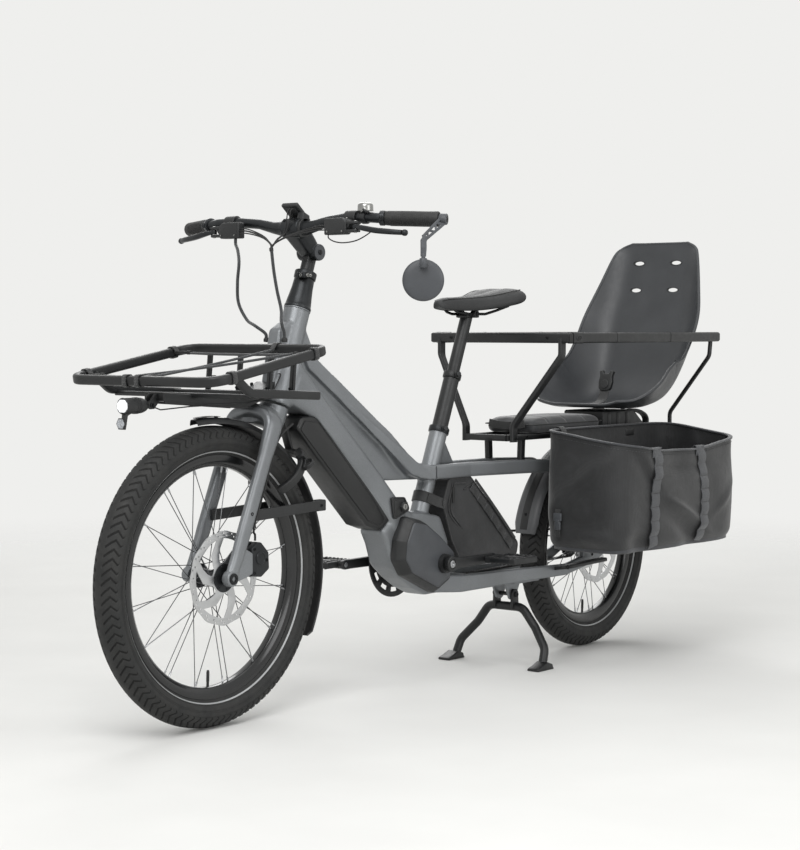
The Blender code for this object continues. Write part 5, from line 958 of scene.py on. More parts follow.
def cushionHalf(share):  # sides drawn in between the corners
    return cushionLook["half"] - 0.004 * (1 - abs(share) ** 3)


def makeCushion():
    look = cushionLook
    middleX, reach = (look["front"] + look["rear"]) / 2, (look["front"] - look["rear"]) / 2
    rows, steps = [], 80
    for height, spread in ((0.0, 0.94), (0.05, 0.985), (0.3, 1.0), (0.62, 1.0), (0.8, 0.975), (0.86, 0.93),
                           (0.87, 0.86), (0.87, 0.72), (0.87, 0.55), (0.87, 0.35), (0.87, 0.15)):
        row = []
        for step in range(steps):
            turn = math.tau * (step + 0.5) / steps
            u, v = bulged(math.cos(turn), look["corner"]), bulged(math.sin(turn), look["corner"])
            ahead = (1 - (1 - spread) * 0.5) * 0.985 if spread > 0.9 else spread
            row.append((middleX + u * reach * ahead, v * cushionHalf(u) * spread * 0.985,
                        look["low"] + (look["high"] - 0.006 - look["low"]) * height))
        rows.append(row)
    item = makeObject("CushionPad", gridShape(rows, closedAcross=True, caps=True))
    inflate(item, look["pressure"], look["cap"], look["voxel"], look["frames"])
    smooth = item.modifiers.new("Smooth", "SMOOTH")
    smooth.factor, smooth.iterations = 0.5, 6
    divide = item.modifiers.new("Subdivision", "SUBSURF")
    divide.levels = divide.render_levels = 1
    settle(item)
    for vert in item.data.vertices:
        u, v = (vert.co.x - middleX) / reach, vert.co.y / look["half"]
        top = clamp((vert.co.z - look["low"] - 0.02) / 0.014)
        crown = 0.004 * max(0.0, 1 - u * u) * max(0.0, 1 - v * v) * top
        groove = 0.0
        for line in (-0.52, 0.0, 0.52):  # sewn channels across
            groove += 0.0034 * math.exp(-((u - line) * reach / 0.0045) ** 2) * (1 if abs(v) < 0.86 else 0.0)
        edge = min(abs(abs(v) - 0.84) * look["half"], 1.0)
        groove += 0.0022 * math.exp(-(edge / 0.0035) ** 2)
        vert.co.z += crown - groove * top
        vert.co.z = min(max(vert.co.z, look["low"]), look["high"] + 0.003)
        vert.co.x = min(vert.co.x, look["front"] + 0.001)
        vert.co.y = max(min(vert.co.y, look["half"] + 0.001), -look["half"] - 0.001)
    dress(item, "cushionCover", "frame", "rear_cushion", sharp=None)
    around = [(bulged(c, look["corner"]), bulged(s, look["corner"])) for c, s in turns(120)]
    piping = [(middleX + u * (reach + 0.0002), v * (cushionHalf(u) + 0.0002), look["low"] + 0.0215)
              for u, v in around]
    piece("CushionPiping", sweep(piping, circle(0.0014, 8), upward, closed=True), "softRubber", "frame")
    ys = [-0.055 + 0.11 * s / 16 for s in range(17)]
    loop = [(look["front"] + 0.0025, y, 0.603 - 0.006 * (1 - (y / 0.055) ** 2)) for y in ys]
    handle = sweep(loop, roundedRect(0.0022, 0.02, 0.0008), forward)
    piece("CushionHandle", handle, "nylonWebbing", "frame")


makeCushion()

saddleLook = {"noseX": 0.126, "top": 0.944, "grooveWide": 0.01, "grooveDeep": 0.004}


def makeSaddle():
    clampZ = saddleLook["top"] - 0.06
    base = clampZ + 0.0013
    noseX = seatX(clampZ) + saddleLook["noseX"]
    stations = [(0.0, 0.004, -0.038, 0.006), (0.003, 0.012, -0.034, 0.016), (0.01, 0.017, -0.03, 0.024),
                (0.03, 0.0225, -0.025, 0.031), (0.06, 0.0265, -0.023, 0.036), (0.095, 0.032, -0.0215, 0.038),
                (0.13, 0.043, -0.019, 0.039), (0.16, 0.0575, -0.015, 0.04), (0.19, 0.073, -0.01, 0.04),
                (0.218, 0.0845, -0.004, 0.041), (0.243, 0.0895, 0.0, 0.04), (0.262, 0.084, 0.001, 0.034),
                (0.273, 0.07, -0.001, 0.026), (0.278, 0.05, -0.005, 0.014)]
    rows = []
    for along, half, crown, deep in stations:
        x, top = noseX - along, saddleLook["top"] + crown
        low = max(top - deep, base + (0.004 if along > 0.15 else 0.0))
        ring = []
        for share, drop in ((0.0, 0.0), (0.1, 0.0004), (0.22, 0.0004), (0.45, 0.0012), (0.68, 0.0045), (0.85, 0.01),
                            (0.96, 0.018), (1.0, 0.026), (0.985, 0.033), (0.93, 0.0385)):
            groove = saddleLook["grooveDeep"] * math.exp(-(share * half / saddleLook["grooveWide"]) ** 2)
            groove *= clamp((along - 0.045) / 0.05) * clamp((0.272 - along) / 0.03)
            ring.append((x, half * share, max(top - drop * deep / 0.04 - groove, low)))
        ring += [(x, half * 0.8, low + 0.001), (x, half * 0.4, low + 0.003), (x, 0.0, low + 0.003)]
        ring += [(x, -y, z) for _, y, z in reversed(ring[1:-1])]
        rows.append(ring)
    piece("SaddlePad", gridShape(rows, closedAcross=True, caps=True), "saddleCover", "seatpost_upper", "saddle",
          sharp=70.0, subdivide=2)
    rails = []
    for side in (1, -1):
        line = [(noseX - 0.04, side * 0.012, base + 0.012), (noseX - 0.062, side * 0.016, clampZ),
                (noseX - 0.09, side * 0.0215, clampZ - 0.005), (noseX - 0.17, side * 0.0215, clampZ - 0.005),
                (noseX - 0.205, side * 0.03, clampZ + 0.004), (noseX - 0.238, side * 0.044, clampZ + 0.016)]
        rails.append(sweep(filleted(line, 0.02), circle(0.0035, 12)))
    piece("SaddleRails", rails, "blackOxide", "seatpost_upper")
    seam = []
    for side in (1, -1):
        line = [(noseX - along, side * half * 0.74, saddleLook["top"] + crown - 0.0056 * deep / 0.04)
                for along, half, crown, deep in stations[2:-1]]
        seam.append(sweep(spline(line, 60), circle(0.0009, 6), upward))
    piece("SaddleSeam", seam, "softRubber", "seatpost_upper")
    post = lathe([(0.0, 0.0), (0.015, 0.0), (0.0152, 0.0006), (0.0152, 0.266), (0.0, 0.266)], seatPoint(0.632),
                 seatUp, 40)
    head = brick((seatX(clampZ), 0.0, clampZ - 0.0105), (0.05, 0.036, 0.007), 0.0025)
    ears = [rod((seatX(clampZ) - 0.0001, side * 0.0145, clampZ - 0.005),
                (seatX(clampZ) - 0.0001, side * 0.029, clampZ - 0.005), 0.0095, 28) for side in (1, -1)]
    bolts = [screw((seatX(clampZ), side * 0.029, clampZ - 0.005), leftward * side, 0.005) for side in (1, -1)]
    piece("UpperPost", [post, head, *ears], "powderCoatBlack", "seatpost_upper", "seatpost_upper")
    piece("UpperPostBolts", bolts, "blackOxide", "seatpost_upper")


makeSaddle()

bagLook = {"front": -1.095, "length": 0.57, "inner": 0.089, "width": 0.256, "low": 0.285, "high": 0.56,
           "wall": 0.004, "corner": 0.34}


def bagFolds(u, rise):  # creases of the outer wall, outward in metres; u runs from the rear -1 to the front 1
    slack = rise - 0.914 * u - 0.223  # slack from the front corner down to the first strap
    folds = 0.0095 * math.tanh(slack / 0.045) * math.exp(-((u - 0.66) / 0.26) ** 2)
    ridge = rise - 0.5 * u - 0.33  # ridge between the straps with a hollow under it
    folds += 0.009 * math.exp(-(ridge / 0.045) ** 2) * math.exp(-((u - 0.02) / 0.36) ** 2)
    folds -= 0.015 * math.exp(-((ridge + 0.15) / 0.11) ** 2) * math.exp(-((u - 0.05) / 0.3) ** 2)
    folds -= 0.008 * math.exp(-((rise - 0.8) / 0.05) ** 2) * math.exp(-((u - 0.08) / 0.34) ** 2)
    folds += 0.0075 * math.exp(-((rise + 0.7 * u + 0.05) / 0.06) ** 2) * math.exp(-((u + 0.72) / 0.22) ** 2)
    folds -= 0.012 * math.exp(-((rise - 0.1) / 0.07) ** 2) * math.exp(-((u - 0.74) / 0.22) ** 2)
    return folds + 0.0022 * math.sin(u * 7.5 + rise * 2.6) + 0.001 * math.sin(u * 15 - rise * 5.2 + 1.1)


def bagPoint(turn, height, inset=0.0):  # shell of the open bag: bulges low, sags between its hooks at the rim
    look = bagLook
    rise = (height - look["low"]) / (look["high"] - look["low"])
    c, s = math.cos(turn), math.sin(turn)
    u, v = bulged(c, look["corner"]), bulged(s, look["corner"])
    belly = 0.01 * math.sin(math.pi * min(rise * 1.15, 1.0)) - 0.004 * (1 - rise)
    tuck = 0.014 * max(0.0, 1 - rise * 9) ** 2
    halfX = look["length"] / 2 + belly - inset - tuck
    halfY = look["width"] / 2 - inset - tuck
    x = look["front"] - look["length"] / 2 + halfX * u
    y = look["inner"] + look["width"] / 2 + halfY * v
    z = height
    outer = 0.5 + 0.25 * v * (3 - v * v)  # 0 on the wall at the rack, 1 on the outer wall
    z += (0.026 * (1 - outer) - 0.026 * outer * (1 - u * u)) * max(0.0, rise - 0.3) / 0.7
    z += 0.0025 * math.sin(u * 9 + 0.6) * max(0.0, rise - 0.6) * outer
    across, along = max(0.0, v) ** 3 * (1 - abs(u) ** 8), (1 - abs(v) ** 6) * abs(u) ** 6
    y += belly * (1 - u * u) * 1.2 * max(0.0, v)
    y += across * bagFolds(u, rise)
    if v < 0:
        y += math.sin(u * 8 + rise * 3) * 0.0012 * (1 - abs(u) ** 6)
    hollow = 0.013 * math.exp(-((v - 0.3) / 0.45) ** 2 - ((rise - 0.14) / 0.075) ** 2)
    hollow += 0.0085 * math.exp(-((rise - 0.62 - 0.35 * v) / 0.1) ** 2)
    x += along * math.copysign(math.sin(v * 5 + rise * 4) * 0.0018 - hollow, u)
    return Vector((x, y, z))


def bagTurns():  # turns that stand evenly along the walls, corners included
    along, across = 130, 60  # points on a long and on a short wall
    corner, power = 0.5 ** (bagLook["corner"] / 2), 1 / bagLook["corner"]
    shares = {count: [corner * (1 - 2 * n / count) for n in range(count)] for count in (along, across)}
    bend = {count: [bulged(share, power) for share in shares[count]] for count in shares}
    walls = [[math.acos(c) for c in bend[along]], [math.pi - math.asin(s) for s in bend[across]]]
    walls += [[math.pi + turn for turn in wall] for wall in walls]
    return [turn for wall in walls for turn in wall]


def bagShell(low, high, inset):
    levels, across = 56, bagTurns()
    return [[bagPoint(turn, low + (high - low) * level / levels, inset) for turn in across]
            for level in range(levels + 1)]


def makePannier():
    look = bagLook
    outer = bagShell(look["low"], look["high"], 0.0)
    inner = bagShell(look["low"] + look["wall"], look["high"], look["wall"] * 0.62)
    floorOut, floorIn = [], []
    for share in (0.0, 0.25, 0.5, 0.75, 0.92):
        middle = Vector((look["front"] - look["length"] / 2, look["inner"] + look["width"] / 2, look["low"]))
        floorOut.append([middle.lerp(Vector((point.x, point.y, look["low"])), share) for point in outer[0]])
        inside = middle + upward * look["wall"]
        floorIn.append([inside.lerp(Vector((point.x, point.y, inside.z)), share) for point in inner[0]])
    rows = floorOut + outer + inner[::-1] + floorIn[::-1]
    near, far = 0.0683, look["inner"] + 0.004  # the hooks reach from the rack's tube into the bag's wall
    hooks = [brick((x, (near + far) / 2, look["high"] + 0.006), (0.04, far - near, 0.02), 0.003)
             for x in (look["front"] - 0.13, look["front"] - look["length"] + 0.15)]
    piece("PannierBag", gridShape(rows, closedAcross=True), "bagCanvas", "frame", "pannier", sharp=60.0)
    piece("PannierHooks", hooks, "mouldedNylon", "frame")
    # Hem folded over the rim, with a row of stitches below it
    hem = [bagPoint(turn, look["high"], 0.0012) for turn in bagTurns()]
    hemBand = sweep(hem, roundedRect(0.0052, 0.0115, 0.002), upward, closed=True)
    foot = [bagPoint(turn, look["low"] + 0.0075, -0.0008) for turn in bagTurns()]
    footBand = sweep(foot, roundedRect(0.01, 0.0016, 0.0005), upward, closed=True)
    piece("PannierHem", [hemBand, footBand], "webbingGrey", "frame", sharp=50.0)
    stitches, seam = [], [bagPoint(turn, look["high"] - 0.012, -0.0007) for turn in bagTurns()]
    for n in range(0, len(seam), 2):
        stitches.append(sweep([seam[n], seam[n].lerp(seam[(n + 1) % len(seam)], 0.9)], circle(0.0006, 5), upward))
    piece("PannierStitching", stitches, "threadGrey", "frame")


makePannier()
print("soft goods built")


# Front mudguard, ring lock and caliper
def archRows(axle, radius, width, start, end, taper, crown, drop):
    rows, steps, thick = [], 72, 0.0022
    for step in range(steps + 1):
        share = step / steps
        turn = math.radians(start + (end - start) * share)
        half = width / 2 * taper(share)
        across = [-1.0, -0.97, -0.9, -0.8, -0.66, -0.45, -0.22, 0.0, 0.22, 0.45, 0.66, 0.8, 0.9, 0.97, 1.0]
        row = []
        for layer in (0.0, -thick):
            for u in across if layer == 0.0 else across[::-1]:
                bend = max(0.0, (abs(u) - 0.62) / 0.38)
                here = radius + layer + crown * (1 - u * u) - drop * bend ** 2.2
                row.append(axle + Vector((here * math.cos(turn), half * u * (1.0 if layer == 0 else 0.965),
                                          here * math.sin(turn))))
        rows.append(row)
    return rows


def frontTaper(share):
    return min(1.0, 0.36 + 3.9 * share, 1.0 - 0.35 * max(0.0, (share - 0.985) / 0.015) ** 2)


def makeFrontMudguard():
    radius, height = 0.3375, forkLook["stayHeight"]
    rows = archRows(frontAxle, radius + 0.0012, 0.066, 82.0, 208.5, frontTaper, crown=0.0012, drop=0.01)
    shapes = [gridShape(rows, closedAcross=True, caps=True)]
    for edge in (0.01122, -0.01122):  # pressed ribs along the shell
        line = [polar(frontAxle, radius + 0.0024, a) + leftward * edge for a in range(96, 206, 2)]
        shapes.append(sweep(line, ellipse(0.0024, 0.0012, steps=10), leftward))
    for side in (1, -1):
        legSide = side * 0.0462
        bar = [Vector((forkLegX(0.445) + 0.004, legSide, 0.4405)), Vector((-0.25, legSide, 0.4475)),
               Vector((-0.296, legSide, height))]
        shapes.append(sweep(bar, roundedRect(0.007, 0.024, 0.0014), leftward, [1.0, 0.96, 0.9]))
        shapes.append(brick((-0.3055, side * 0.0388, height), (0.034, 0.0215, 0.025), 0.003))
    piece("FrontMudguard", shapes, "mouldedNylon", "steering", "front_mudguard", sharp=45.0)
    screws = [screw(polar(frontAxle, radius + 0.003, a), outwards(a), 0.0042, 0.0022) for a in (86.0, 93.5)]
    screws += [screw((-0.306, side * 0.0495, height), leftward * side, 0.0036, 0.0018) for side in (1, -1)]
    piece("MudguardScrews", screws, "blackOxide", "steering")
    # Clip plate that closes the pointed tip
    line = spline([polar(frontAxle, radius + 0.0046, a) for a in (82.5, 84, 88, 92, 95)], 16)
    widths = [0.5, 0.7, 0.85] + [1.0] * 12 + [0.8, 0.6]
    clip = sweep(line, roundedRect(0.017, 0.0014, 0.0006), leftward, widths)
    piece("MudguardClip", clip, "powderCoatBlack", "steering")


makeFrontMudguard()

lockLook = {"turn": 135.5, "reach": 0.298, "radius": 0.062}
lockOut = outwards(lockLook["turn"])
lockAlong = lockOut.cross(leftward).normalized()
lockCentre = frontAxle + lockOut * lockLook["reach"]


def lockPoint(turn, radius, lift=0.0):
    turn = math.radians(turn)
    return lockCentre + (lockOut * math.cos(turn) + leftward * math.sin(turn)) * radius + lockAlong * lift


def makeRingLock():
    radius = lockLook["radius"]
    body = sweep([lockPoint(-142 + 284 * s / 60, radius) for s in range(61)], roundedRect(0.02, 0.0135, 0.0035),
                 lockAlong, [(0.82 if s in (0, 60) else 1.0) for s in range(61)])
    box = sweep([lockPoint(26 + 28 * s / 8, radius + 0.004) for s in range(9)], roundedRect(0.034, 0.02, 0.0045),
                lockAlong, [0.86] + [1.0] * 7 + [0.86])
    band = sweep([lockPoint(-130 + 150 * s / 40, radius + 0.0062) for s in range(41)],
                 roundedRect(0.007, 0.0022, 0.0008), lockAlong)
    corners = [headLocal(-0.0343, -0.01), headLocal(-0.0343, -0.03), lockPoint(0.0, radius, -0.008),
               lockPoint(0.0, radius, 0.006)]
    tie = slab([(corner.x, corner.z) for corner in corners], -0.01, 0.01, "XZ", 0.0012)
    key = lathe([(0.0, 0.0), (0.0078, 0.0), (0.0078, 0.003), (0.007, 0.0036), (0.0052, 0.0036), (0.005, 0.0026),
                 (0.0, 0.0026)], lockPoint(40, radius + 0.004) + lockAlong * 0.0165, lockAlong, 28)
    piece("RingLockBody", [body, box, band, tie], "mouldedNylon", "steering", "ring_lock")
    bolt = sweep([lockPoint(-138 - 26 * s / 8, radius) for s in range(9)], circle(0.0042, 14), lockAlong)
    piece("RingLockBolt", [key, bolt], "drawnSteel", "steering")
    start = radius + 0.0135 / 2 + 0.0075
    rises = ((58.0, -0.003), (58.5, 0.006), (61.0, 0.012), (65.0, 0.0145), (69.0, 0.012), (73.0, 0.006), (74.0, -0.003))
    loop = spline([lockPoint(turn, start + rise) for turn, rise in rises], 28)
    base = sweep([lockPoint(56 + 20 * s / 8, start - 0.0035) for s in range(9)], roundedRect(0.012, 0.006, 0.0018),
                 lockAlong)
    piece("RingLockLever", [base, sweep(loop, roundedRect(0.01, 0.0042, 0.0016), lockAlong)], "mouldedNylon",
          "lock_lever", "lock_lever")


makeRingLock()


def makeCaliper(name, body, axle, outline, low, high, bolts, stands):
    outline = [(axle.x + x, axle.z + z) for x, z in outline]
    inner, outer = (wheelLook["rotorPlane"] + gap for gap in (-0.0028, 0.0028))  # slot for the rotor
    shell = merged(slab(outline, low, inner, "XZ", 0.0028), slab(outline, outer, high, "XZ", 0.0028))
    middle = (sum(p[0] for p in outline) / len(outline), sum(p[1] for p in outline) / len(outline))
    far = [(middle[0] + (u - middle[0]) * 0.9, middle[1] + (v - middle[1]) * 0.9) for u, v in outline
           if math.hypot(u - axle.x, v - axle.z) > 0.105]
    parts = [shell]
    if len(far) > 2:
        parts.append(slab(far, inner - 0.004, outer + 0.004, "XZ", 0.001))
    dome = lathe([(0.0145, -0.0006), (0.0145, 0.0014), (0.0132, 0.003), (0.011, 0.0034), (0.0104, 0.0026),
                  (0.0, 0.003)], (middle[0], high, middle[1]), leftward, 40)
    pins = [screw((axle.x + x, high, axle.z + z), leftward, 0.0036, 0.0022) for x, z in bolts]
    piece(name + "Body", [*parts, dome], "anodisedBlack", body, stands)
    piece(name + "Bolts", pins, "blackOxide", body)


makeCaliper("FrontCaliper", "steering", frontAxle,
            [(-0.067, -0.002), (-0.067, 0.058), (-0.086, 0.071), (-0.098, 0.069), (-0.121, 0.046),
             (-0.123, 0.01), (-0.098, -0.006)], 0.03, 0.06, [(-0.076, 0.004), (-0.076, 0.056), (-0.114, 0.03)],
            "front_caliper")
makeCaliper("RearCaliper", "frame", rearAxle,
            [(0.062, -0.006), (0.062, 0.036), (0.084, 0.044), (0.118, 0.03), (0.124, -0.004)], 0.03, 0.0576,
            [(0.07, 0.002), (0.088, 0.034), (0.114, 0.004)], "rear_caliper")
print("front end fittings built")

# Front rack with its straps, headlight and reflector
rackLook = {"frontX": 0.202, "rearX": -0.15, "frontZ": 0.737, "rearZ": 0.8, "half": 0.214, "taper": 0.006,
            "tall": 0.021, "wide": 0.016}
deckFront, deckRear = rackLook["frontZ"] - 0.03, rackLook["frontZ"] - 0.052


def loopZ(x):
    rise, run = rackLook["rearZ"] - rackLook["frontZ"], rackLook["frontX"] - rackLook["rearX"]
    return rackLook["frontZ"] + (rackLook["frontX"] - x) * rise / run


def loopHalf(x):
    return rackLook["half"] - rackLook["taper"] * (rackLook["frontX"] - x) / (rackLook["frontX"] - rackLook["rearX"])


def noseX(height):
    return headX(0.7) + 0.036 + 0.004 - (height - 0.7) * 0.22


def makeFrontRack():
    look = rackLook
    tilt = Vector((look["rearZ"] - look["frontZ"], 0, look["frontX"] - look["rearX"])).normalized()
    half, rearHalf = look["half"], look["half"] - look["taper"]
    corners = [(look["frontX"], half, look["frontZ"]), (look["frontX"], -half, look["frontZ"]),
               (look["rearX"], -rearHalf, look["rearZ"]), (look["rearX"], rearHalf, look["rearZ"])]
    path = filleted(corners, 0.045, 12, closed=True)
    shapes = [sweep(path, roundedRect(look["tall"], look["wide"], 0.0056, 5), tilt, closed=True)]
    plate = slab([(look["frontX"] - 0.04, deckFront + 0.006), (look["frontX"] - 0.04, deckFront - 0.012),
                  (look["rearX"] + 0.055, deckRear - 0.01), (noseX(0.7) + 0.0004, 0.7),
                  (noseX(0.728) + 0.0004, 0.728), (look["rearX"] + 0.06, deckRear + 0.008)], -0.028, 0.028, "XZ",
                 0.0016)
    shapes.append(plate)
    sideY, postYs = half - 0.008, (-0.14, -0.047, 0.043, 0.11)
    for side in (1, -1):
        arm = filleted([(look["frontX"] - 0.062, side * sideY, loopZ(look["frontX"] - 0.062)),
                        (look["frontX"] - 0.11, side * sideY, deckFront + 0.006),
                        (look["rearX"] + 0.034, side * sideY, deckFront - 0.004)], 0.03, 8)
        shapes.append(sweep(arm, roundedRect(0.014, 0.018, 0.0045), leftward))
        shapes.append(sweep([(look["frontX"] - 0.044, side * 0.0262, deckFront - 0.014),
                             (look["rearX"] + 0.058, side * 0.0262, deckRear - 0.011)],
                            roundedRect(0.003, 0.006, 0.001), leftward))  # folded flange along the deck plate
    for x in (look["frontX"] - 0.13, look["rearX"] + 0.05):
        shapes.append(brick((x, 0, deckFront - 0.002), (0.016, 2 * sideY, 0.01), 0.0024))
    crossX = look["rearX"] + 0.01
    shapes.append(brick((crossX, 0, deckFront - 0.003), (0.014, 0.3, 0.01), 0.0024))
    for side in (1, -1):
        shapes.append(brick(((crossX + look["rearX"] + 0.05) / 2, side * 0.11, deckFront - 0.003),
                            (0.05, 0.016, 0.01), 0.002))
    for y in postYs:
        shapes.append(sweep([(look["rearX"], y, look["rearZ"]), (crossX, y, deckFront - 0.003)],
                            roundedRect(0.0135, 0.006, 0.0012), leftward))
        shapes.append(sweep([(look["rearX"] + 0.0042, y, look["rearZ"] - 0.012),
                             (crossX + 0.0038, y, deckFront + 0.004)], roundedRect(0.005, 0.002, 0.0006), leftward))
    earX, earZ = look["frontX"] - 0.024, look["frontZ"] - 0.05
    for side in (1, -1):
        shapes.append(slab([(earX - 0.03, deckFront - 0.004), (earX - 0.008, earZ - 0.008),
                            (earX + 0.004, earZ - 0.0085), (earX + 0.0085, earZ - 0.003),
                            (earX + 0.0085, earZ + 0.003), (earX + 0.004, earZ + 0.0085),
                            (earX - 0.01, deckFront + 0.004)], side * 0.0086 - 0.002, side * 0.0086 + 0.002, "XZ",
                           0.0008))
    piece("FrontRackFrame", shapes, "powderCoatBlack", "frame", "front_rack", sharp=36.0)
    bolts = [screw((earX, side * 0.0106, earZ), leftward * side, 0.005, 0.003) for side in (1, -1)]
    bolts += [screw((noseX(0.714) + 0.014, side * 0.028, z), leftward * side, 0.004, 0.0024)
              for z in (0.708, 0.722) for side in (1, -1)]
    bolts += [screw((crossX + 0.0062, y, deckFront + 0.008), forward, 0.0034, 0.0018) for y in postYs]
    piece("FrontRackBolts", bolts, "blackOxide", "frame")


def hookBand(centre, inward, along, tall, wide, tongue):  # webbing wrapped round the tube, its ends sewn to a tongue
    lift = inward.cross(along).normalized()
    if lift.z < 0:
        lift = -lift
    line = []
    for turn in range(-150, 151, 12):
        t = math.radians(turn)
        u = -bulged(math.cos(t), 0.5) * (wide / 2 + 0.0018)
        v = bulged(math.sin(t), 0.5) * (tall / 2 + 0.0018)
        line.append(centre + inward * u + lift * v)
    line.append(centre + inward * (wide / 2 + 0.006) + lift * 0.0035)
    line.append(tongue + lift * 0.0012)
    return sweep(line, roundedRect(0.0125, 0.0026, 0.001, 3), along)


def makeRackStraps():
    look = rackLook
    cords, bands, sleeves, crimps = [], [], [], []
    rearX, frontX = look["rearX"] + 0.05, look["frontX"] - 0.049

    def sag(start, end, drop):
        return [start.lerp(end, s / 24) - upward * drop * 4 * (s / 24) * (1 - s / 24) for s in range(25)]

    def endSleeve(tip, inward, wide, tall):
        sleeves.append(sweep([tip - inward * 0.002, tip + inward * 0.004, tip + inward * 0.03, tip + inward * 0.036],
                             roundedRect(wide, tall, 0.0022), leftward if abs(inward.y) < 0.6 else forward,
                             [0.86, 1.0, 1.0, 0.8]))
        crimps.append(lathe([(0.0031, 0.034), (0.0048, 0.035), (0.0048, 0.043), (0.0036, 0.0445), (0.0031, 0.0445)],
                            tip, inward, 16))

    for x in (rearX, frontX):
        edge = loopHalf(x) - look["wide"] / 2 - 0.0025
        start, end = Vector((x, -edge, loopZ(x))), Vector((x, edge, loopZ(x)))
        cords.append(sweep(sag(start, end, 0.0035), circle(0.0029, 12), upward))
        for tip, other in ((start, end), (end, start)):
            inward = (other - tip).normalized()
            endSleeve(tip, inward, 0.013, 0.0066)
            along = Vector((look["frontX"] - look["rearX"], 0, look["frontZ"] - look["rearZ"])).normalized()
            bands.append(hookBand(tip - inward * (look["wide"] / 2 + 0.0025), inward, along, look["tall"],
                                  look["wide"], tip + inward * 0.004))
    front = Vector((look["frontX"] - look["wide"] / 2 - 0.004, -0.02, look["frontZ"] + 0.002))
    back = Vector((look["rearX"] + look["wide"] / 2 + 0.002, 0.06, look["rearZ"] - 0.001))
    cords.append(sweep(sag(front, back, 0.003), circle(0.0029, 12), leftward))
    inward = (back - front).normalized()
    endSleeve(front, inward, 0.019, 0.009)
    for aside in (-0.016, 0.02):
        bands.append(hookBand(Vector((look["frontX"], front.y + aside, look["frontZ"])), -forward, leftward,
                              look["tall"], look["wide"], front + leftward * aside * 0.3 + inward * 0.01))
    bands.append(hookBand(Vector((look["rearX"], back.y, look["rearZ"])), forward, leftward, look["tall"],
                          look["wide"], back + inward * -0.006))
    back = Vector((rearX, 0.15, loopZ(rearX)))
    front = Vector((frontX, -0.06, loopZ(frontX)))
    cords.append(sweep(sag(front, back, 0.003), circle(0.0029, 12), leftward))
    piece("RackElastics", cords, "braidedSleeve", "frame", "rack_cords", sharp=60.0)
    piece("RackHookBands", bands, "nylonWebbing", "frame", sharp=50.0)
    piece("RackStrapSleeves", [*sleeves, *crimps], "softRubber", "frame")


def makeHeadlight():
    look = rackLook
    earX, earZ = look["frontX"] - 0.024, look["frontZ"] - 0.05
    lampX = earX + 0.01
    body = lathe([(0.0, 0.0), (0.01, 0.0002), (0.0125, 0.0016), (0.015, 0.008), (0.0162, 0.014), (0.0165, 0.02),
                  (0.0165, 0.056), (0.016, 0.058), (0.0168, 0.0585), (0.017, 0.0612), (0.0164, 0.0622),
                  (0.015, 0.0618), (0.0146, 0.06), (0.0, 0.06)], (lampX, 0, earZ), forward, 48)
    fins = [lathe([(0.0163, x), (0.0172, x + 0.0003), (0.0172, x + 0.0015), (0.0163, x + 0.0018)], (lampX, 0, earZ),
                  forward, 48) for x in (0.022, 0.0265, 0.031)]
    tail = brick((earX + 0.004, 0, earZ), (0.02, 0.012, 0.014), 0.003)
    strip = slab([(lampX + 0.03, earZ - 0.01), (lampX + 0.058, earZ - 0.01), (lampX + 0.062, earZ - 0.048),
                  (lampX + 0.058, earZ - 0.048), (lampX + 0.052, earZ - 0.02)], -0.006, 0.006, "XZ", 0.001)
    piece("HeadlightShell", [body, tail, strip, *fins], "mouldedNylon", "headlight", "headlight")
    face = lampX + 0.06
    octagon = [(0.0, 0.0), (0.0138, 0.0), (0.0138, 0.0042), (0.0126, 0.0058), (0.006, 0.0066), (0.0, 0.0068)]
    lens = lathe(octagon, (face, 0, earZ), forward, 8)
    lens = moved(lens, Matrix.Translation((face, 0, earZ)) @ Matrix.Rotation(math.radians(22.5), 4, "X")
                 @ Matrix.Translation((-face, 0, -earZ)))
    piece("HeadlightLens", lens, "lampLens", "headlight", "headlight_lens", sharp=20.0)
    plate = (face + 0.0022, 0, earZ - 0.036)
    rim = lathe([(0.0, 0.0), (0.0132, 0.0), (0.0132, 0.005), (0.012, 0.0056), (0.0114, 0.005)], plate, forward, 6)
    glass = lathe([(0.0114, 0.0048), (0.0106, 0.0062), (0.0, 0.007)], plate, forward, 6)
    # The reflector's glass glows faintly: a painted glow, with no lamp behind it
    piece("ReflectorGlass", glass, "reflectorGlowLens", "headlight", "front_reflector", sharp=20.0)
    piece("ReflectorRim", rim, "mouldedNylon", "headlight", sharp=20.0)


makeFrontRack()
makeRackStraps()
makeHeadlight()
print("front rack built")

# Child seat: one moulded trough with a rolled rim, slots, harness buckle
seatLook = {"wall": 0.006, "stations": [
    (-1.4, 0.64, 0.125, 0.01), (-1.44, 0.634, 0.158, 0.022), (-1.5, 0.632, 0.182, 0.055),
    (-1.57, 0.636, 0.188, 0.098), (-1.64, 0.654, 0.188, 0.112), (-1.69, 0.7, 0.188, 0.098),
    (-1.724, 0.77, 0.187, 0.07), (-1.757, 0.86, 0.184, 0.05), (-1.785, 0.95, 0.162, 0.036),
    (-1.806, 1.04, 0.136, 0.02), (-1.812, 1.066, 0.118, 0.009), (-1.815, 1.08, 0.09, 0.003)]}


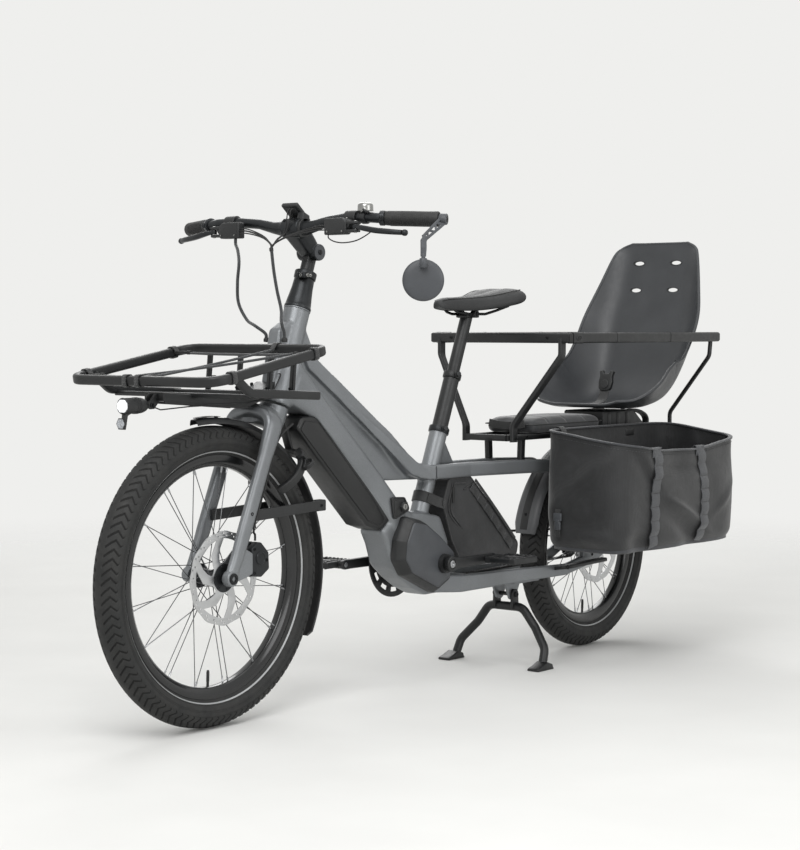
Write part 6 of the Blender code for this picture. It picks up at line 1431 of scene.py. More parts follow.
def seatSurface():
    stations, rowsCount, columns = seatLook["stations"], 84, 56
    lines = [spline([Vector((s[0], s[1], 0.0)) for s in stations], rowsCount),
             spline([Vector((s[2], s[3], 0.0)) for s in stations], rowsCount)]
    rows = []
    for index in range(rowsCount + 1):
        place, size = lines[0][index], lines[1][index]
        before, after = lines[0][max(index - 1, 0)], lines[0][min(index + 1, rowsCount)]
        along = Vector((after.x - before.x, 0.0, after.y - before.y)).normalized()
        inward = leftward.cross(along)
        half, wing = size.x, max(size.y, 0.002)
        row = []
        for column in range(columns + 1):
            t = -1 + 2 * column / columns
            turn = t * math.pi / 2
            aside = half * (math.sin(turn) * 0.72 + t * 0.28 if abs(t) < 1 else t)
            reach = abs(aside) / half
            rise = wing * max(0.0, (reach - 0.5) / 0.5) ** 2.1
            row.append(Vector((place.x, aside, place.y)) + inward * rise)
        rows.append(row)
    return rows


def makeChildSeat():
    rows = seatSurface()
    sheet = makeObject("ChildChairSkin", gridShape(rows))
    solid = sheet.modifiers.new("Solidify", "SOLIDIFY")
    solid.thickness, solid.offset = seatLook["wall"], 0.0
    settle(sheet)
    normals = bmesh.new()
    normals.from_mesh(sheet.data)
    bmesh.ops.recalc_face_normals(normals, faces=normals.faces)
    normals.to_mesh(sheet.data)
    normals.free()
    holes = [(-1.785 - (z - 0.95) * 0.23, side * 0.06, z, 0.0165, 0.0055) for z in (0.95, 1.026) for side in (1, -1)]
    cut = []
    for x, y, z, wide, tall in holes:
        ring = [(y + wide * c, z + tall * s) for c, s in turns(28)]
        cut.append(slab(ring, x - 0.05, x + 0.05, "YZ", 0))
    slotLow = [(-1.52 + 0.0045 * c, -0.06 + 0.018 * s) for c, s in turns(28)]
    cut.append(slab(slotLow, 0.6, 0.7, "XY", 0))
    tool = makeObject("SeatCut", merged(*cut))
    carve = sheet.modifiers.new("Carve", "BOOLEAN")
    carve.operation, carve.object, carve.solver = "DIFFERENCE", tool, "EXACT"
    settle(sheet)
    bpy.data.objects.remove(tool, do_unlink=True)
    dress(sheet, "seatShell", "frame", "child_seat", sharp=50.0)
    rim = [row[0] for row in rows] + rows[-1][1:] + [row[-1] for row in reversed(rows[:-1])] + rows[0][1:-1][::-1]
    piece("ChildChairRim", sweep(rim, ellipse(0.0078, 0.0086, 1.0, 14), forward, closed=True), "seatShell", "frame",
          sharp=None)
    # Dark rings round the slots: painted shade at the recessed slot edges; the rings also cover the cut's shading seams
    rings, tilt = [], Vector((1.0, 0.0, 0.24)).normalized()  # along the axis of the slots
    for x, y, z, wide, tall in holes:
        line = [Vector((x + 0.0036, y + (wide + 0.0012) * c, z + (tall + 0.0012) * s)) for c, s in turns(36)]
        rings.append(sweep(line, circle(0.0013, 8), tilt, closed=True))
    piece("ChairSlotShadeRims", rings, "mouldedNylon", "frame", sharp=None)
    # Harness: strap up from the floor, buckle with its round button and two tongues
    floor = Vector((-1.5, -0.004, 0.637))
    strap = spline([floor + Vector((x, 0, z)) for x, z in
                    ((0.052, 0.004), (0.01, 0.003), (-0.02, 0.01), (-0.034, 0.03), (-0.04, 0.046))], 30)
    piece("HarnessStrap", sweep(strap, roundedRect(0.03, 0.0022, 0.0008), leftward), "nylonWebbing", "frame",
          sharp=50.0)
    right = [(0.011, -0.021), (0.019, -0.014), (0.0215, 0.004), (0.019, 0.02), (0.0225, 0.034), (0.013, 0.0375),
             (0.008, 0.027)]
    left = [(-u, v) for u, v in reversed(right)]
    buckle = slab(left[-2:] + right + left[:-2], -0.0058, 0.0058, "YZ", 0.0028)
    button = lathe([(0.0, 0.0), (0.0125, 0.0), (0.0125, 0.0016), (0.0112, 0.0026), (0.0, 0.003)], (0.0058, 0, -0.003),
                   forward, 32)
    pose = Matrix.Translation(floor + Vector((-0.043, 0, 0.056))) @ Matrix.Rotation(math.radians(-14), 4, "Y")
    piece("HarnessBuckle", moved(merged(buckle, button), pose), "mouldedNylon", "frame")


def makeSeatBase():
    front, low = -1.425, 0.5787
    column = slab([(front - 0.005, low), (front - 0.002, 0.624), (front - 0.135, 0.624), (front - 0.16, 0.62),
                   (front - 0.215, low)], -0.064, 0.064, "XZ", 0.006)
    ribs = []
    for side in (1, -1):
        for x in (front - 0.03, front - 0.075, front - 0.12):
            ribs.append(brick((x, side * 0.064, (low + 0.622) / 2), (0.014, 0.0042, 0.036), 0.0018))
        blade = spline([(front - 0.12, side * 0.05, 0.619), (front - 0.165, side * 0.056, 0.6215),
                        (front - 0.2, side * 0.06, 0.612), (front - 0.215, side * 0.062, 0.598),
                        (front - 0.215, side * 0.062, low + 0.001)], 28)
        ribs.append(sweep(blade, roundedRect(0.02, 0.0075, 0.003), leftward))
    piece("ChairBaseBlock", [column, *ribs], "mouldedNylon", "frame", "child_seat_base")


makeChildSeat()
makeSeatBase()
print("child seat built")


# Cockpit: stem, bar, grips, pods and levers
stemLook = {"pivotHeight": 1.014, "reach": 0.055, "rise": 0.052, "pivotRadius": 0.019, "cheek": 0.0265,
            "barHalf": 0.372, "barRadius": 0.0111, "clampRadius": 0.0159}
stemPivot = headPoint(stemLook["pivotHeight"])
barCentre = stemPivot + Vector((stemLook["reach"], 0.0, stemLook["rise"]))


def barLine(side):
    points = [(0.0, 0.036, 0.0), (0.001, 0.06, 0.003), (0.004, 0.1, 0.012), (0.01, 0.16, 0.0172),
              (0.01, 0.222, 0.0165), (0.0065, 0.248, 0.0143), (-0.0475, 0.372, 0.01)]
    return [barCentre + mirrored(point, side) for point in points]


def atBar(ahead, aside, up):
    return barCentre + Vector((ahead, aside, up))


def makeStem():
    look = stemLook
    clamp = lathe([(0.0, -0.026), (0.0205, -0.026), (0.0228, -0.024), (0.0235, 0.0), (0.0228, 0.024),
                   (0.0205, 0.026), (0.0, 0.026)], barCentre, leftward, 48)
    arm = sweep([stemPivot, stemPivot.lerp(barCentre, 0.3), stemPivot.lerp(barCentre, 0.7), barCentre],
                roundedRect(0.048, 0.042, 0.013, 6), leftward, [0.84, 0.96, 1.04, 1.08])
    cheeks = [rod(stemPivot + leftward * side * 0.0125, stemPivot + leftward * side * look["cheek"],
                  look["pivotRadius"], 40) for side in (1, -1)]
    bore = rod(stemPivot - leftward * 0.0112, stemPivot + leftward * 0.0112, look["pivotRadius"] + 0.0026, 40)
    gap = sweep([stemPivot - headUp * 0.004, stemPivot - headUp * 0.06], roundedRect(0.0224, 0.05, 0.001), leftward)
    skin = melted("StemCasting", merged(clamp, arm, *cheeks), 0.0016, 5, merged(bore, gap))
    dress(skin, "anodisedBlack", "stem_head", "stem_head", sharp=None)
    discs, bolts = [], []
    for side in (1, -1):
        at = stemPivot + leftward * side * (look["cheek"] - 0.0004)
        discs.append(lathe([(0.0, 0.0), (0.0178, 0.0), (0.0178, 0.0012), (0.0168, 0.0022), (0.015, 0.0022),
                            (0.0144, 0.0014), (0.009, 0.0014), (0.0, 0.0014)], at, leftward * side, 48))
        bolts.append(screw(at + leftward * side * 0.0012, leftward * side, 0.0058, 0.0026))
        for up in (1, -1):  # four face-plate bolts
            lean = math.radians(-38 if up < 0 else 48)
            out = Vector((math.cos(lean), 0, math.sin(lean)))
            bolts.append(screw(barCentre + out * 0.0222 + leftward * side * 0.0155, out, 0.0042, 0.003))
    piece("StemHingeDiscs", discs, "shellNylon", "stem_head")
    bolts.append(rod(stemPivot - leftward * 0.03, stemPivot + leftward * 0.03, 0.0035, 12))
    seams = []
    for up in (62, -58):  # split between face plate and stem
        lean = math.radians(up)
        at = barCentre + Vector((math.cos(lean), 0, math.sin(lean))) * 0.0234
        seams.append(sweep([at - leftward * 0.022, at + leftward * 0.022], roundedRect(0.0012, 0.001, 0.0002),
                           forward))
    piece("StemBolts", [*bolts, *seams], "blackOxide", "stem_head")
    slideFoot = headPoint(0.8865 + 0.017)
    neck = stemPivot - headUp * (look["pivotRadius"] + 0.004)
    long = (neck - slideFoot).length
    post = lathe([(0.0, 0.0), (0.0155, 0.0), (0.0155, long - 0.006), (0.0142, long - 0.001), (0.0, long)], slideFoot,
                 headUp, 48)
    tongue = sweep([neck - headUp * 0.008, stemPivot], roundedRect(0.0204, 0.028, 0.004), leftward)
    eye = rod(stemPivot - leftward * 0.0102, stemPivot + leftward * 0.0102, look["pivotRadius"] - 0.0012, 40)
    marks = [lathe([(0.01548, s), (0.01556, s + 0.0001), (0.01556, s + 0.0007), (0.01548, s + 0.0008)],
                   headPoint(0.945 + 0.004 * n), headUp, 40) for n, s in enumerate((0.02, 0.021, 0.022))]
    piece("StemPost", [post, tongue, eye, *marks], "powderCoatBlack", "stem_post", "stem_post")
    # Tapered cover over the bearing, split collar with its ear and bolts
    low, high = headPoint(0.8865), headPoint(0.955)
    length = (high - low).length
    cone = lathe([(0.03, 0.0003), (0.0304, 0.0008), (0.0304, 0.0052), (0.0296, 0.006), (0.0292, 0.0068),
                  (0.0284, 0.014), (0.0262, 0.03), (0.0238, 0.05), (0.0228, length - 0.002),
                  (0.0222, length - 0.0008), (0.0244, length - 0.0006), (0.025, length), (0.025, length + 0.014),
                  (0.0242, length + 0.0152), (0.0164, length + 0.0152), (0.0161, length + 0.014), (0.0161, 0.0003),
                  (0.03, 0.0003)], low, headUp, 60)
    ear = brick((high.x + 0.021, 0.0165, high.z + 0.0075), (0.021, 0.019, 0.0125), 0.0032)
    split = brick((high.x + 0.025, 0.007, high.z + 0.0075), (0.016, 0.0052, 0.0128), 0.0012)
    piece("HeadsetCover", [cone, ear, split], "anodisedBlack", "steering", "headset_cover")
    collar = [screw((high.x + 0.0212, 0.0262, high.z + 0.0075), leftward, 0.0046, 0.0032),
              screw((high.x + 0.03, 0.0165, high.z + 0.0075), forward, 0.0036, 0.0026)]
    out = Vector((math.cos(math.radians(68)), math.sin(math.radians(68)), 0))
    collar.append(screw(high + headUp * 0.0076 + out * 0.0245, out, 0.0036, 0.002))
    piece("CollarBolts", collar, "nickelPlate", "steering")


def makeHandlebar():
    look = stemLook
    line = barLine(-1)[::-1] + barLine(1)
    path = filleted(line, 0.03, 6)
    thick = look["clampRadius"] / look["barRadius"]
    scales = []
    for point in path:
        reach = abs(point.y - barCentre.y)
        scales.append(thick + (1 - thick) * clamp((reach - 0.04) / 0.045) ** 0.8)
    bar = sweep(path, circle(look["barRadius"], 28), upward, scales)
    core = rod(barCentre - leftward * 0.038, barCentre + leftward * 0.038, look["clampRadius"], 40)
    piece("Handlebar", [bar, core], "anodisedBlack", "stem_head", "handlebar")
    for name, side, stands in (("GripLeft", 1, "grip_left"), ("GripRight", -1, "grip_right")):
        start, end = barLine(side)[-2:]
        along = (end - start).normalized()
        length = (end - start).length
        rubber = lathe([(0.012, 0.016), (0.0148, 0.0162), (0.0154, 0.0175), (0.0158, 0.023), (0.016, 0.04),
                        (0.0162, 0.075), (0.016, 0.105), (0.0164, length - 0.008), (0.0165, length - 0.004),
                        (0.0155, length - 0.002), (0.012, length - 0.002)], start, along, 56)
        fore = (forward - along * forward.dot(along)).normalized()
        down = fore.cross(along).normalized()
        if down.z > 0:
            down = -down
        ribs = []
        for n in range(19):  # ribbed panel on the front of the grip
            at = start + along * (0.034 + 0.0044 * n)
            half = 46 - 0.55 * (n - 9) ** 2 * 0.35
            bends = [math.radians((-half + 10) + (2 * half) * s / 14) for s in range(15)]
            arc = [at + (fore * math.cos(bend) + down * math.sin(bend)) * 0.01625 for bend in bends]
            ribs.append(sweep(arc, roundedRect(0.0022, 0.0012, 0.0004), along))
        for turn in (100, 125, 150, 175, 200, 225):  # fine long grooves on the back
            offset = fore * math.cos(math.radians(turn)) + down * math.sin(math.radians(turn))
            groove = [start + along * 0.026 + offset * 0.016, start + along * (length - 0.014) + offset * 0.0162]
            ribs.append(sweep(groove, roundedRect(0.0018, 0.0008, 0.0003), offset))
        piece(name, [rubber, *ribs], "softRubber", "stem_head", stands, sharp=40.0)
        ring = lathe([(0.0112, 0.0038), (0.0154, 0.0038), (0.0164, 0.0048), (0.0164, 0.0135), (0.0156, 0.0148),
                      (0.0112, 0.0148)], start, along, 48)
        ear = brick(start + along * 0.0092 + fore * 0.0165, (0.007, 0.007, 0.011), 0.0018)
        piece(name + "Clamp", [ring, ear], "anodisedBlack", "stem_head")
        piece(name + "Bolt", screw(start + along * 0.0092 + fore * 0.0195, fore, 0.0026, 0.0016), "blackOxide",
              "stem_head")
        if side < 0:
            plug = lathe([(0.0, -0.002), (0.0132, -0.002), (0.014, 0.0), (0.012, 0.0022), (0.0, 0.003)], end, along,
                         40)
            piece("BarPlug", plug, "mouldedNylon", "stem_head")


makeStem()
makeHandlebar()
print("stem and bar built")


def leverPivot(side):
    return atBar(0.0385, side * 0.21, -0.004)


def makeControls():
    for name, lever, side in (("Left", "lever_left", 1), ("Right", "lever_right", -1)):
        line = barLine(side)
        along = (line[4] - line[3]).normalized()
        pivot = leverPivot(side)
        ring = lathe([(0.0113, 0.0036), (0.015, 0.0036), (0.0156, 0.0044), (0.0156, 0.0336), (0.015, 0.0344),
                      (0.0113, 0.0344)], line[3], along, 40)
        podOutline = [(-0.031, -0.018), (0.026, -0.018), (0.031, -0.012), (0.031, 0.01), (0.02, 0.018),
                      (-0.031, 0.018)]
        pod = slab([(barCentre.y + side * (0.158 + u), barCentre.z - 0.002 + v) for u, v in podOutline],
                   barCentre.x + 0.025, barCentre.x + 0.047, "YZ", 0.003)
        lid = slab([(barCentre.y + side * (0.158 + u * 0.86), barCentre.z - 0.002 + v * 0.82) for u, v in podOutline],
                   barCentre.x + 0.0468, barCentre.x + 0.048, "YZ", 0.0008)
        buttons = [brick(atBar(0.018, side * (0.146 + 0.012 * n), 0.0155), (0.013, 0.0085, 0.006), 0.0022)
                   for n in range(3)]
        neck = brick(atBar(0.018, side * 0.166, 0.004), (0.02, 0.03, 0.024), 0.004, 4)
        tank = sweep([atBar(0.03, side * 0.168, 0.005), atBar(0.031, side * 0.186, 0.0035),
                      pivot + Vector((-0.004, -side * 0.012, 0.001))], roundedRect(0.019, 0.022, 0.007), upward,
                     [0.9, 1.04, 0.92])
        upper = slab([(pivot.x - 0.013, pivot.y - side * 0.03), (pivot.x + 0.0065, pivot.y - side * 0.026),
                      (pivot.x + 0.0085, pivot.y + side * 0.003), (pivot.x + 0.002, pivot.y + side * 0.0085),
                      (pivot.x - 0.01, pivot.y + side * 0.006)], pivot.z + 0.0056, pivot.z + 0.012, "XY", 0.0018)
        lower = moved(upper, Matrix.Translation((0, 0, -0.0176)))
        piece("Control" + name, [ring, pod, lid, neck, tank, upper, lower], "mouldedNylon", "stem_head",
              "controls_left" if side > 0 else "controls_right")
        piece("Buttons" + name, buttons, "softRubber", "stem_head")
        bolts = [screw(pivot + upward * 0.0114, upward, 0.004, 0.002),
                 screw(pivot - upward * 0.0114, -upward, 0.004, 0.002),
                 screw(atBar(0.0272, side * 0.176, 0.0155), upward, 0.0026, 0.0018),
                 *(screw(atBar(0.0488, side * y, -0.013), forward, 0.002, 0.0012) for y in (0.138, 0.18))]
        piece("ControlBolts" + name, bolts, "nickelPlate", "stem_head")
        bladePath = spline([pivot + mirrored(point, side) for point in
                            ((0.0, 0.0, 0.0), (0.0045, 0.014, -0.002), (0.0055, 0.03, -0.005), (0.003, 0.058, -0.01),
                             (-0.004, 0.092, -0.0135), (-0.013, 0.116, -0.0155))], 40)
        flat = ellipse(0.012, 0.0125, 0.75, 20)
        scales = [0.68 + 0.34 * math.sin(math.pi * min(s / 40 * 0.9, 1.0)) + 0.12 * (s / 40) ** 3 for s in range(41)]
        arm = sweep(bladePath, flat, upward, scales)
        tip = pivot + mirrored((-0.0165, 0.1215, -0.016), side)
        outward = (bladePath[-1] - bladePath[-3]).normalized()
        ball = lathe([(0.0, -0.0084), (0.0044, -0.007), (0.0068, -0.0026), (0.007, 0.0016), (0.0058, 0.005),
                      (0.0032, 0.0068), (0.0, 0.0072)], tip, outward, 28)
        hub = rod(pivot - upward * 0.0046, pivot + upward * 0.0046, 0.0066, 28)
        piece("Lever" + name, [arm, ball, hub], "anodisedBlack", lever, lever, sharp=40.0)


def makeDisplay():
    slope = Vector((-0.045, 0.0, -0.038)).normalized()
    middle = atBar(-0.005, 0.0, 0.0345)
    turn = Matrix.Rotation(-math.atan2(-slope.z, -slope.x), 4, "Y").to_quaternion()
    body = brick(middle, (0.058, 0.046, 0.0098), 0.003, 4, turn)
    screen = brick(middle + turn @ Vector((0, 0, 0.0044)), (0.05, 0.0385, 0.0016), 0.0007, 2, turn)
    low = 0.0242
    strap = lathe([(0.016, 0.0003), (0.0205, 0.0003), (0.021, 0.0012), (0.021, 0.0082), (0.0204, 0.009),
                   (0.016, 0.009)], barCentre + leftward * low, leftward, 40)
    post = slab([(barCentre.x - 0.016, barCentre.z + 0.008), (barCentre.x + 0.01, barCentre.z + 0.014),
                 (barCentre.x + 0.006, barCentre.z + 0.036), (barCentre.x - 0.014, barCentre.z + 0.028)],
                0.015, low + 0.009, "XZ", 0.0018)
    foot = brick(middle + turn @ Vector((0.012, 0, -0.0062)), (0.02, 0.03, 0.005), 0.0018, 3, turn)
    piece("DisplayBody", [body, strap, post, foot], "mouldedNylon", "stem_head", "display")
    piece("DisplayScreen", screen, "batteryGloss", "stem_head")
    leads = []
    for aside, end in ((0.006, 0.0), (0.014, 0.004)):
        start = middle + turn @ Vector((0.02, aside, -0.005))
        line = [start, start + Vector((0.012, -0.002, -0.006)), atBar(0.027, aside - 0.006, 0.01),
                atBar(0.029, -0.006 + end, -0.012), atBar(0.04, -0.016 + end, -0.025),
                atBar(0.052, -0.02 + end * 0.4, -0.042)]
        leads.append(sweep(spline(line, 40), circle(0.0013, 10), leftward))
    piece("DisplayLeads", leads, "softRubber", "stem_head")
    line = barLine(1)
    along = (line[4] - line[3]).normalized()
    at = line[3] + along * 0.054
    base = at + upward * 0.0126
    ring = lathe([(0.0113, -0.006), (0.0138, -0.006), (0.0142, -0.005), (0.0142, 0.005), (0.0138, 0.006),
                  (0.0113, 0.006)], at, along, 36)
    striker = sweep(spline([base + Vector((0.006, 0.012, -0.004)), base + Vector((0.018, 0.017, -0.001)),
                            base + Vector((0.026, 0.014, 0.004))], 12), roundedRect(0.005, 0.002, 0.0008), upward)
    stalk = rod(base - upward * 0.004, base + upward * 0.002, 0.007, 24)
    piece("BellBase", [ring, striker, stalk], "mouldedNylon", "stem_head")
    cup = lathe([(0.0, 0.0012), (0.016, 0.001), (0.0172, 0.0006), (0.0176, 0.0014), (0.0172, 0.0026), (0.017, 0.011),
                 (0.0166, 0.014), (0.015, 0.0168), (0.011, 0.0188), (0.006, 0.0196), (0.003, 0.0198),
                 (0.0028, 0.0208), (0.0, 0.0211)], base, upward, 56)
    piece("BellCup", cup, "nickelPlate", "stem_head", "bell", sharp=40.0)


def makeMirror():
    start, end = barLine(1)[-2:]
    along = (end - start).normalized()
    yaw = math.radians(38.5)  # the back looks this far round from straight ahead
    facing = Vector((math.cos(yaw), math.sin(yaw), 0.0))
    disc = atBar(0.03, stemLook["barHalf"] + 0.016, -0.121)
    hinge = disc + facing * 0.0165
    plug = lathe([(0.0, 0.0003), (0.0118, 0.0003), (0.0122, 0.0015), (0.0122, 0.014), (0.0108, 0.016),
                  (0.0086, 0.0164), (0.008, 0.0152), (0.0, 0.0152)], end, along, 40)
    top = end + along * 0.0095
    knee = Vector((hinge.x - 0.014, end.y + 0.018, hinge.z + 0.088))
    foot = Vector((hinge.x, hinge.y, hinge.z + 0.049))
    down = (knee - top).normalized()
    aside = down.cross(facing).normalized()
    # Upper arm: two rails with webs that leave triangular windows
    rails = []
    for edge in (-1, 1):
        line = [top + aside * edge * 0.007 + down * 0.004, top.lerp(knee, 0.55) + aside * edge * 0.0056,
                knee + aside * edge * 0.0042]
        rails.append(sweep(line, roundedRect(0.0032, 0.0062, 0.001), facing))
    for n in range(4):
        a = top.lerp(knee, 0.16 + 0.2 * n) + aside * 0.0064 * (1 if n % 2 else -1)
        b = top.lerp(knee, 0.3 + 0.2 * n) + aside * 0.0056 * (-1 if n % 2 else 1)
        rails.append(sweep([a, b], roundedRect(0.0026, 0.005, 0.0006), facing))
    rails.append(sweep([knee - down * 0.006, knee + Vector((0.004, 0.001, -0.006)),
                        Vector((hinge.x - 0.001, hinge.y, hinge.z + 0.066)), foot],
                       roundedRect(0.0125, 0.007, 0.0018), aside, [0.9, 1.0, 1.0, 0.94]))
    pin = rod(hinge + upward * 0.026, hinge + upward * 0.056, 0.0043, 20)
    piece("MirrorArm", [plug, pin, *rails], "shellNylon", "mirror_arm", "mirror_arm")
    piece("MirrorArmBolt", screw(end + along * 0.0148, along, 0.006, 0.0024), "blackOxide", "mirror_arm")
    back = lathe([(0.0, -0.006), (0.0395, -0.006), (0.0425, -0.0052), (0.044, -0.003), (0.044, 0.0002),
                  (0.0425, 0.0028), (0.0385, 0.0046), (0.03, 0.006), (0.018, 0.0068), (0.0, 0.007)], disc, facing, 72)
    seated = upward * 0.0355  # the socket sits at the rim of the disc
    socket = lathe([(0.0, -0.01), (0.0072, -0.01), (0.008, -0.009), (0.008, 0.0085), (0.007, 0.01), (0.0048, 0.01)],
                   hinge + seated, upward, 32)
    turn = Matrix.Rotation(yaw, 4, "Z").to_quaternion()
    neck = brick(disc + facing * 0.008 + upward * 0.033, (0.014, 0.012, 0.016), 0.003, 3, turn)
    piece("MirrorBack", [back, socket, neck], "shellNylon", "mirror_head", "mirror_head", sharp=40.0)
    glass = lathe([(0.0, 0.0), (0.0392, 0.0), (0.0396, 0.0004), (0.0, 0.0006)], disc - facing * 0.0067, facing, 72)
    piece("MirrorGlass", glass, "nickelPlate", "mirror_head")


makeControls()
makeDisplay()
makeMirror()
print("controls built")

# Hoses: each run is cut into three stretches where it crosses the tilt and slide heights, and each stretch stays fixed
# where it is built
hoseLook = {"portHeight": 0.8205, "tiltTop": 1.04, "tiltLow": 0.985, "slideLow": 0.945, "turnLow": 0.832,
            "round": 0.0036}


def hoseRun(name, line, stands):
    look = hoseLook
    path = spline(line, 150)
    cuts = [look["tiltLow"], look["slideLow"]]
    runs, current, level = [], [path[0]], 0
    for before, after in zip(path, path[1:]):
        while level < 2 and before.z >= cuts[level] > after.z:
            share = (before.z - cuts[level]) / (before.z - after.z)
            joinPoint = before.lerp(after, share)
            current.append(joinPoint)
            runs.append(current)
            current = [joinPoint]
            level += 1
        current.append(after)
    runs.append(current)
    spans = [("stem_head", "stem_post", look["tiltTop"], look["tiltLow"]),
             ("stem_post", "steering", look["tiltLow"], look["slideLow"]),
             ("steering", "frame", look["slideLow"], look["turnLow"])]
    for index, (run, span) in enumerate(zip(runs, spans)):
        near = run[-1]
        body = (span[0], span[1], Vector((near.x, near.y, span[2])), Vector((near.x, near.y, span[3])))
        piece(name + ("Upper", "Middle", "Lower")[index], sweep(run, circle(look["round"], 16), forward),
              "braidedSleeve", body, () if index else stands, sharp=60.0)


def makeHoses():
    look = hoseLook
    portX = headX(look["portHeight"]) + 0.048
    right = [atBar(0.04, -0.142, -0.019), atBar(0.042, -0.1395, -0.033), atBar(0.056, -0.12, -0.048),
             atBar(0.069, -0.104, -0.076), atBar(0.072, -0.106, -0.12), atBar(0.071, -0.104, -0.165),
             atBar(0.064, -0.086, -0.202), Vector((portX + 0.01, -0.053, look["portHeight"] + 0.03)),
             Vector((portX + 0.001, -0.03, look["portHeight"] + 0.013)),
             Vector((portX, -0.027, look["portHeight"] + 0.0003))]
    hoseRun("HoseRight", right, "hose_right")
    meet = atBar(0.053, -0.0205, -0.048)
    sleeve = [meet, atBar(0.0548, -0.016, -0.07), atBar(0.0562, -0.01, -0.1), atBar(0.0562, -0.001, -0.14),
              atBar(0.0545, 0.009, -0.18), Vector((portX + 0.0035, 0.021, look["portHeight"] + 0.038)),
              Vector((portX + 0.001, 0.0265, look["portHeight"] + 0.016)),
              Vector((portX, 0.027, look["portHeight"] + 0.0003))]
    hoseRun("HoseBundle", sleeve, "hose_bundle")
    leads = []
    for aside in (1, -1):
        for n, (offset, drop) in enumerate(((0.0, 0.0), (0.0022, -0.005), (-0.0018, 0.0046))):
            line = [atBar(0.042 + offset, aside * 0.1275, -0.004 + drop),
                    atBar(0.043 + offset, aside * 0.105, -0.0046 + drop),
                    atBar(0.047 + offset, aside * 0.062 - 0.006, -0.013 + drop * 0.6),
                    atBar(0.05 + offset * 0.5, aside * 0.026 - 0.014, -0.024 + drop * 0.3),
                    atBar(0.052, -0.0205 + aside * 0.0012 * n, -0.04), meet - upward * 0.004]
            leads.append(sweep(spline(line, 44), circle(0.0019 if n == 0 else 0.0015, 10), upward))
    tie = lathe([(0.0, 0.0), (0.0042, 0.0), (0.0046, 0.001), (0.0046, 0.007), (0.004, 0.008), (0.0, 0.008)],
                meet - upward * 0.004, Vector((-0.05, -0.15, 1.0)).normalized(), 24)
    piece("BundleLeads", [*leads, tie], "softRubber", "stem_head")
    loop = [atBar(0.04, 0.134, -0.0195), atBar(0.0405, 0.136, -0.027), atBar(0.04, 0.152, -0.0345),
            atBar(0.037, 0.176, -0.0375), atBar(0.028, 0.204, -0.033), atBar(0.02, 0.229, -0.02),
            atBar(0.016, 0.244, -0.0075)]
    piece("ControlLead", sweep(spline(loop, 60), circle(0.0014, 10), upward), "softRubber", "stem_head",
          "control_lead")
    nozzles = [lathe([(0.0, -0.007), (0.0062, -0.0062), (0.0066, -0.001), (0.0052, 0.002), (0.0042, 0.0034),
                      (0.0, 0.0034)], (portX, side * 0.027, look["portHeight"]), upward, 24) for side in (1, -1)]
    piece("HosePorts", nozzles, "softRubber", "frame")
    legY = forkLook["legSide"]
    top = Vector((-0.09, legY - 0.012, frontAxle.z + 0.0725))
    line = [headLocal(-0.004, -0.04) + leftward * (legY + 0.004), Vector((forkLegX(0.6) - 0.027, legY, 0.6)),
            Vector((forkLegX(0.5) - 0.0265, legY, 0.5)), Vector((forkLegX(0.42) - 0.0275, legY, 0.42)),
            Vector((top.x, top.y, top.z + 0.012)), top]
    clips = [lathe([(0.0026, -0.003), (0.0042, -0.003), (0.0042, 0.003), (0.0026, 0.003)],
                   (forkLegX(z) - x, legY, z), upward, 16) for z, x in ((0.5, 0.0265), (0.42, 0.0275))]
    piece("FrontBrakeHose", [sweep(spline(line, 90), circle(0.0025, 14), leftward), *clips], "softRubber", "steering",
          "front_brake_hose")


makeHoses()
print("hoses built")


# Main frame: tubes melted into one skin, then battery, lock and motor
frameLook = {"topHalf": 0.023, "webHalf": 0.011, "bandDeep": 0.034, "topRearHalf": 0.046, "downHalf": 0.038,
             "railTop": 0.516, "railTall": 0.035, "voxel": 0.003, "motorRadius": 0.06, "coverThick": 0.0365}
crankX, crankZ, downHalf = crankCentre.x, crankCentre.z, frameLook["downHalf"]
railTop, railLow = frameLook["railTop"], frameLook["railTop"] - frameLook["railTall"]


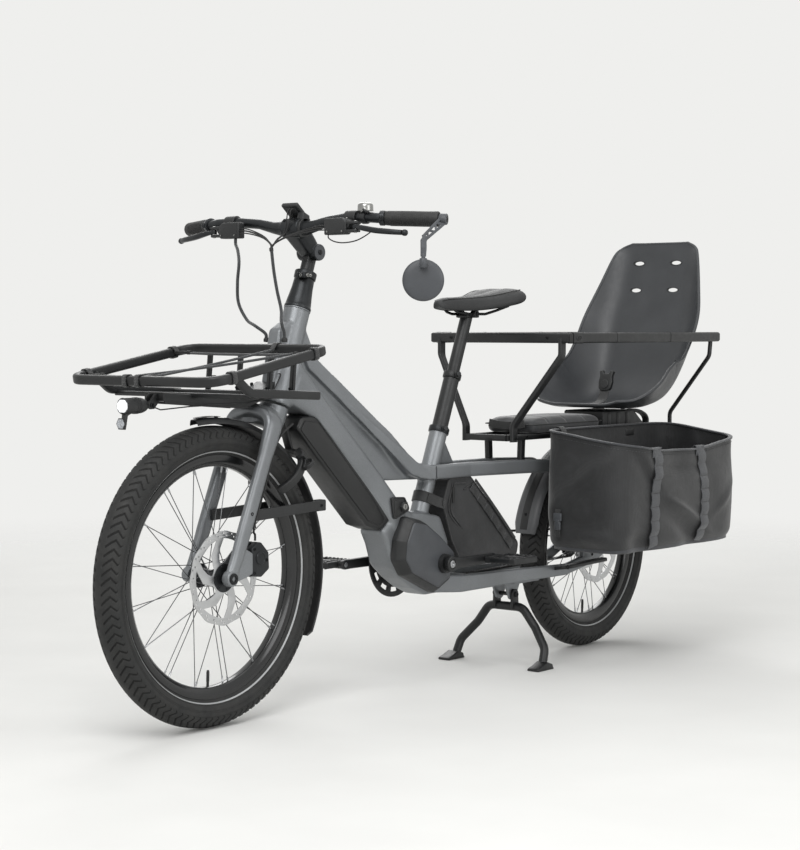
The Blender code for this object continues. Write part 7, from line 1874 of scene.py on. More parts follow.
def makeMainFrame():
    look = frameLook
    long = (headPoint(0.8865) - headPoint(0.676)).length
    head = lathe([(0.0, 0.0), (0.036, 0.0), (0.036, 0.03), (0.033, 0.085), (0.0295, 0.16), (0.0295, long),
                  (0.0, long)], headPoint(0.676), headUp, 64)
    nose = slab([(headX(0.872), 0.872), (headX(0.85) + 0.0335, 0.858), (noseX(0.842), 0.842), (noseX(0.7), 0.7),
                 (headX(0.69), 0.69)], -0.018, 0.018, "XZ", 0.006, 4)
    topEnd = seatX(railTop) + 0.034
    bend = [(headX(0.779) - 0.078, 0.779), (crankX + 0.14, railTop + 0.083), (crankX + 0.084, railTop + 0.032),
            (crankX + 0.056, railTop + 0.011), (crankX + 0.022, railTop + 0.002), (topEnd + 0.02, railTop)]
    edge = [(point.x, point.y) for point in filleted([(u, v, 0.0) for u, v in bend], 0.03, 8)]
    ridge = [(headX(0.866), 0.866)] + edge + [(topEnd, railTop)]
    outline = ridge + [(topEnd, railLow), (crankX + 0.16, railLow + 0.006), (headX(0.73), 0.73)]
    web = slab(outline, -look["webHalf"], look["webHalf"], "XZ", 0.0)
    under = []  # the band's lower edge, square to the upper one
    for n, (u, v) in enumerate(ridge):
        before, after = ridge[max(n - 1, 0)], ridge[min(n + 1, len(ridge) - 1)]
        run = Vector((after[0] - before[0], after[1] - before[1])).normalized()
        under.append((u - run.y * look["bandDeep"], v + run.x * look["bandDeep"]))
    top = slab(ridge + under[::-1], -look["topHalf"], look["topHalf"], "XZ", 0.0)
    points = []
    for point in top[0]:
        share = clamp((point.x - crankX - 0.18) / (topEnd - crankX - 0.18))  # spreads towards the rails
        wide = 1 + (look["topRearHalf"] / look["topHalf"] - 1) * share
        points.append(Vector((point.x, point.y * wide, point.z)))
    down = [(headX(0.79), 0.79), (headX(0.756) - 0.032, 0.756), (headX(0.669) - 0.155, 0.669),
            (crankX + 0.197, crankZ + 0.234), (crankX + 0.13, crankZ + 0.168), (crankX + 0.072, crankZ + 0.125),
            (crankX + 0.032, crankZ + 0.122), (crankX - 0.04, crankZ + 0.109), (crankX - 0.07, crankZ + 0.047),
            (crankX - 0.07, crankZ - 0.077), (crankX + 0.016, crankZ - 0.078), (crankX + 0.063, crankZ - 0.058),
            (crankX + 0.108, crankZ - 0.03), (crankX + 0.148, crankZ + 0.003), (crankX + 0.166, crankZ + 0.053),
            (crankX + 0.187, crankZ + 0.089), (crankX + 0.16, crankZ + 0.108), (crankX + 0.212, crankZ + 0.162),
            (headX(0.639) - 0.117, 0.639), (headX(0.673) - 0.03, 0.673), (headX(0.69), 0.69)]
    # The flank swells along the middle of the tube, which gives its long soft crease
    crease = [(headX(0.745) - 0.02, 0.742), (headX(0.66) - 0.15, 0.655), (crankX + 0.19, crankZ + 0.216),
              (crankX + 0.112, crankZ + 0.14), (crankX + 0.09, crankZ + 0.07), (crankX + 0.126, crankZ + 0.062),
              (crankX + 0.15, crankZ + 0.104), (crankX + 0.214, crankZ + 0.18), (headX(0.66) - 0.096, 0.652),
              (headX(0.69) - 0.012, 0.69)]
    seatLong = (seatPoint(0.6) - seatPoint(0.38)).length
    seat = lathe([(0.0165, 0.0), (0.022, 0.0), (0.022, seatLong), (0.0165, seatLong)], seatPoint(0.38), seatUp, 48,
                 closed=True)
    gussetTop = railTop + 0.059
    gusset = slab([(seatX(gussetTop) - 0.0185, gussetTop - 0.001), (seatX(gussetTop) - 0.024, gussetTop - 0.005),
                   (seatX(railTop) - 0.085, railTop - 0.004), (seatX(railTop) - 0.0185, railTop - 0.004)], -0.0075,
                  0.0075, "XZ", 0.002)
    bay = rod(crankCentre - leftward * 0.06, crankCentre + leftward * 0.06, look["motorRadius"], 64)
    shapes = merged(head, nose, web, (points, top[1], top[2]), slab(down, -downHalf, downHalf, "XZ", 0.011, 5),
                    slab(crease, -downHalf - 0.0028, downHalf + 0.0028, "XZ", 0.003, 2), seat, gusset)
    skin = melted("FrameSkin", shapes, look["voxel"], 7, bay)
    dress(skin, "powderCoatGrey", "frame", "main_frame", sharp=None)
    # Port plate and its bolt beside the hoses, weld seam rings, cable grommet
    port = (noseX(0.8) - 0.006, 0.0182, 0.8)
    boss = lathe([(0.0, 0.0), (0.0105, 0.0), (0.0098, 0.0022), (0.007, 0.003), (0.0, 0.003)], port, leftward, 32)
    bolt = screw((port[0], port[1] + 0.0026, port[2]), leftward, 0.0046, 0.0028)
    rings = [lathe([(0.0296, 0.0), (0.0302, 0.0005), (0.0302, 0.0022), (0.0296, 0.0027)], headPoint(0.8835),
                   headUp, 56),
             lathe([(0.0222, 0.0), (0.0226, 0.0005), (0.0226, 0.003), (0.0221, 0.0036)], seatPoint(0.5965), seatUp, 48)]
    piece("FrameFittings", [boss, *rings], "powderCoatGrey", "frame")
    piece("FrameBolts", bolt, "blackOxide", "frame")


def makeBattery():
    half = downHalf - 0.0022
    outline = [(headX(0.654) - 0.062, 0.6485), (headX(0.622) - 0.056, 0.622), (crankX + 0.236, crankZ + 0.105),
               (crankX + 0.19, crankZ + 0.0905), (crankX + 0.15, crankZ + 0.112), (crankX + 0.2, crankZ + 0.174),
               (headX(0.639) - 0.124, 0.652)]
    piece("BatteryPack", slab(outline, -half, half, "XZ", 0.0075, 5), "batteryGloss", "frame", "battery")
    inner = [(headX(0.65) - 0.072, 0.6395), (headX(0.624) - 0.066, 0.62), (crankX + 0.234, crankZ + 0.1165),
             (crankX + 0.196, crankZ + 0.104), (crankX + 0.174, crankZ + 0.115), (crankX + 0.217, crankZ + 0.166),
             (headX(0.639) - 0.12, 0.634)]
    panels, lines = [], []
    for side in (1, -1):
        low, high = sorted((side * (half - 0.001), side * (half + 0.0012)))
        panels.append(slab(inner, low, high, "XZ", 0.001, 2))
        edge = filleted([(u, side * (half + 0.0012), v) for u, v in inner], 0.008, 5, closed=True)
        lines.append(sweep(edge, circle(0.0007, 8), leftward, closed=True))
    piece("BatteryFlanks", panels, "batteryGloss", "frame")
    piece("BatteryEdgeLines", lines, "batteryGloss", "frame")


def makeBatteryLock():
    low = downHalf + 0.0003
    outline = [(crankX + 0.161, crankZ + 0.166), (crankX + 0.113, crankZ + 0.163), (crankX + 0.094, crankZ + 0.134),
               (crankX + 0.15, crankZ + 0.115)]
    plate = slab(outline, low, low + 0.0062, "XZ", 0.0028, 4)
    rim = sweep(filleted([(u, low + 0.0058, v) for u, v in outline], 0.008, 6, closed=True),
                roundedRect(0.0042, 0.004, 0.0014), leftward, closed=True)
    drum = Vector((crankX + 0.116, low, crankZ + 0.1425))  # axis of the lock cylinder
    hood = lathe([(0.01, -0.002), (0.0134, 0.0), (0.0134, 0.007), (0.012, 0.0092), (0.0098, 0.0092), (0.0094, 0.006),
                  (0.0, 0.006)], drum + leftward * 0.004, leftward, 6)
    tab = slab([(crankX + 0.15, crankZ + 0.158), (crankX + 0.134, crankZ + 0.157), (crankX + 0.14, crankZ + 0.128),
                (crankX + 0.15, crankZ + 0.124)], low + 0.004, low + 0.0075, "XZ", 0.0012)
    piece("BatteryLockCover", [plate, rim, hood, tab], "mouldedNylon", "frame", "battery_lock")
    key = lathe([(0.0, 0.0), (0.0082, 0.0), (0.0082, 0.0032), (0.007, 0.0044), (0.0, 0.0044)],
                drum + leftward * 0.0085, leftward, 32)
    slit = brick(drum + leftward * 0.013, (0.0016, 0.0006, 0.009), 0.0002)
    piece("LockCylinder", key, "nickelPlate", "frame")
    piece("LockKeyway", slit, "blackOxide", "frame")


def shrunk(outline, share, shift=(0.0, 0.0)):
    middle = (sum(p[0] for p in outline) / len(outline), sum(p[1] for p in outline) / len(outline))
    return [(middle[0] + (u - middle[0]) * share + shift[0], middle[1] + (v - middle[1]) * share + shift[1])
            for u, v in outline]


def softOutline(outline, radius, steps=8):
    return [(point.x, point.y) for point in filleted([(u, v, 0.0) for u, v in outline], radius, steps, closed=True)]


def makeMotorCover():
    low, thick = downHalf + 0.0003, frameLook["coverThick"]
    outline = [(crankX + 0.122, crankZ + 0.121), (crankX + 0.151, crankZ + 0.066), (crankX + 0.157, crankZ + 0.019),
               (crankX + 0.13, crankZ - 0.019), (crankX + 0.012, crankZ - 0.072), (crankX - 0.04, crankZ - 0.048),
               (crankX - 0.062, crankZ + 0.019), (crankX + 0.002, crankZ + 0.069), (crankX + 0.064, crankZ + 0.108)]
    soft = softOutline(outline, 0.016)
    # Dark band sloping in from the frame, lighter face set into it
    rows = []
    for share, rise in ((1.0, 0.0), (1.0, 0.01), (0.985, 0.016), (0.9, thick - 0.0065), (0.875, thick - 0.0035),
                        (0.855, thick - 0.003)):
        rows.append([Vector((u, low + rise, v)) for u, v in shrunk(soft, share, (-0.01 * (1 - share), 0.0))])
    piece("MotorCoverBand", gridShape(rows, closedAcross=True, caps=True), "mouldedNylon", "frame",
          "motor_cover", sharp=28.0)
    face = shrunk(soft, 0.85, (-0.0015, 0.0))
    rows = []
    for share, rise in ((1.0, -0.004), (1.0, -0.003), (0.985, -0.0012), (0.94, -0.0002), (0.7, 0.0003),
                        (0.35, 0.0003)):
        rows.append([Vector((u, low + thick + rise, v)) for u, v in shrunk(face, share)])
    piece("MotorCoverFace", gridShape(rows, closedAcross=True, caps=True), "shellNylon", "frame", sharp=40.0)
    bolt = screw((crankX + 0.128, low + 0.015, crankZ + 0.003), Vector((0.55, 0.83, -0.1)).normalized(), 0.0036,
                 0.0016)
    piece("MotorCoverScrew", bolt, "blackOxide", "frame")
    unit = lathe([(0.0122, -downHalf - 0.0055), (0.029, -downHalf - 0.0055), (0.03, -downHalf - 0.0045),
                  (0.034, -downHalf - 0.0004), (0.059, -downHalf), (0.0598, -downHalf + 0.001),
                  (0.0598, downHalf - 0.001), (0.059, downHalf), (0.0122, downHalf), (0.0122, -downHalf - 0.0055)],
                 crankCentre, leftward, 72)
    outside = crankCentre - leftward * (downHalf + 0.0004)
    ribs = [sweep([polar(outside, 0.036, a), polar(outside, 0.057, a)], roundedRect(0.0026, 0.0024, 0.0006), leftward)
            for a in range(0, 360, 30)]
    piece("DriveUnitShell", [unit, *ribs], "mouldedNylon", "frame", "drive_unit")


makeMainFrame()
makeBattery()
makeBatteryLock()
makeMotorCover()
print("frame built")

# Cranks, pedals, guard disc and belt
crankLook = {"arm": 0.17, "aside": 0.094, "axle": 0.0118, "ring": 0.058, "cog": 0.036, "beltY": -0.05, "guard": 0.093}


def makeCranks():
    look = crankLook
    end = look["aside"] + 0.006
    axle = rod(crankCentre - leftward * end, crankCentre + leftward * end, look["axle"], 36)
    arms, bosses, bolts = [], [], []
    for side, ahead in ((1, -1), (-1, 1)):
        tip = crankX + ahead * look["arm"]
        upper = [(crankX - ahead * 0.0155, 0.01), (crankX - ahead * 0.006, 0.016), (crankX + ahead * 0.012, 0.0158),
                 (crankX + ahead * 0.04, 0.0125), (tip - ahead * 0.02, 0.0112), (tip, 0.0118),
                 (tip + ahead * 0.01, 0.0082)]
        lower = [(x, -z) for x, z in upper]
        outline = [lower[0], (crankX - ahead * 0.0175, 0.0), *upper, (tip + ahead * 0.0135, 0.0), *lower[:0:-1]]
        outline = [(x, crankZ + z) for x, z in outline]
        arms.append(slab(outline, side * look["aside"] - 0.0065, side * look["aside"] + 0.0065, "XZ", 0.003, 4))
        at = crankCentre + leftward * side * (look["aside"] + 0.006)
        bosses.append(lathe([(0.0, -0.006), (0.0182, -0.006), (0.0186, 0.0008), (0.0172, 0.0026), (0.0122, 0.003),
                             (0.0112, 0.001), (0.0, 0.001)], at, leftward * side, 48))
        bolts.append(screw(at + leftward * side * 0.0006, leftward * side, 0.0092, 0.003))
        bosses.append(lathe([(0.015, 0.0), (0.0225, 0.0), (0.0235, 0.0012), (0.0222, 0.012), (0.015, 0.012)],
                            crankCentre + leftward * side * (look["aside"] - 0.0195), leftward * side, 40))
        pin = crankCentre + Vector((ahead * look["arm"], side * look["aside"], 0))
        arms.append(rod(pin, pin + leftward * side * 0.07, 0.0058, 20))
        bolts.append(screw(pin - leftward * side * 0.006, -leftward * side, 0.0058, 0.002))
    spider = lathe([(0.0125, look["beltY"] - 0.003), (0.05, look["beltY"] - 0.002), (0.05, look["beltY"] + 0.002),
                    (0.0125, look["beltY"] + 0.003)], crankCentre, leftward, 64, closed=True)
    teeth = []
    ring = lathe([(0.048, look["beltY"] - 0.005), (0.0572, look["beltY"] - 0.005), (0.0572, look["beltY"] + 0.005),
                  (0.048, look["beltY"] + 0.005)], crankCentre, leftward, 80, closed=True)
    for n in range(50):
        at = polar(crankCentre, 0.057, n * 7.2) + leftward * look["beltY"]
        teeth.append(sweep([at - leftward * 0.0048, at + leftward * 0.0048], roundedRect(0.0022, 0.0034, 0.0005),
                           outwards(n * 7.2)))
    piece("CrankSet", [axle, *arms, *bosses], "powderCoatBlack", "cranks", "cranks")
    piece("CrankBolts", bolts, "drawnSteel", "cranks")
    piece("BeltRing", [spider, ring, *teeth], "blackOxide", "cranks")
    # Guard disc with its ring of slots
    holes = [ringOutline(look["guard"], 96)]
    for n in range(12):
        slot = []
        for radius, way in ((0.08, 1), (0.069, -1)):
            bends = [math.radians(n * 30 - way * 9 + way * 18 * s / 8) for s in range(9)]
            slot += [(radius * math.cos(bend), radius * math.sin(bend)) for bend in bends]
        holes.append(slot)
    disc = moved(flatPlate(holes, 0.004, 0.0005), sidePlane(crankCentre - leftward * 0.0805))
    hub = lathe([(0.0125, -0.084), (0.03, -0.084), (0.033, -0.0825), (0.033, -0.05), (0.0125, -0.05)],
                crankCentre, leftward, 56)
    piece("GuardDisc", [disc, hub], "mouldedNylon", "cranks")


def makePedals():
    for name, body, side, ahead in (("PedalLeft", "pedal_left", 1, -1), ("PedalRight", "pedal_right", -1, 1)):
        tip = crankX + ahead * crankLook["arm"]
        middle = side * (crankLook["aside"] + 0.0561)
        parts = [brick((tip + x * 0.0435, middle, crankZ), (0.009, 0.09, 0.015), 0.0028) for x in (1, -1)]
        parts += [brick((tip, middle + y * 0.04, crankZ), (0.087, 0.0095, 0.0155), 0.0028) for y in (-1, 1)]
        parts.append(brick((tip, middle - side * 0.006, crankZ), (0.024, 0.07, 0.015), 0.003))
        for x in (1, -1):
            for y in (-0.012, 0.014):
                parts.append(brick((tip + x * 0.0275, middle + y, crankZ), (0.03, 0.006, 0.012), 0.0012))
            parts += [brick((tip + x * 0.0435, middle - 0.036 + 0.012 * n, crankZ + z), (0.0046, 0.0046, 0.002),
                            0.0006) for n in range(7) for z in (0.0078, -0.0078)]  # studs
        collar = lathe([(0.0062, 0.0), (0.01, 0.0), (0.0105, 0.0012), (0.0105, 0.03), (0.0062, 0.03)],
                       (tip, side * (crankLook["aside"] + 0.0071), crankZ), leftward * side, 28)
        piece(name + "Body", [collar, *parts], "mouldedNylon", body, body)
        strips = [brick((tip + x * 0.0482, middle, crankZ), (0.001, 0.056, 0.008), 0.0003) for x in (1, -1)]
        piece(name + "EndPlates", strips, "anodisedBlack", body)


def makeBelt():
    look = crankLook
    reach = (crankCentre - rearAxle).length
    lean = math.degrees(math.asin((look["ring"] - look["cog"]) / reach))
    tilt = math.degrees(math.atan2(crankZ - rearAxle.z, crankX - rearAxle.x))
    path = []
    for centre, radius, start, end in ((crankCentre, look["ring"], 90.0 + lean, -90.0 - lean),
                                       (rearAxle, look["cog"], 270.0 - lean, 90.0 + lean)):
        for step in range(49):
            turn = tilt + start + (end - start) * step / 48
            path.append(polar(centre, radius + 0.0023, turn) + leftward * look["beltY"])
    belt = sweep(path, roundedRect(0.01, 0.004, 0.0008), leftward, closed=True)
    line, ridges = path + [path[0]], []
    for before, after in zip(line, line[1:]):
        span = (after - before).length
        count = max(1, round(span / 0.011))
        for n in range(count):
            at = before.lerp(after, (n + 0.5) / count)
            inward = (after - before).cross(leftward).normalized()
            centre = crankCentre if (at - crankCentre).length < (at - rearAxle).length else rearAxle
            if (centre + leftward * look["beltY"] - at).dot(inward) < 0:
                inward = -inward
            if count > 1:
                foot = at + inward * 0.0026
                ridges.append(sweep([foot - leftward * 0.0046, foot + leftward * 0.0046],
                                    roundedRect(0.0022, 0.005, 0.0007), inward))
    piece("BeltBand", [belt, *ridges], "beltPolymer", "frame", "drive_belt")


makeCranks()
makePedals()
makeBelt()
print("drive built")

# Frame bag: soft panels drawn tight at their piping, zip, webbing ladder and strap
frameBagLook = {"half": 0.0395, "swell": 0.006, "corner": 0.016}


def frameBagOutline():
    top = railLow - 0.0012
    return [(seatX(top) - 0.038, top), (crankX - 0.155, top), (crankX - 0.355, 0.301), (crankX - 0.347, 0.269),
            (crankX - 0.125, crankZ - 0.02), (crankX - 0.08, crankZ + 0.046), (seatX(0.42) - 0.038, 0.42)]


def makeFrameBag():
    look = frameBagLook
    outline = softOutline(frameBagOutline(), look["corner"], 8)
    dense = []
    for (u, v), (s, t) in zip(outline, outline[1:] + outline[:1]):
        count = max(1, round(math.hypot(s - u, t - v) / 0.008))
        dense += [(u + (s - u) * n / count, v + (t - v) * n / count) for n in range(count)]
    rows = []

    def panel(side, shares):
        for share in shares:
            ring = []
            for u, v in shrunk(dense, share):
                swell = look["swell"] * (1 - share ** 3) ** 0.75
                crumple = 0.0011 * math.sin(u * 71 + v * 38) * math.sin(v * 83 - u * 22) * (1 - share ** 6)
                ring.append(Vector((u, side * (look["half"] - 0.003 + swell + crumple), v)))
            rows.append(ring)

    shares = (0.02, 0.12, 0.24, 0.36, 0.48, 0.6, 0.7, 0.78, 0.85, 0.9, 0.94, 0.97, 0.99, 1.0)
    panel(1, shares)
    for level in (0.7, 0.35, 0.0, -0.35, -0.7):
        rows.append([Vector((u, level * look["half"], v)) for u, v in shrunk(dense, 1.0 + 0.006 * (1 - level ** 2))])
    panel(-1, shares[::-1])
    piece("FrameBagBody", gridShape(rows, closedAcross=True, caps=True), "bagCanvas", "frame", "frame_bag",
          sharp=60.0)
    piping = []
    for side in (1, -1):
        edge = [Vector((u, side * (look["half"] - 0.0024), v)) for u, v in shrunk(dense, 1.001)]
        piping.append(sweep(edge, circle(0.0019, 10), leftward, closed=True))
    # Front pocket seam and the zip with its pull
    zipLine = [(seatX(0.468) - 0.058, 0.468), (seatX(0.4) - 0.07, 0.404), (crankX - 0.118, crankZ + 0.07)]
    seam = spline([Vector((u, look["half"] + 0.0012, v)) for u, v in zipLine], 30)
    topSeam = [Vector((crankX - 0.122, look["half"] + 0.002, railLow - 0.03)),
               Vector((crankX - 0.168, look["half"] + 0.002, railLow - 0.016))]
    piping.append(sweep([seam[0], Vector((crankX - 0.13, look["half"] + 0.0022, 0.466))], circle(0.0012, 8),
                        leftward))
    piece("FrameBagPiping", [*piping, sweep(topSeam, circle(0.0012, 8), leftward)], "nylonWebbing", "frame",
          sharp=60.0)
    tape = sweep(seam, roundedRect(0.0014, 0.011, 0.0005), leftward)
    places = [seam[0]] + [seam[s].lerp(seam[s + 1], f) for s in range(30) for f in (0.0, 0.33, 0.66)]
    teeth = [brick(point + leftward * 0.001, (0.003, 0.0012, 0.0012), 0.0003) for point in places]
    piece("FrameBagZip", tape, "nylonWebbing", "frame")
    pull = [seam[3] + leftward * 0.002, seam[3] + Vector((0.001, 0.003, -0.012)),
            seam[3] + Vector((0.0, 0.0026, -0.034))]
    piece("FrameBagPull", [sweep(pull, roundedRect(0.0026, 0.008, 0.001), leftward),
                           brick(seam[3] + leftward * 0.002, (0.0075, 0.0035, 0.01), 0.0012)], "softRubber", "frame")
    piece("FrameBagTeeth", teeth, "blackOxide", "frame")
    # Webbing ladder up the rear edge, stitched down every 40 mm
    low = Vector((crankX - 0.334, look["half"] + 0.002, 0.3105))
    high = Vector((crankX - 0.166, look["half"] + 0.002, railLow - 0.012))
    along = (high - low).normalized()
    aside = along.cross(leftward).normalized()
    ladders, bars = [], []
    for shift, wide in ((-0.004, 0.008), (0.0195, 0.02)):  # edge tape, ladder
        line = []
        for n in range(41):
            share = n / 40
            arch = abs(math.sin(math.pi * share * 6)) ** 0.7
            bulge = 0.0022 * math.sin(math.pi * share)
            lift = (0.003 * arch if shift > 0 else 0.0006) + bulge
            line.append(low.lerp(high, share) - aside * shift + leftward * lift)
        ladders.append(sweep(line, roundedRect(0.0018, wide, 0.0006), leftward))
    for n in range(7):
        at = low.lerp(high, n / 6) - aside * shift + leftward * (0.0016 + 0.0022 * math.sin(math.pi * n / 6))
        bars.append(sweep([at - aside * 0.0095, at + aside * 0.0095], roundedRect(0.0012, 0.003, 0.0005), leftward))
    piece("FrameBagLadder", ladders, "nylonWebbing", "frame", sharp=50.0)
    piece("FrameBagStitches", bars, "threadGrey", "frame")
    # Strap round the seat tube
    at = seatPoint(0.435)
    out = (forward - seatUp * forward.dot(seatUp)).normalized()
    band = [at + out * (0.0236 * c) + leftward * (0.0236 * s) for c, s in turns(48)]
    strap = sweep(band, roundedRect(0.026, 0.0024, 0.0009), seatUp, closed=True)
    flap = [at + leftward * y + out * x for y, x in ((0.0236, 0.01), (0.0262, -0.006), (0.03, -0.026),
                                                     (0.0392, -0.044))]
    piece("FrameBagStrap", [strap, sweep(spline(flap, 20), roundedRect(0.025, 0.0022, 0.0008), seatUp)],
          "nylonWebbing", "frame", sharp=50.0)


makeFrameBag()

# Webbing and buckle on the side bag
ladderLook = {"wide": 0.037, "thick": 0.002, "pitch": 0.0385}


def makeBagWebbing():
    look = bagLook
    bands, bars = [], []
    for share in (0.5, -0.27):  # where along the bag each ladder hangs
        turn = math.acos(bulged(share, 1 / look["corner"]))
        line, outward = [], leftward
        levels = 96
        for n in range(levels + 1):
            height = look["low"] + 0.01 + (look["high"] + 0.001 - look["low"] - 0.01) * n / levels
            arch = abs(math.sin(math.pi * (height - look["low"]) / ladderLook["pitch"])) ** 0.6
            lean = 0.014 * max(0.0, (n / levels - 0.84) / 0.16) ** 1.5  # the slack rim pulls the end forward
            line.append(bagPoint(turn, height) + outward * (0.0016 + 0.0046 * arch) + forward * lean)
        bands.append(sweep(line, roundedRect(ladderLook["wide"], ladderLook["thick"], 0.0006), forward))
        height = look["low"] + ladderLook["pitch"]
        while height < look["high"] - 0.01:
            middle, reach = bagPoint(turn, height) + outward * 0.003, forward * 0.0176
            bars.append(sweep([middle - reach, middle + reach], roundedRect(0.0032, 0.0012, 0.0004), upward))
            height += ladderLook["pitch"]
        # Folded end over the rim
        rim = bagPoint(turn, look["high"]) + forward * 0.014
        fold = [rim + outward * y + upward * z for y, z in
                ((0.0036, -0.018), (0.005, 0.001), (0.0, 0.0072), (-0.005, 0.001), (-0.0042, -0.026))]
        bands.append(sweep(spline(fold, 24), roundedRect(ladderLook["wide"], 0.0018, 0.0006), forward))
    piece("BagWebbing", bands, "webbingGrey", "frame", sharp=50.0)
    piece("BagWebbingStitches", bars, "nylonWebbing", "frame")
    # Small buckle on the front corner
    at = Vector((look["front"] + 0.01, look["inner"] + look["width"] / 2 - 0.06, 0.362))
    outward = forward
    place = Matrix.Translation(at + outward * 0.005) @ outward.to_track_quat("Y", "Z").to_matrix().to_4x4()
    body = merged(brick((0, 0.001, 0.01), (0.023, 0.006, 0.02), 0.0018),
                  brick((0, 0.001, -0.012), (0.017, 0.0055, 0.02), 0.0018),
                  brick((0, 0.003, -0.001), (0.012, 0.004, 0.01), 0.0014))
    tail = sweep([Vector((0, -0.0008, 0.03)), Vector((0, 0.0016, 0.018)), Vector((0, 0.0016, -0.02)),
                  Vector((0, 0.0002, -0.04))], roundedRect(0.015, 0.0016, 0.0005), forward)
    piece("BagBuckle", moved(body, place), "shellNylon", "frame")
    piece("BagBuckleTape", moved(tail, place), "nylonWebbing", "frame")
    # Strap from the rack over the inner rim, with its slider
    x = look["front"] - 0.086
    inner = bagPoint(math.radians(-60), look["high"])
    line = [Vector((x, 0.07, 0.572)), Vector((x, inner.y - 0.006, look["high"] + 0.03)),
            Vector((x, inner.y + 0.004, look["high"] + 0.03)), Vector((x, inner.y + 0.011, look["high"] + 0.014)),
            Vector((x, inner.y + 0.011, look["high"] - 0.055))]
    piece("BagHangStrap", sweep(spline(line, 40), roundedRect(0.024, 0.002, 0.0007), forward), "nylonWebbing",
          "frame", sharp=50.0)
    slider = [brick((x, inner.y + 0.0128, look["high"] - 0.006 - 0.014 * n), (0.032, 0.0036, 0.0042), 0.0012)
              for n in (0, 1)]
    slider += [brick((x + side * 0.0145, inner.y + 0.0126, look["high"] - 0.013), (0.0035, 0.004, 0.018), 0.0012)
               for side in (1, -1)]
    piece("BagSlider", slider, "mouldedNylon", "frame")


makeBagWebbing()
print("bags dressed")


# Seat tube clamps and lower post
def makeSeatPosts():
    foot, high = 0.45, 0.734
    length = (seatPoint(high) - seatPoint(foot)).length
    tubeShape = lathe([(0.0156, 0.0), (0.0194, 0.0), (0.0194, length - 0.016), (0.0156, length - 0.016),
                       (0.0156, 0.0)], seatPoint(foot), seatUp, 48)
    piece("LowerPostTube", tubeShape, "powderCoatBlack", "seatpost_lower", "seatpost_lower")
    ahead = (forward - seatUp * forward.dot(seatUp)).normalized()
    for name, body, at, radius in (("UpperCollar", "seatpost_lower", seatPoint(high) - seatUp * 0.015, 0.0194),
                                   ("LowerCollar", "frame", seatPoint(0.6) - seatUp * 0.012, 0.022)):
        ring = lathe([(radius - 0.0006, 0.0), (radius + 0.0026, 0.0004), (radius + 0.0032, 0.0016),
                      (radius + 0.0032, 0.0132), (radius + 0.0024, 0.0148), (radius - 0.003, 0.015)], at, seatUp, 56)
        ears, knobs = [], []
        for turn, knob in ((-128, 0.0056), (62, 0.0064)):  # one ear behind, one ear with its knob bolt
            out = ahead * math.cos(math.radians(turn)) + leftward * math.sin(math.radians(turn))
            middle = at + seatUp * 0.0074 + out * (radius + 0.005)
            turnBrick = out.to_track_quat("X", "Z")
            ears.append(brick(middle, (0.012, 0.011, 0.012), 0.0026, 3, turnBrick))
            knobs.append(lathe([(0.0, 0.0), (knob * 0.6, 0.0), (knob * 0.6, 0.003), (knob, 0.0036), (knob, 0.008),
                                (knob * 0.86, 0.0092), (0.0, 0.0094)], middle + out * 0.005, out, 28))
        finish = "powderCoatBlack" if body == "seatpost_lower" else "anodisedBlack"
        piece(name, [ring, *ears], finish, body)
        piece(name + "Knobs", knobs, "blackOxide", body)


makeSeatPosts()

# Rear rack, hoop and handrails
dropoutSide = 0.076  # outer face of the frame beside the rear axle
railLook = {"height": 0.82, "aside": 0.205, "wide": 0.02, "tall": 0.026, "front": -1.05, "rear": -1.777,
            "rackHeight": 0.57, "rackHalf": 0.06, "rackTube": 0.016}


def makeRearRack():
    look = railLook
    front, rear, height, half = look["front"] + 0.062, look["rear"] + 0.02, look["rackHeight"], look["rackHalf"]
    section = roundedRect(look["rackTube"], look["rackTube"], 0.005, 5)
    shapes = [brick(((front + rear) / 2, 0, height), (front - rear, 0.04, 0.0085), 0.0022)]
    for side in (1, -1):
        shapes.append(sweep([(front - 0.004, side * half, height), (rear + 0.004, side * half, height)], section,
                            upward))
    for x in (front - 0.008, look["front"] - 0.2, rearAxle.x - 0.09, rear + 0.008):
        shapes.append(sweep([(x, -half, height), (x, half, height)], roundedRect(0.016, 0.014, 0.004), upward))
    for side in (1, -1):
        strut = [(look["front"] - 0.02, side * 0.052, height), (look["front"] - 0.02, side * 0.05, railTop - 0.004)]
        shapes.append(sweep(strut, roundedRect(0.02, 0.014, 0.004), forward))
        outer = dropoutSide + 0.0003 + 0.0048
        line = filleted([(rearAxle.x - 0.13, side * (half + 0.002), height),
                         (rearAxle.x - 0.04, side * outer, rearAxle.z + 0.06),
                         (rearAxle.x, side * outer, rearAxle.z)], 0.03, 8)
        shapes.append(sweep(line, circle(0.0047, 16), leftward))
        shapes.append(lathe([(0.0071, 0.0003), (0.0125, 0.0003), (0.0132, 0.0012), (0.0132, 0.009), (0.012, 0.0103),
                             (0.0071, 0.0103)], rearAxle + leftward * side * dropoutSide, leftward * side, 32))
        shapes.append(lathe([(0.0, 0.0), (0.007, 0.0), (0.007, 0.003), (0.0, 0.0034)],
                            rearAxle + leftward * side * 0.0795, leftward * side, 28))
    piece("RearRackFrame", shapes, "powderCoatBlack", "frame", "rear_rack")
    bolts = [screw((x, side * (half + 0.0078), height), leftward * side, 0.004, 0.0022)
             for x in (look["front"] - 0.02, look["front"] - 0.2, rearAxle.x - 0.09) for side in (1, -1)]
    bolts += [screw(rearAxle + leftward * side * 0.0862, leftward * side, 0.0066, 0.0034) for side in (1, -1)]
    piece("RearRackBolts", bolts, "blackOxide", "frame")


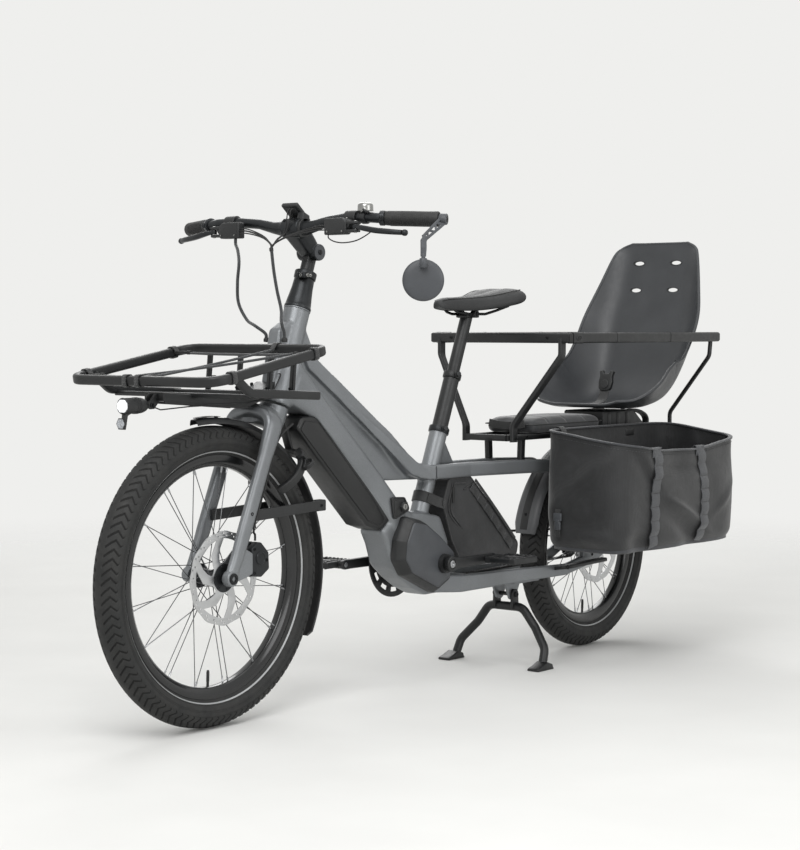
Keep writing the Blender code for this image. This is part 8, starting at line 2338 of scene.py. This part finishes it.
def makeHandrails():
    look = railLook
    section = roundedRect(look["wide"], look["tall"], 0.006, 6)
    end = look["aside"] + look["wide"] / 2
    hoopX, height, lowX = look["front"], look["height"], look["front"] + 0.045
    footY = look["rackHalf"] + look["rackTube"] / 2 + 0.0003 + 0.0055
    bar = sweep([(hoopX, -end, height), (hoopX, -end + 0.0035, height), (hoopX, end - 0.0035, height),
                 (hoopX, end, height)], section, forward, [0.9, 1.0, 1.0, 0.9])
    shapes, bolts, caps = [bar], [], []
    for side in (1, -1):
        leg = filleted([(hoopX, side * 0.188, height), (hoopX, side * 0.188, height - 0.045),
                        (lowX, side * footY, look["rackHeight"] + 0.03),
                        (lowX, side * footY, look["rackHeight"] - 0.01)], 0.026, 8)
        shapes.append(sweep(leg, roundedRect(0.011, 0.024, 0.0044, 5), leftward))
        bolts.append(screw((lowX, side * (footY + 0.0054), look["rackHeight"]), leftward * side, 0.0046, 0.0026))
        bolts.append(screw((hoopX + 0.0102, side * 0.15, height), forward, 0.004, 0.0022))
        # Corner socket with its oval hole where hoop and rail meet
        line = [(hoopX - 0.0112, side * look["aside"], height), (hoopX - 0.056, side * look["aside"], height)]
        caps.append(sweep(line, roundedRect(look["wide"] + 0.0022, look["tall"] + 0.0022, 0.0062, 6), leftward))
        out = side * (look["aside"] + look["wide"] / 2 + 0.0013)
        ring = [Vector((hoopX - 0.034 + 0.0105 * c, out, height + 0.006 * s)) for c, s in turns(36)]
        caps.append(sweep(ring, circle(0.0012, 8), leftward, closed=True))
    piece("RackHoopTube", shapes, "powderCoatBlack", "frame", "rack_hoop")
    piece("HandrailSockets", caps, "mouldedNylon", "frame")
    foot = look["rackHalf"] + look["rackTube"] / 2 + 0.0003 + 0.006
    for name, side, stands in (("HandrailLeft", 1, "handrail_left"), ("HandrailRight", -1, "handrail_right")):
        start = hoopX - look["wide"] / 2 - 0.0003
        rail = sweep([(start, side * look["aside"], height), (look["rear"] + 0.004, side * look["aside"], height),
                      (look["rear"], side * look["aside"], height)], section, leftward, [1.0, 1.0, 0.93])
        prop = filleted([(look["rear"] + 0.03, side * (look["aside"] - 0.002), height),
                         (look["rear"] + 0.034, side * (look["aside"] - 0.004), height - 0.052),
                         (look["rear"] + 0.03, side * foot, look["rackHeight"] + 0.04),
                         (look["rear"] + 0.03, side * foot, look["rackHeight"] - 0.008)], 0.028, 8)
        seam = [sweep([(x, side * look["aside"], height), (x - 0.0012, side * look["aside"], height)],
                      roundedRect(look["wide"] + 0.001, look["tall"] + 0.001, 0.0062, 6), leftward)
                for x in (-1.26, -1.52)]
        piece(name, [rail, sweep(prop, circle(0.0059, 18), leftward), *seam], "powderCoatBlack", "frame", stands)
        bolts.append(screw((look["rear"] + 0.03, side * (foot + 0.0056), look["rackHeight"]), leftward * side, 0.0042,
                           0.0024))
        bolts.append(lathe([(0.0, 0.0), (0.0052, 0.0), (0.0052, 0.0006), (0.0, 0.001)],
                           (hoopX - 0.034, side * (look["aside"] + look["wide"] / 2 + 0.0008), height),
                           leftward * side, 24))
    piece("HandrailBolts", bolts, "blackOxide", "frame")
    ends = []
    for side in (1, -1):
        plugWide, plugTall = look["wide"] - 0.005, look["tall"] - 0.005
        ends.append(brick((look["rear"] - 0.0006, side * look["aside"], height), (0.0016, plugWide, plugTall),
                          0.0006))
        ends.append(brick((hoopX, side * (end + 0.0006), height), (plugWide, 0.0016, plugTall), 0.0006))
    piece("HandrailPlugs", ends, "softRubber", "frame")


makeRearRack()
makeHandrails()
print("racks built")

# Rear mudguard, centre stand and rear triangle
standPivot = Vector((-1.075, 0.0, 0.168))


def makeRearMudguard():
    radius = 0.284
    rows = archRows(rearAxle, radius + 0.0016, 0.074, 10.0, 150.0,
                    lambda share: min(1.0, 0.8 + 5 * share, 0.78 + 6 * (1 - share)), crown=0.0012, drop=0.01)
    piece("RearMudguard", gridShape(rows, closedAcross=True, caps=True), "mudguardGrey", "frame", "rear_mudguard",
          sharp=45.0)
    tabLow, tabHigh = rearAxle.z + radius, railLook["rackHeight"] - 0.0053
    band = [polar(rearAxle, radius + 0.003, a) for a in range(12, 149, 2)]
    piece("RearMudguardBand", [sweep(band, ellipse(0.023, 0.0022, steps=16), leftward),
                               brick((rearAxle.x, 0, (tabLow + tabHigh) / 2), (0.03, 0.024, tabHigh - tabLow),
                                     0.002)], "mouldedNylon", "frame")
    bolts = [screw(polar(rearAxle, radius + 0.0036, a), outwards(a), 0.004, 0.0022) for a in (20, 82, 98, 142)]
    piece("RearMudguardScrews", bolts, "blackOxide", "frame")


def makeStand():
    pivot, floor = standPivot, cadBox[0][2] - origin.z
    barZ = pivot.z - 0.032
    half = [(pivot.x + 0.03, 0.136, floor + 0.01), (pivot.x + 0.014, 0.132, barZ - 0.096),
            (pivot.x - 0.004, 0.09, barZ - 0.048), (pivot.x - 0.002, 0.052, barZ)]
    path = filleted([Vector(p) for p in half] + [mirrored(p, -1) for p in reversed(half)], 0.035, 8)
    shapes = [sweep(path, circle(0.011, 24), forward)]
    for side in (1, -1):
        inner = 0.0276  # the ears stand inside the frame's lugs
        ear = slab([(pivot.x - 0.012, pivot.z + 0.006), (pivot.x - 0.006, pivot.z + 0.013),
                    (pivot.x + 0.006, pivot.z + 0.013), (pivot.x + 0.012, pivot.z + 0.006),
                    (pivot.x + 0.013, barZ - 0.004), (pivot.x - 0.015, barZ - 0.004)], side * inner - 0.004,
                   side * inner + 0.004, "XZ", 0.0016)
        shapes.append(ear)
        wedge = [(pivot.x + 0.01, floor), (pivot.x + 0.079, floor), (pivot.x + 0.079, floor + 0.006),
                 (pivot.x + 0.06, floor + 0.011), (pivot.x + 0.036, floor + 0.02), (pivot.x + 0.014, floor + 0.013)]
        shapes.append(slab(wedge, side * 0.14 - 0.017, side * 0.14 + 0.017, "XZ", 0.003))
    shapes.append(rod(pivot - leftward * 0.034, pivot + leftward * 0.034, 0.005, 24))
    piece("CentreStandTube", shapes, "powderCoatBlack", "stand", "centre_stand")
    bolts = [screw(pivot + leftward * side * 0.0335, leftward * side, 0.0074, 0.003) for side in (1, -1)]
    piece("StandBolts", bolts, "blackOxide", "stand")
    pads = [brick((pivot.x + 0.044, side * 0.14, floor + 0.0022), (0.066, 0.035, 0.0044), 0.0012) for side in (1, -1)]
    piece("StandPads", pads, "softRubber", "stand")


def makeRearTriangle():
    shapes = []
    railMid, stayY = railTop - frameLook["railTall"] / 2, 0.068
    start = seatX(railTop) + 0.034 - 0.0003
    for side in (1, -1):
        line = [Vector((start, side * 0.034, railMid)), Vector((seatX(railTop) - 0.1, side * 0.0355, railMid)),
                Vector((rearAxle.x + 0.33, side * 0.056, railMid - 0.004)),
                Vector((rearAxle.x + 0.13, side * stayY, railMid - 0.012)),
                Vector((rearAxle.x + 0.02, side * stayY, rearAxle.z + 0.06)),
                Vector((rearAxle.x, side * stayY, rearAxle.z))]
        path = filleted(line, 0.06, 12)
        scales = [1.0 - 0.38 * clamp((rearAxle.x + 0.2 - point.x) / 0.2) for point in path]
        shapes.append(sweep(path, roundedRect(0.024, 0.035, 0.0075, 6), leftward, scales))
        drop = 0.056 if side > 0 else 0.03
        tucked = [Vector((crankX + 0.01, 0.05, crankZ - 0.05))] if side > 0 else []  # starts behind the motor cover
        line = tucked + [Vector((crankX - 0.072, side * stayY, crankZ - drop)),
                         Vector((crankX - 0.33, side * stayY, 0.223)),
                         Vector((rearAxle.x + 0.19, side * stayY, rearAxle.z - 0.0465)),
                         Vector((rearAxle.x + 0.06, side * stayY, rearAxle.z - 0.0255)),
                         Vector((rearAxle.x, side * stayY, rearAxle.z))]
        path = filleted(line, 0.05, 10)
        scales = [1.0 - 0.3 * clamp((crankX - 0.072 - point.x) / 0.45) for point in path]
        shapes.append(sweep(path, roundedRect(0.016, 0.042, 0.0055, 6), leftward, scales))
        shapes.append(lathe([(0.0, -0.008), (0.02, -0.008), (0.0212, -0.0068), (0.0212, 0.0068), (0.02, 0.008),
                             (0.0, 0.008)], rearAxle + leftward * side * stayY, leftward, 48))
    edge = dropoutSide
    yoke = [(edge, -0.0765), (edge, -0.0355), (-0.028, -0.0355), (-0.038, -0.011), (-edge, -0.011), (-edge, -0.049),
            (-0.034, -0.049), (-0.028, -0.0765)]
    shapes.append(slab([(y, crankZ + z) for y, z in yoke], crankX - 0.106, crankX - 0.0703, "YZ", 0.004))
    x, z = standPivot.x, standPivot.z
    shapes.append(brick((x, 0, z + 0.04), (0.11, 0.136, 0.014), 0.003))
    lug = [(x - 0.036, z + 0.038), (x - 0.014, z - 0.01), (x - 0.006, z - 0.014), (x + 0.006, z - 0.014),
           (x + 0.014, z - 0.01), (x + 0.036, z + 0.038)]
    for side in (1, -1):
        shapes.append(slab(lug, side * 0.02 - 0.003, side * 0.02 + 0.003, "XZ", 0.001))
    shapes.append(brick((rearAxle.x + 0.088, edge - 0.008, rearAxle.z + 0.0025), (0.05, 0.0162, 0.06), 0.004))
    shapes.append(rod(rearAxle - leftward * 0.08, rearAxle + leftward * 0.08, 0.007, 28))
    piece("RearTriangleTubes", shapes, "powderCoatGrey", "frame", "rear_triangle", sharp=38.0)
    line = filleted([(rearAxle.x + 0.236, stayY, 0.226), (rearAxle.x + 0.236, 0.104, 0.232),
                     (rearAxle.x + 0.06, 0.104, 0.236)], 0.02, 8)
    shapes = [sweep(line, roundedRect(0.01, 0.02, 0.003), upward)]
    shapes += [brick((rearAxle.x + 0.196 - 0.015 * n, 0.104, 0.2376 + 0.0003 * n), (0.005, 0.016, 0.002), 0.0006)
               for n in range(9)]  # grip bars
    piece("FootStep", shapes, "powderCoatBlack", "frame")
    bolts = [screw((rearAxle.x + 0.236, 0.109, 0.232), leftward, 0.006, 0.003)]
    bolts += [screw((rearAxle.x + 0.088 + dx, edge + 0.0002, rearAxle.z + 0.0025 + dz), leftward, 0.0036, 0.0018)
              for dx, dz in ((0.014, 0.02), (-0.014, -0.02))]
    piece("TriangleBolts", bolts, "blackOxide", "frame")


makeRearMudguard()
makeStand()
makeRearTriangle()
print("rear built")
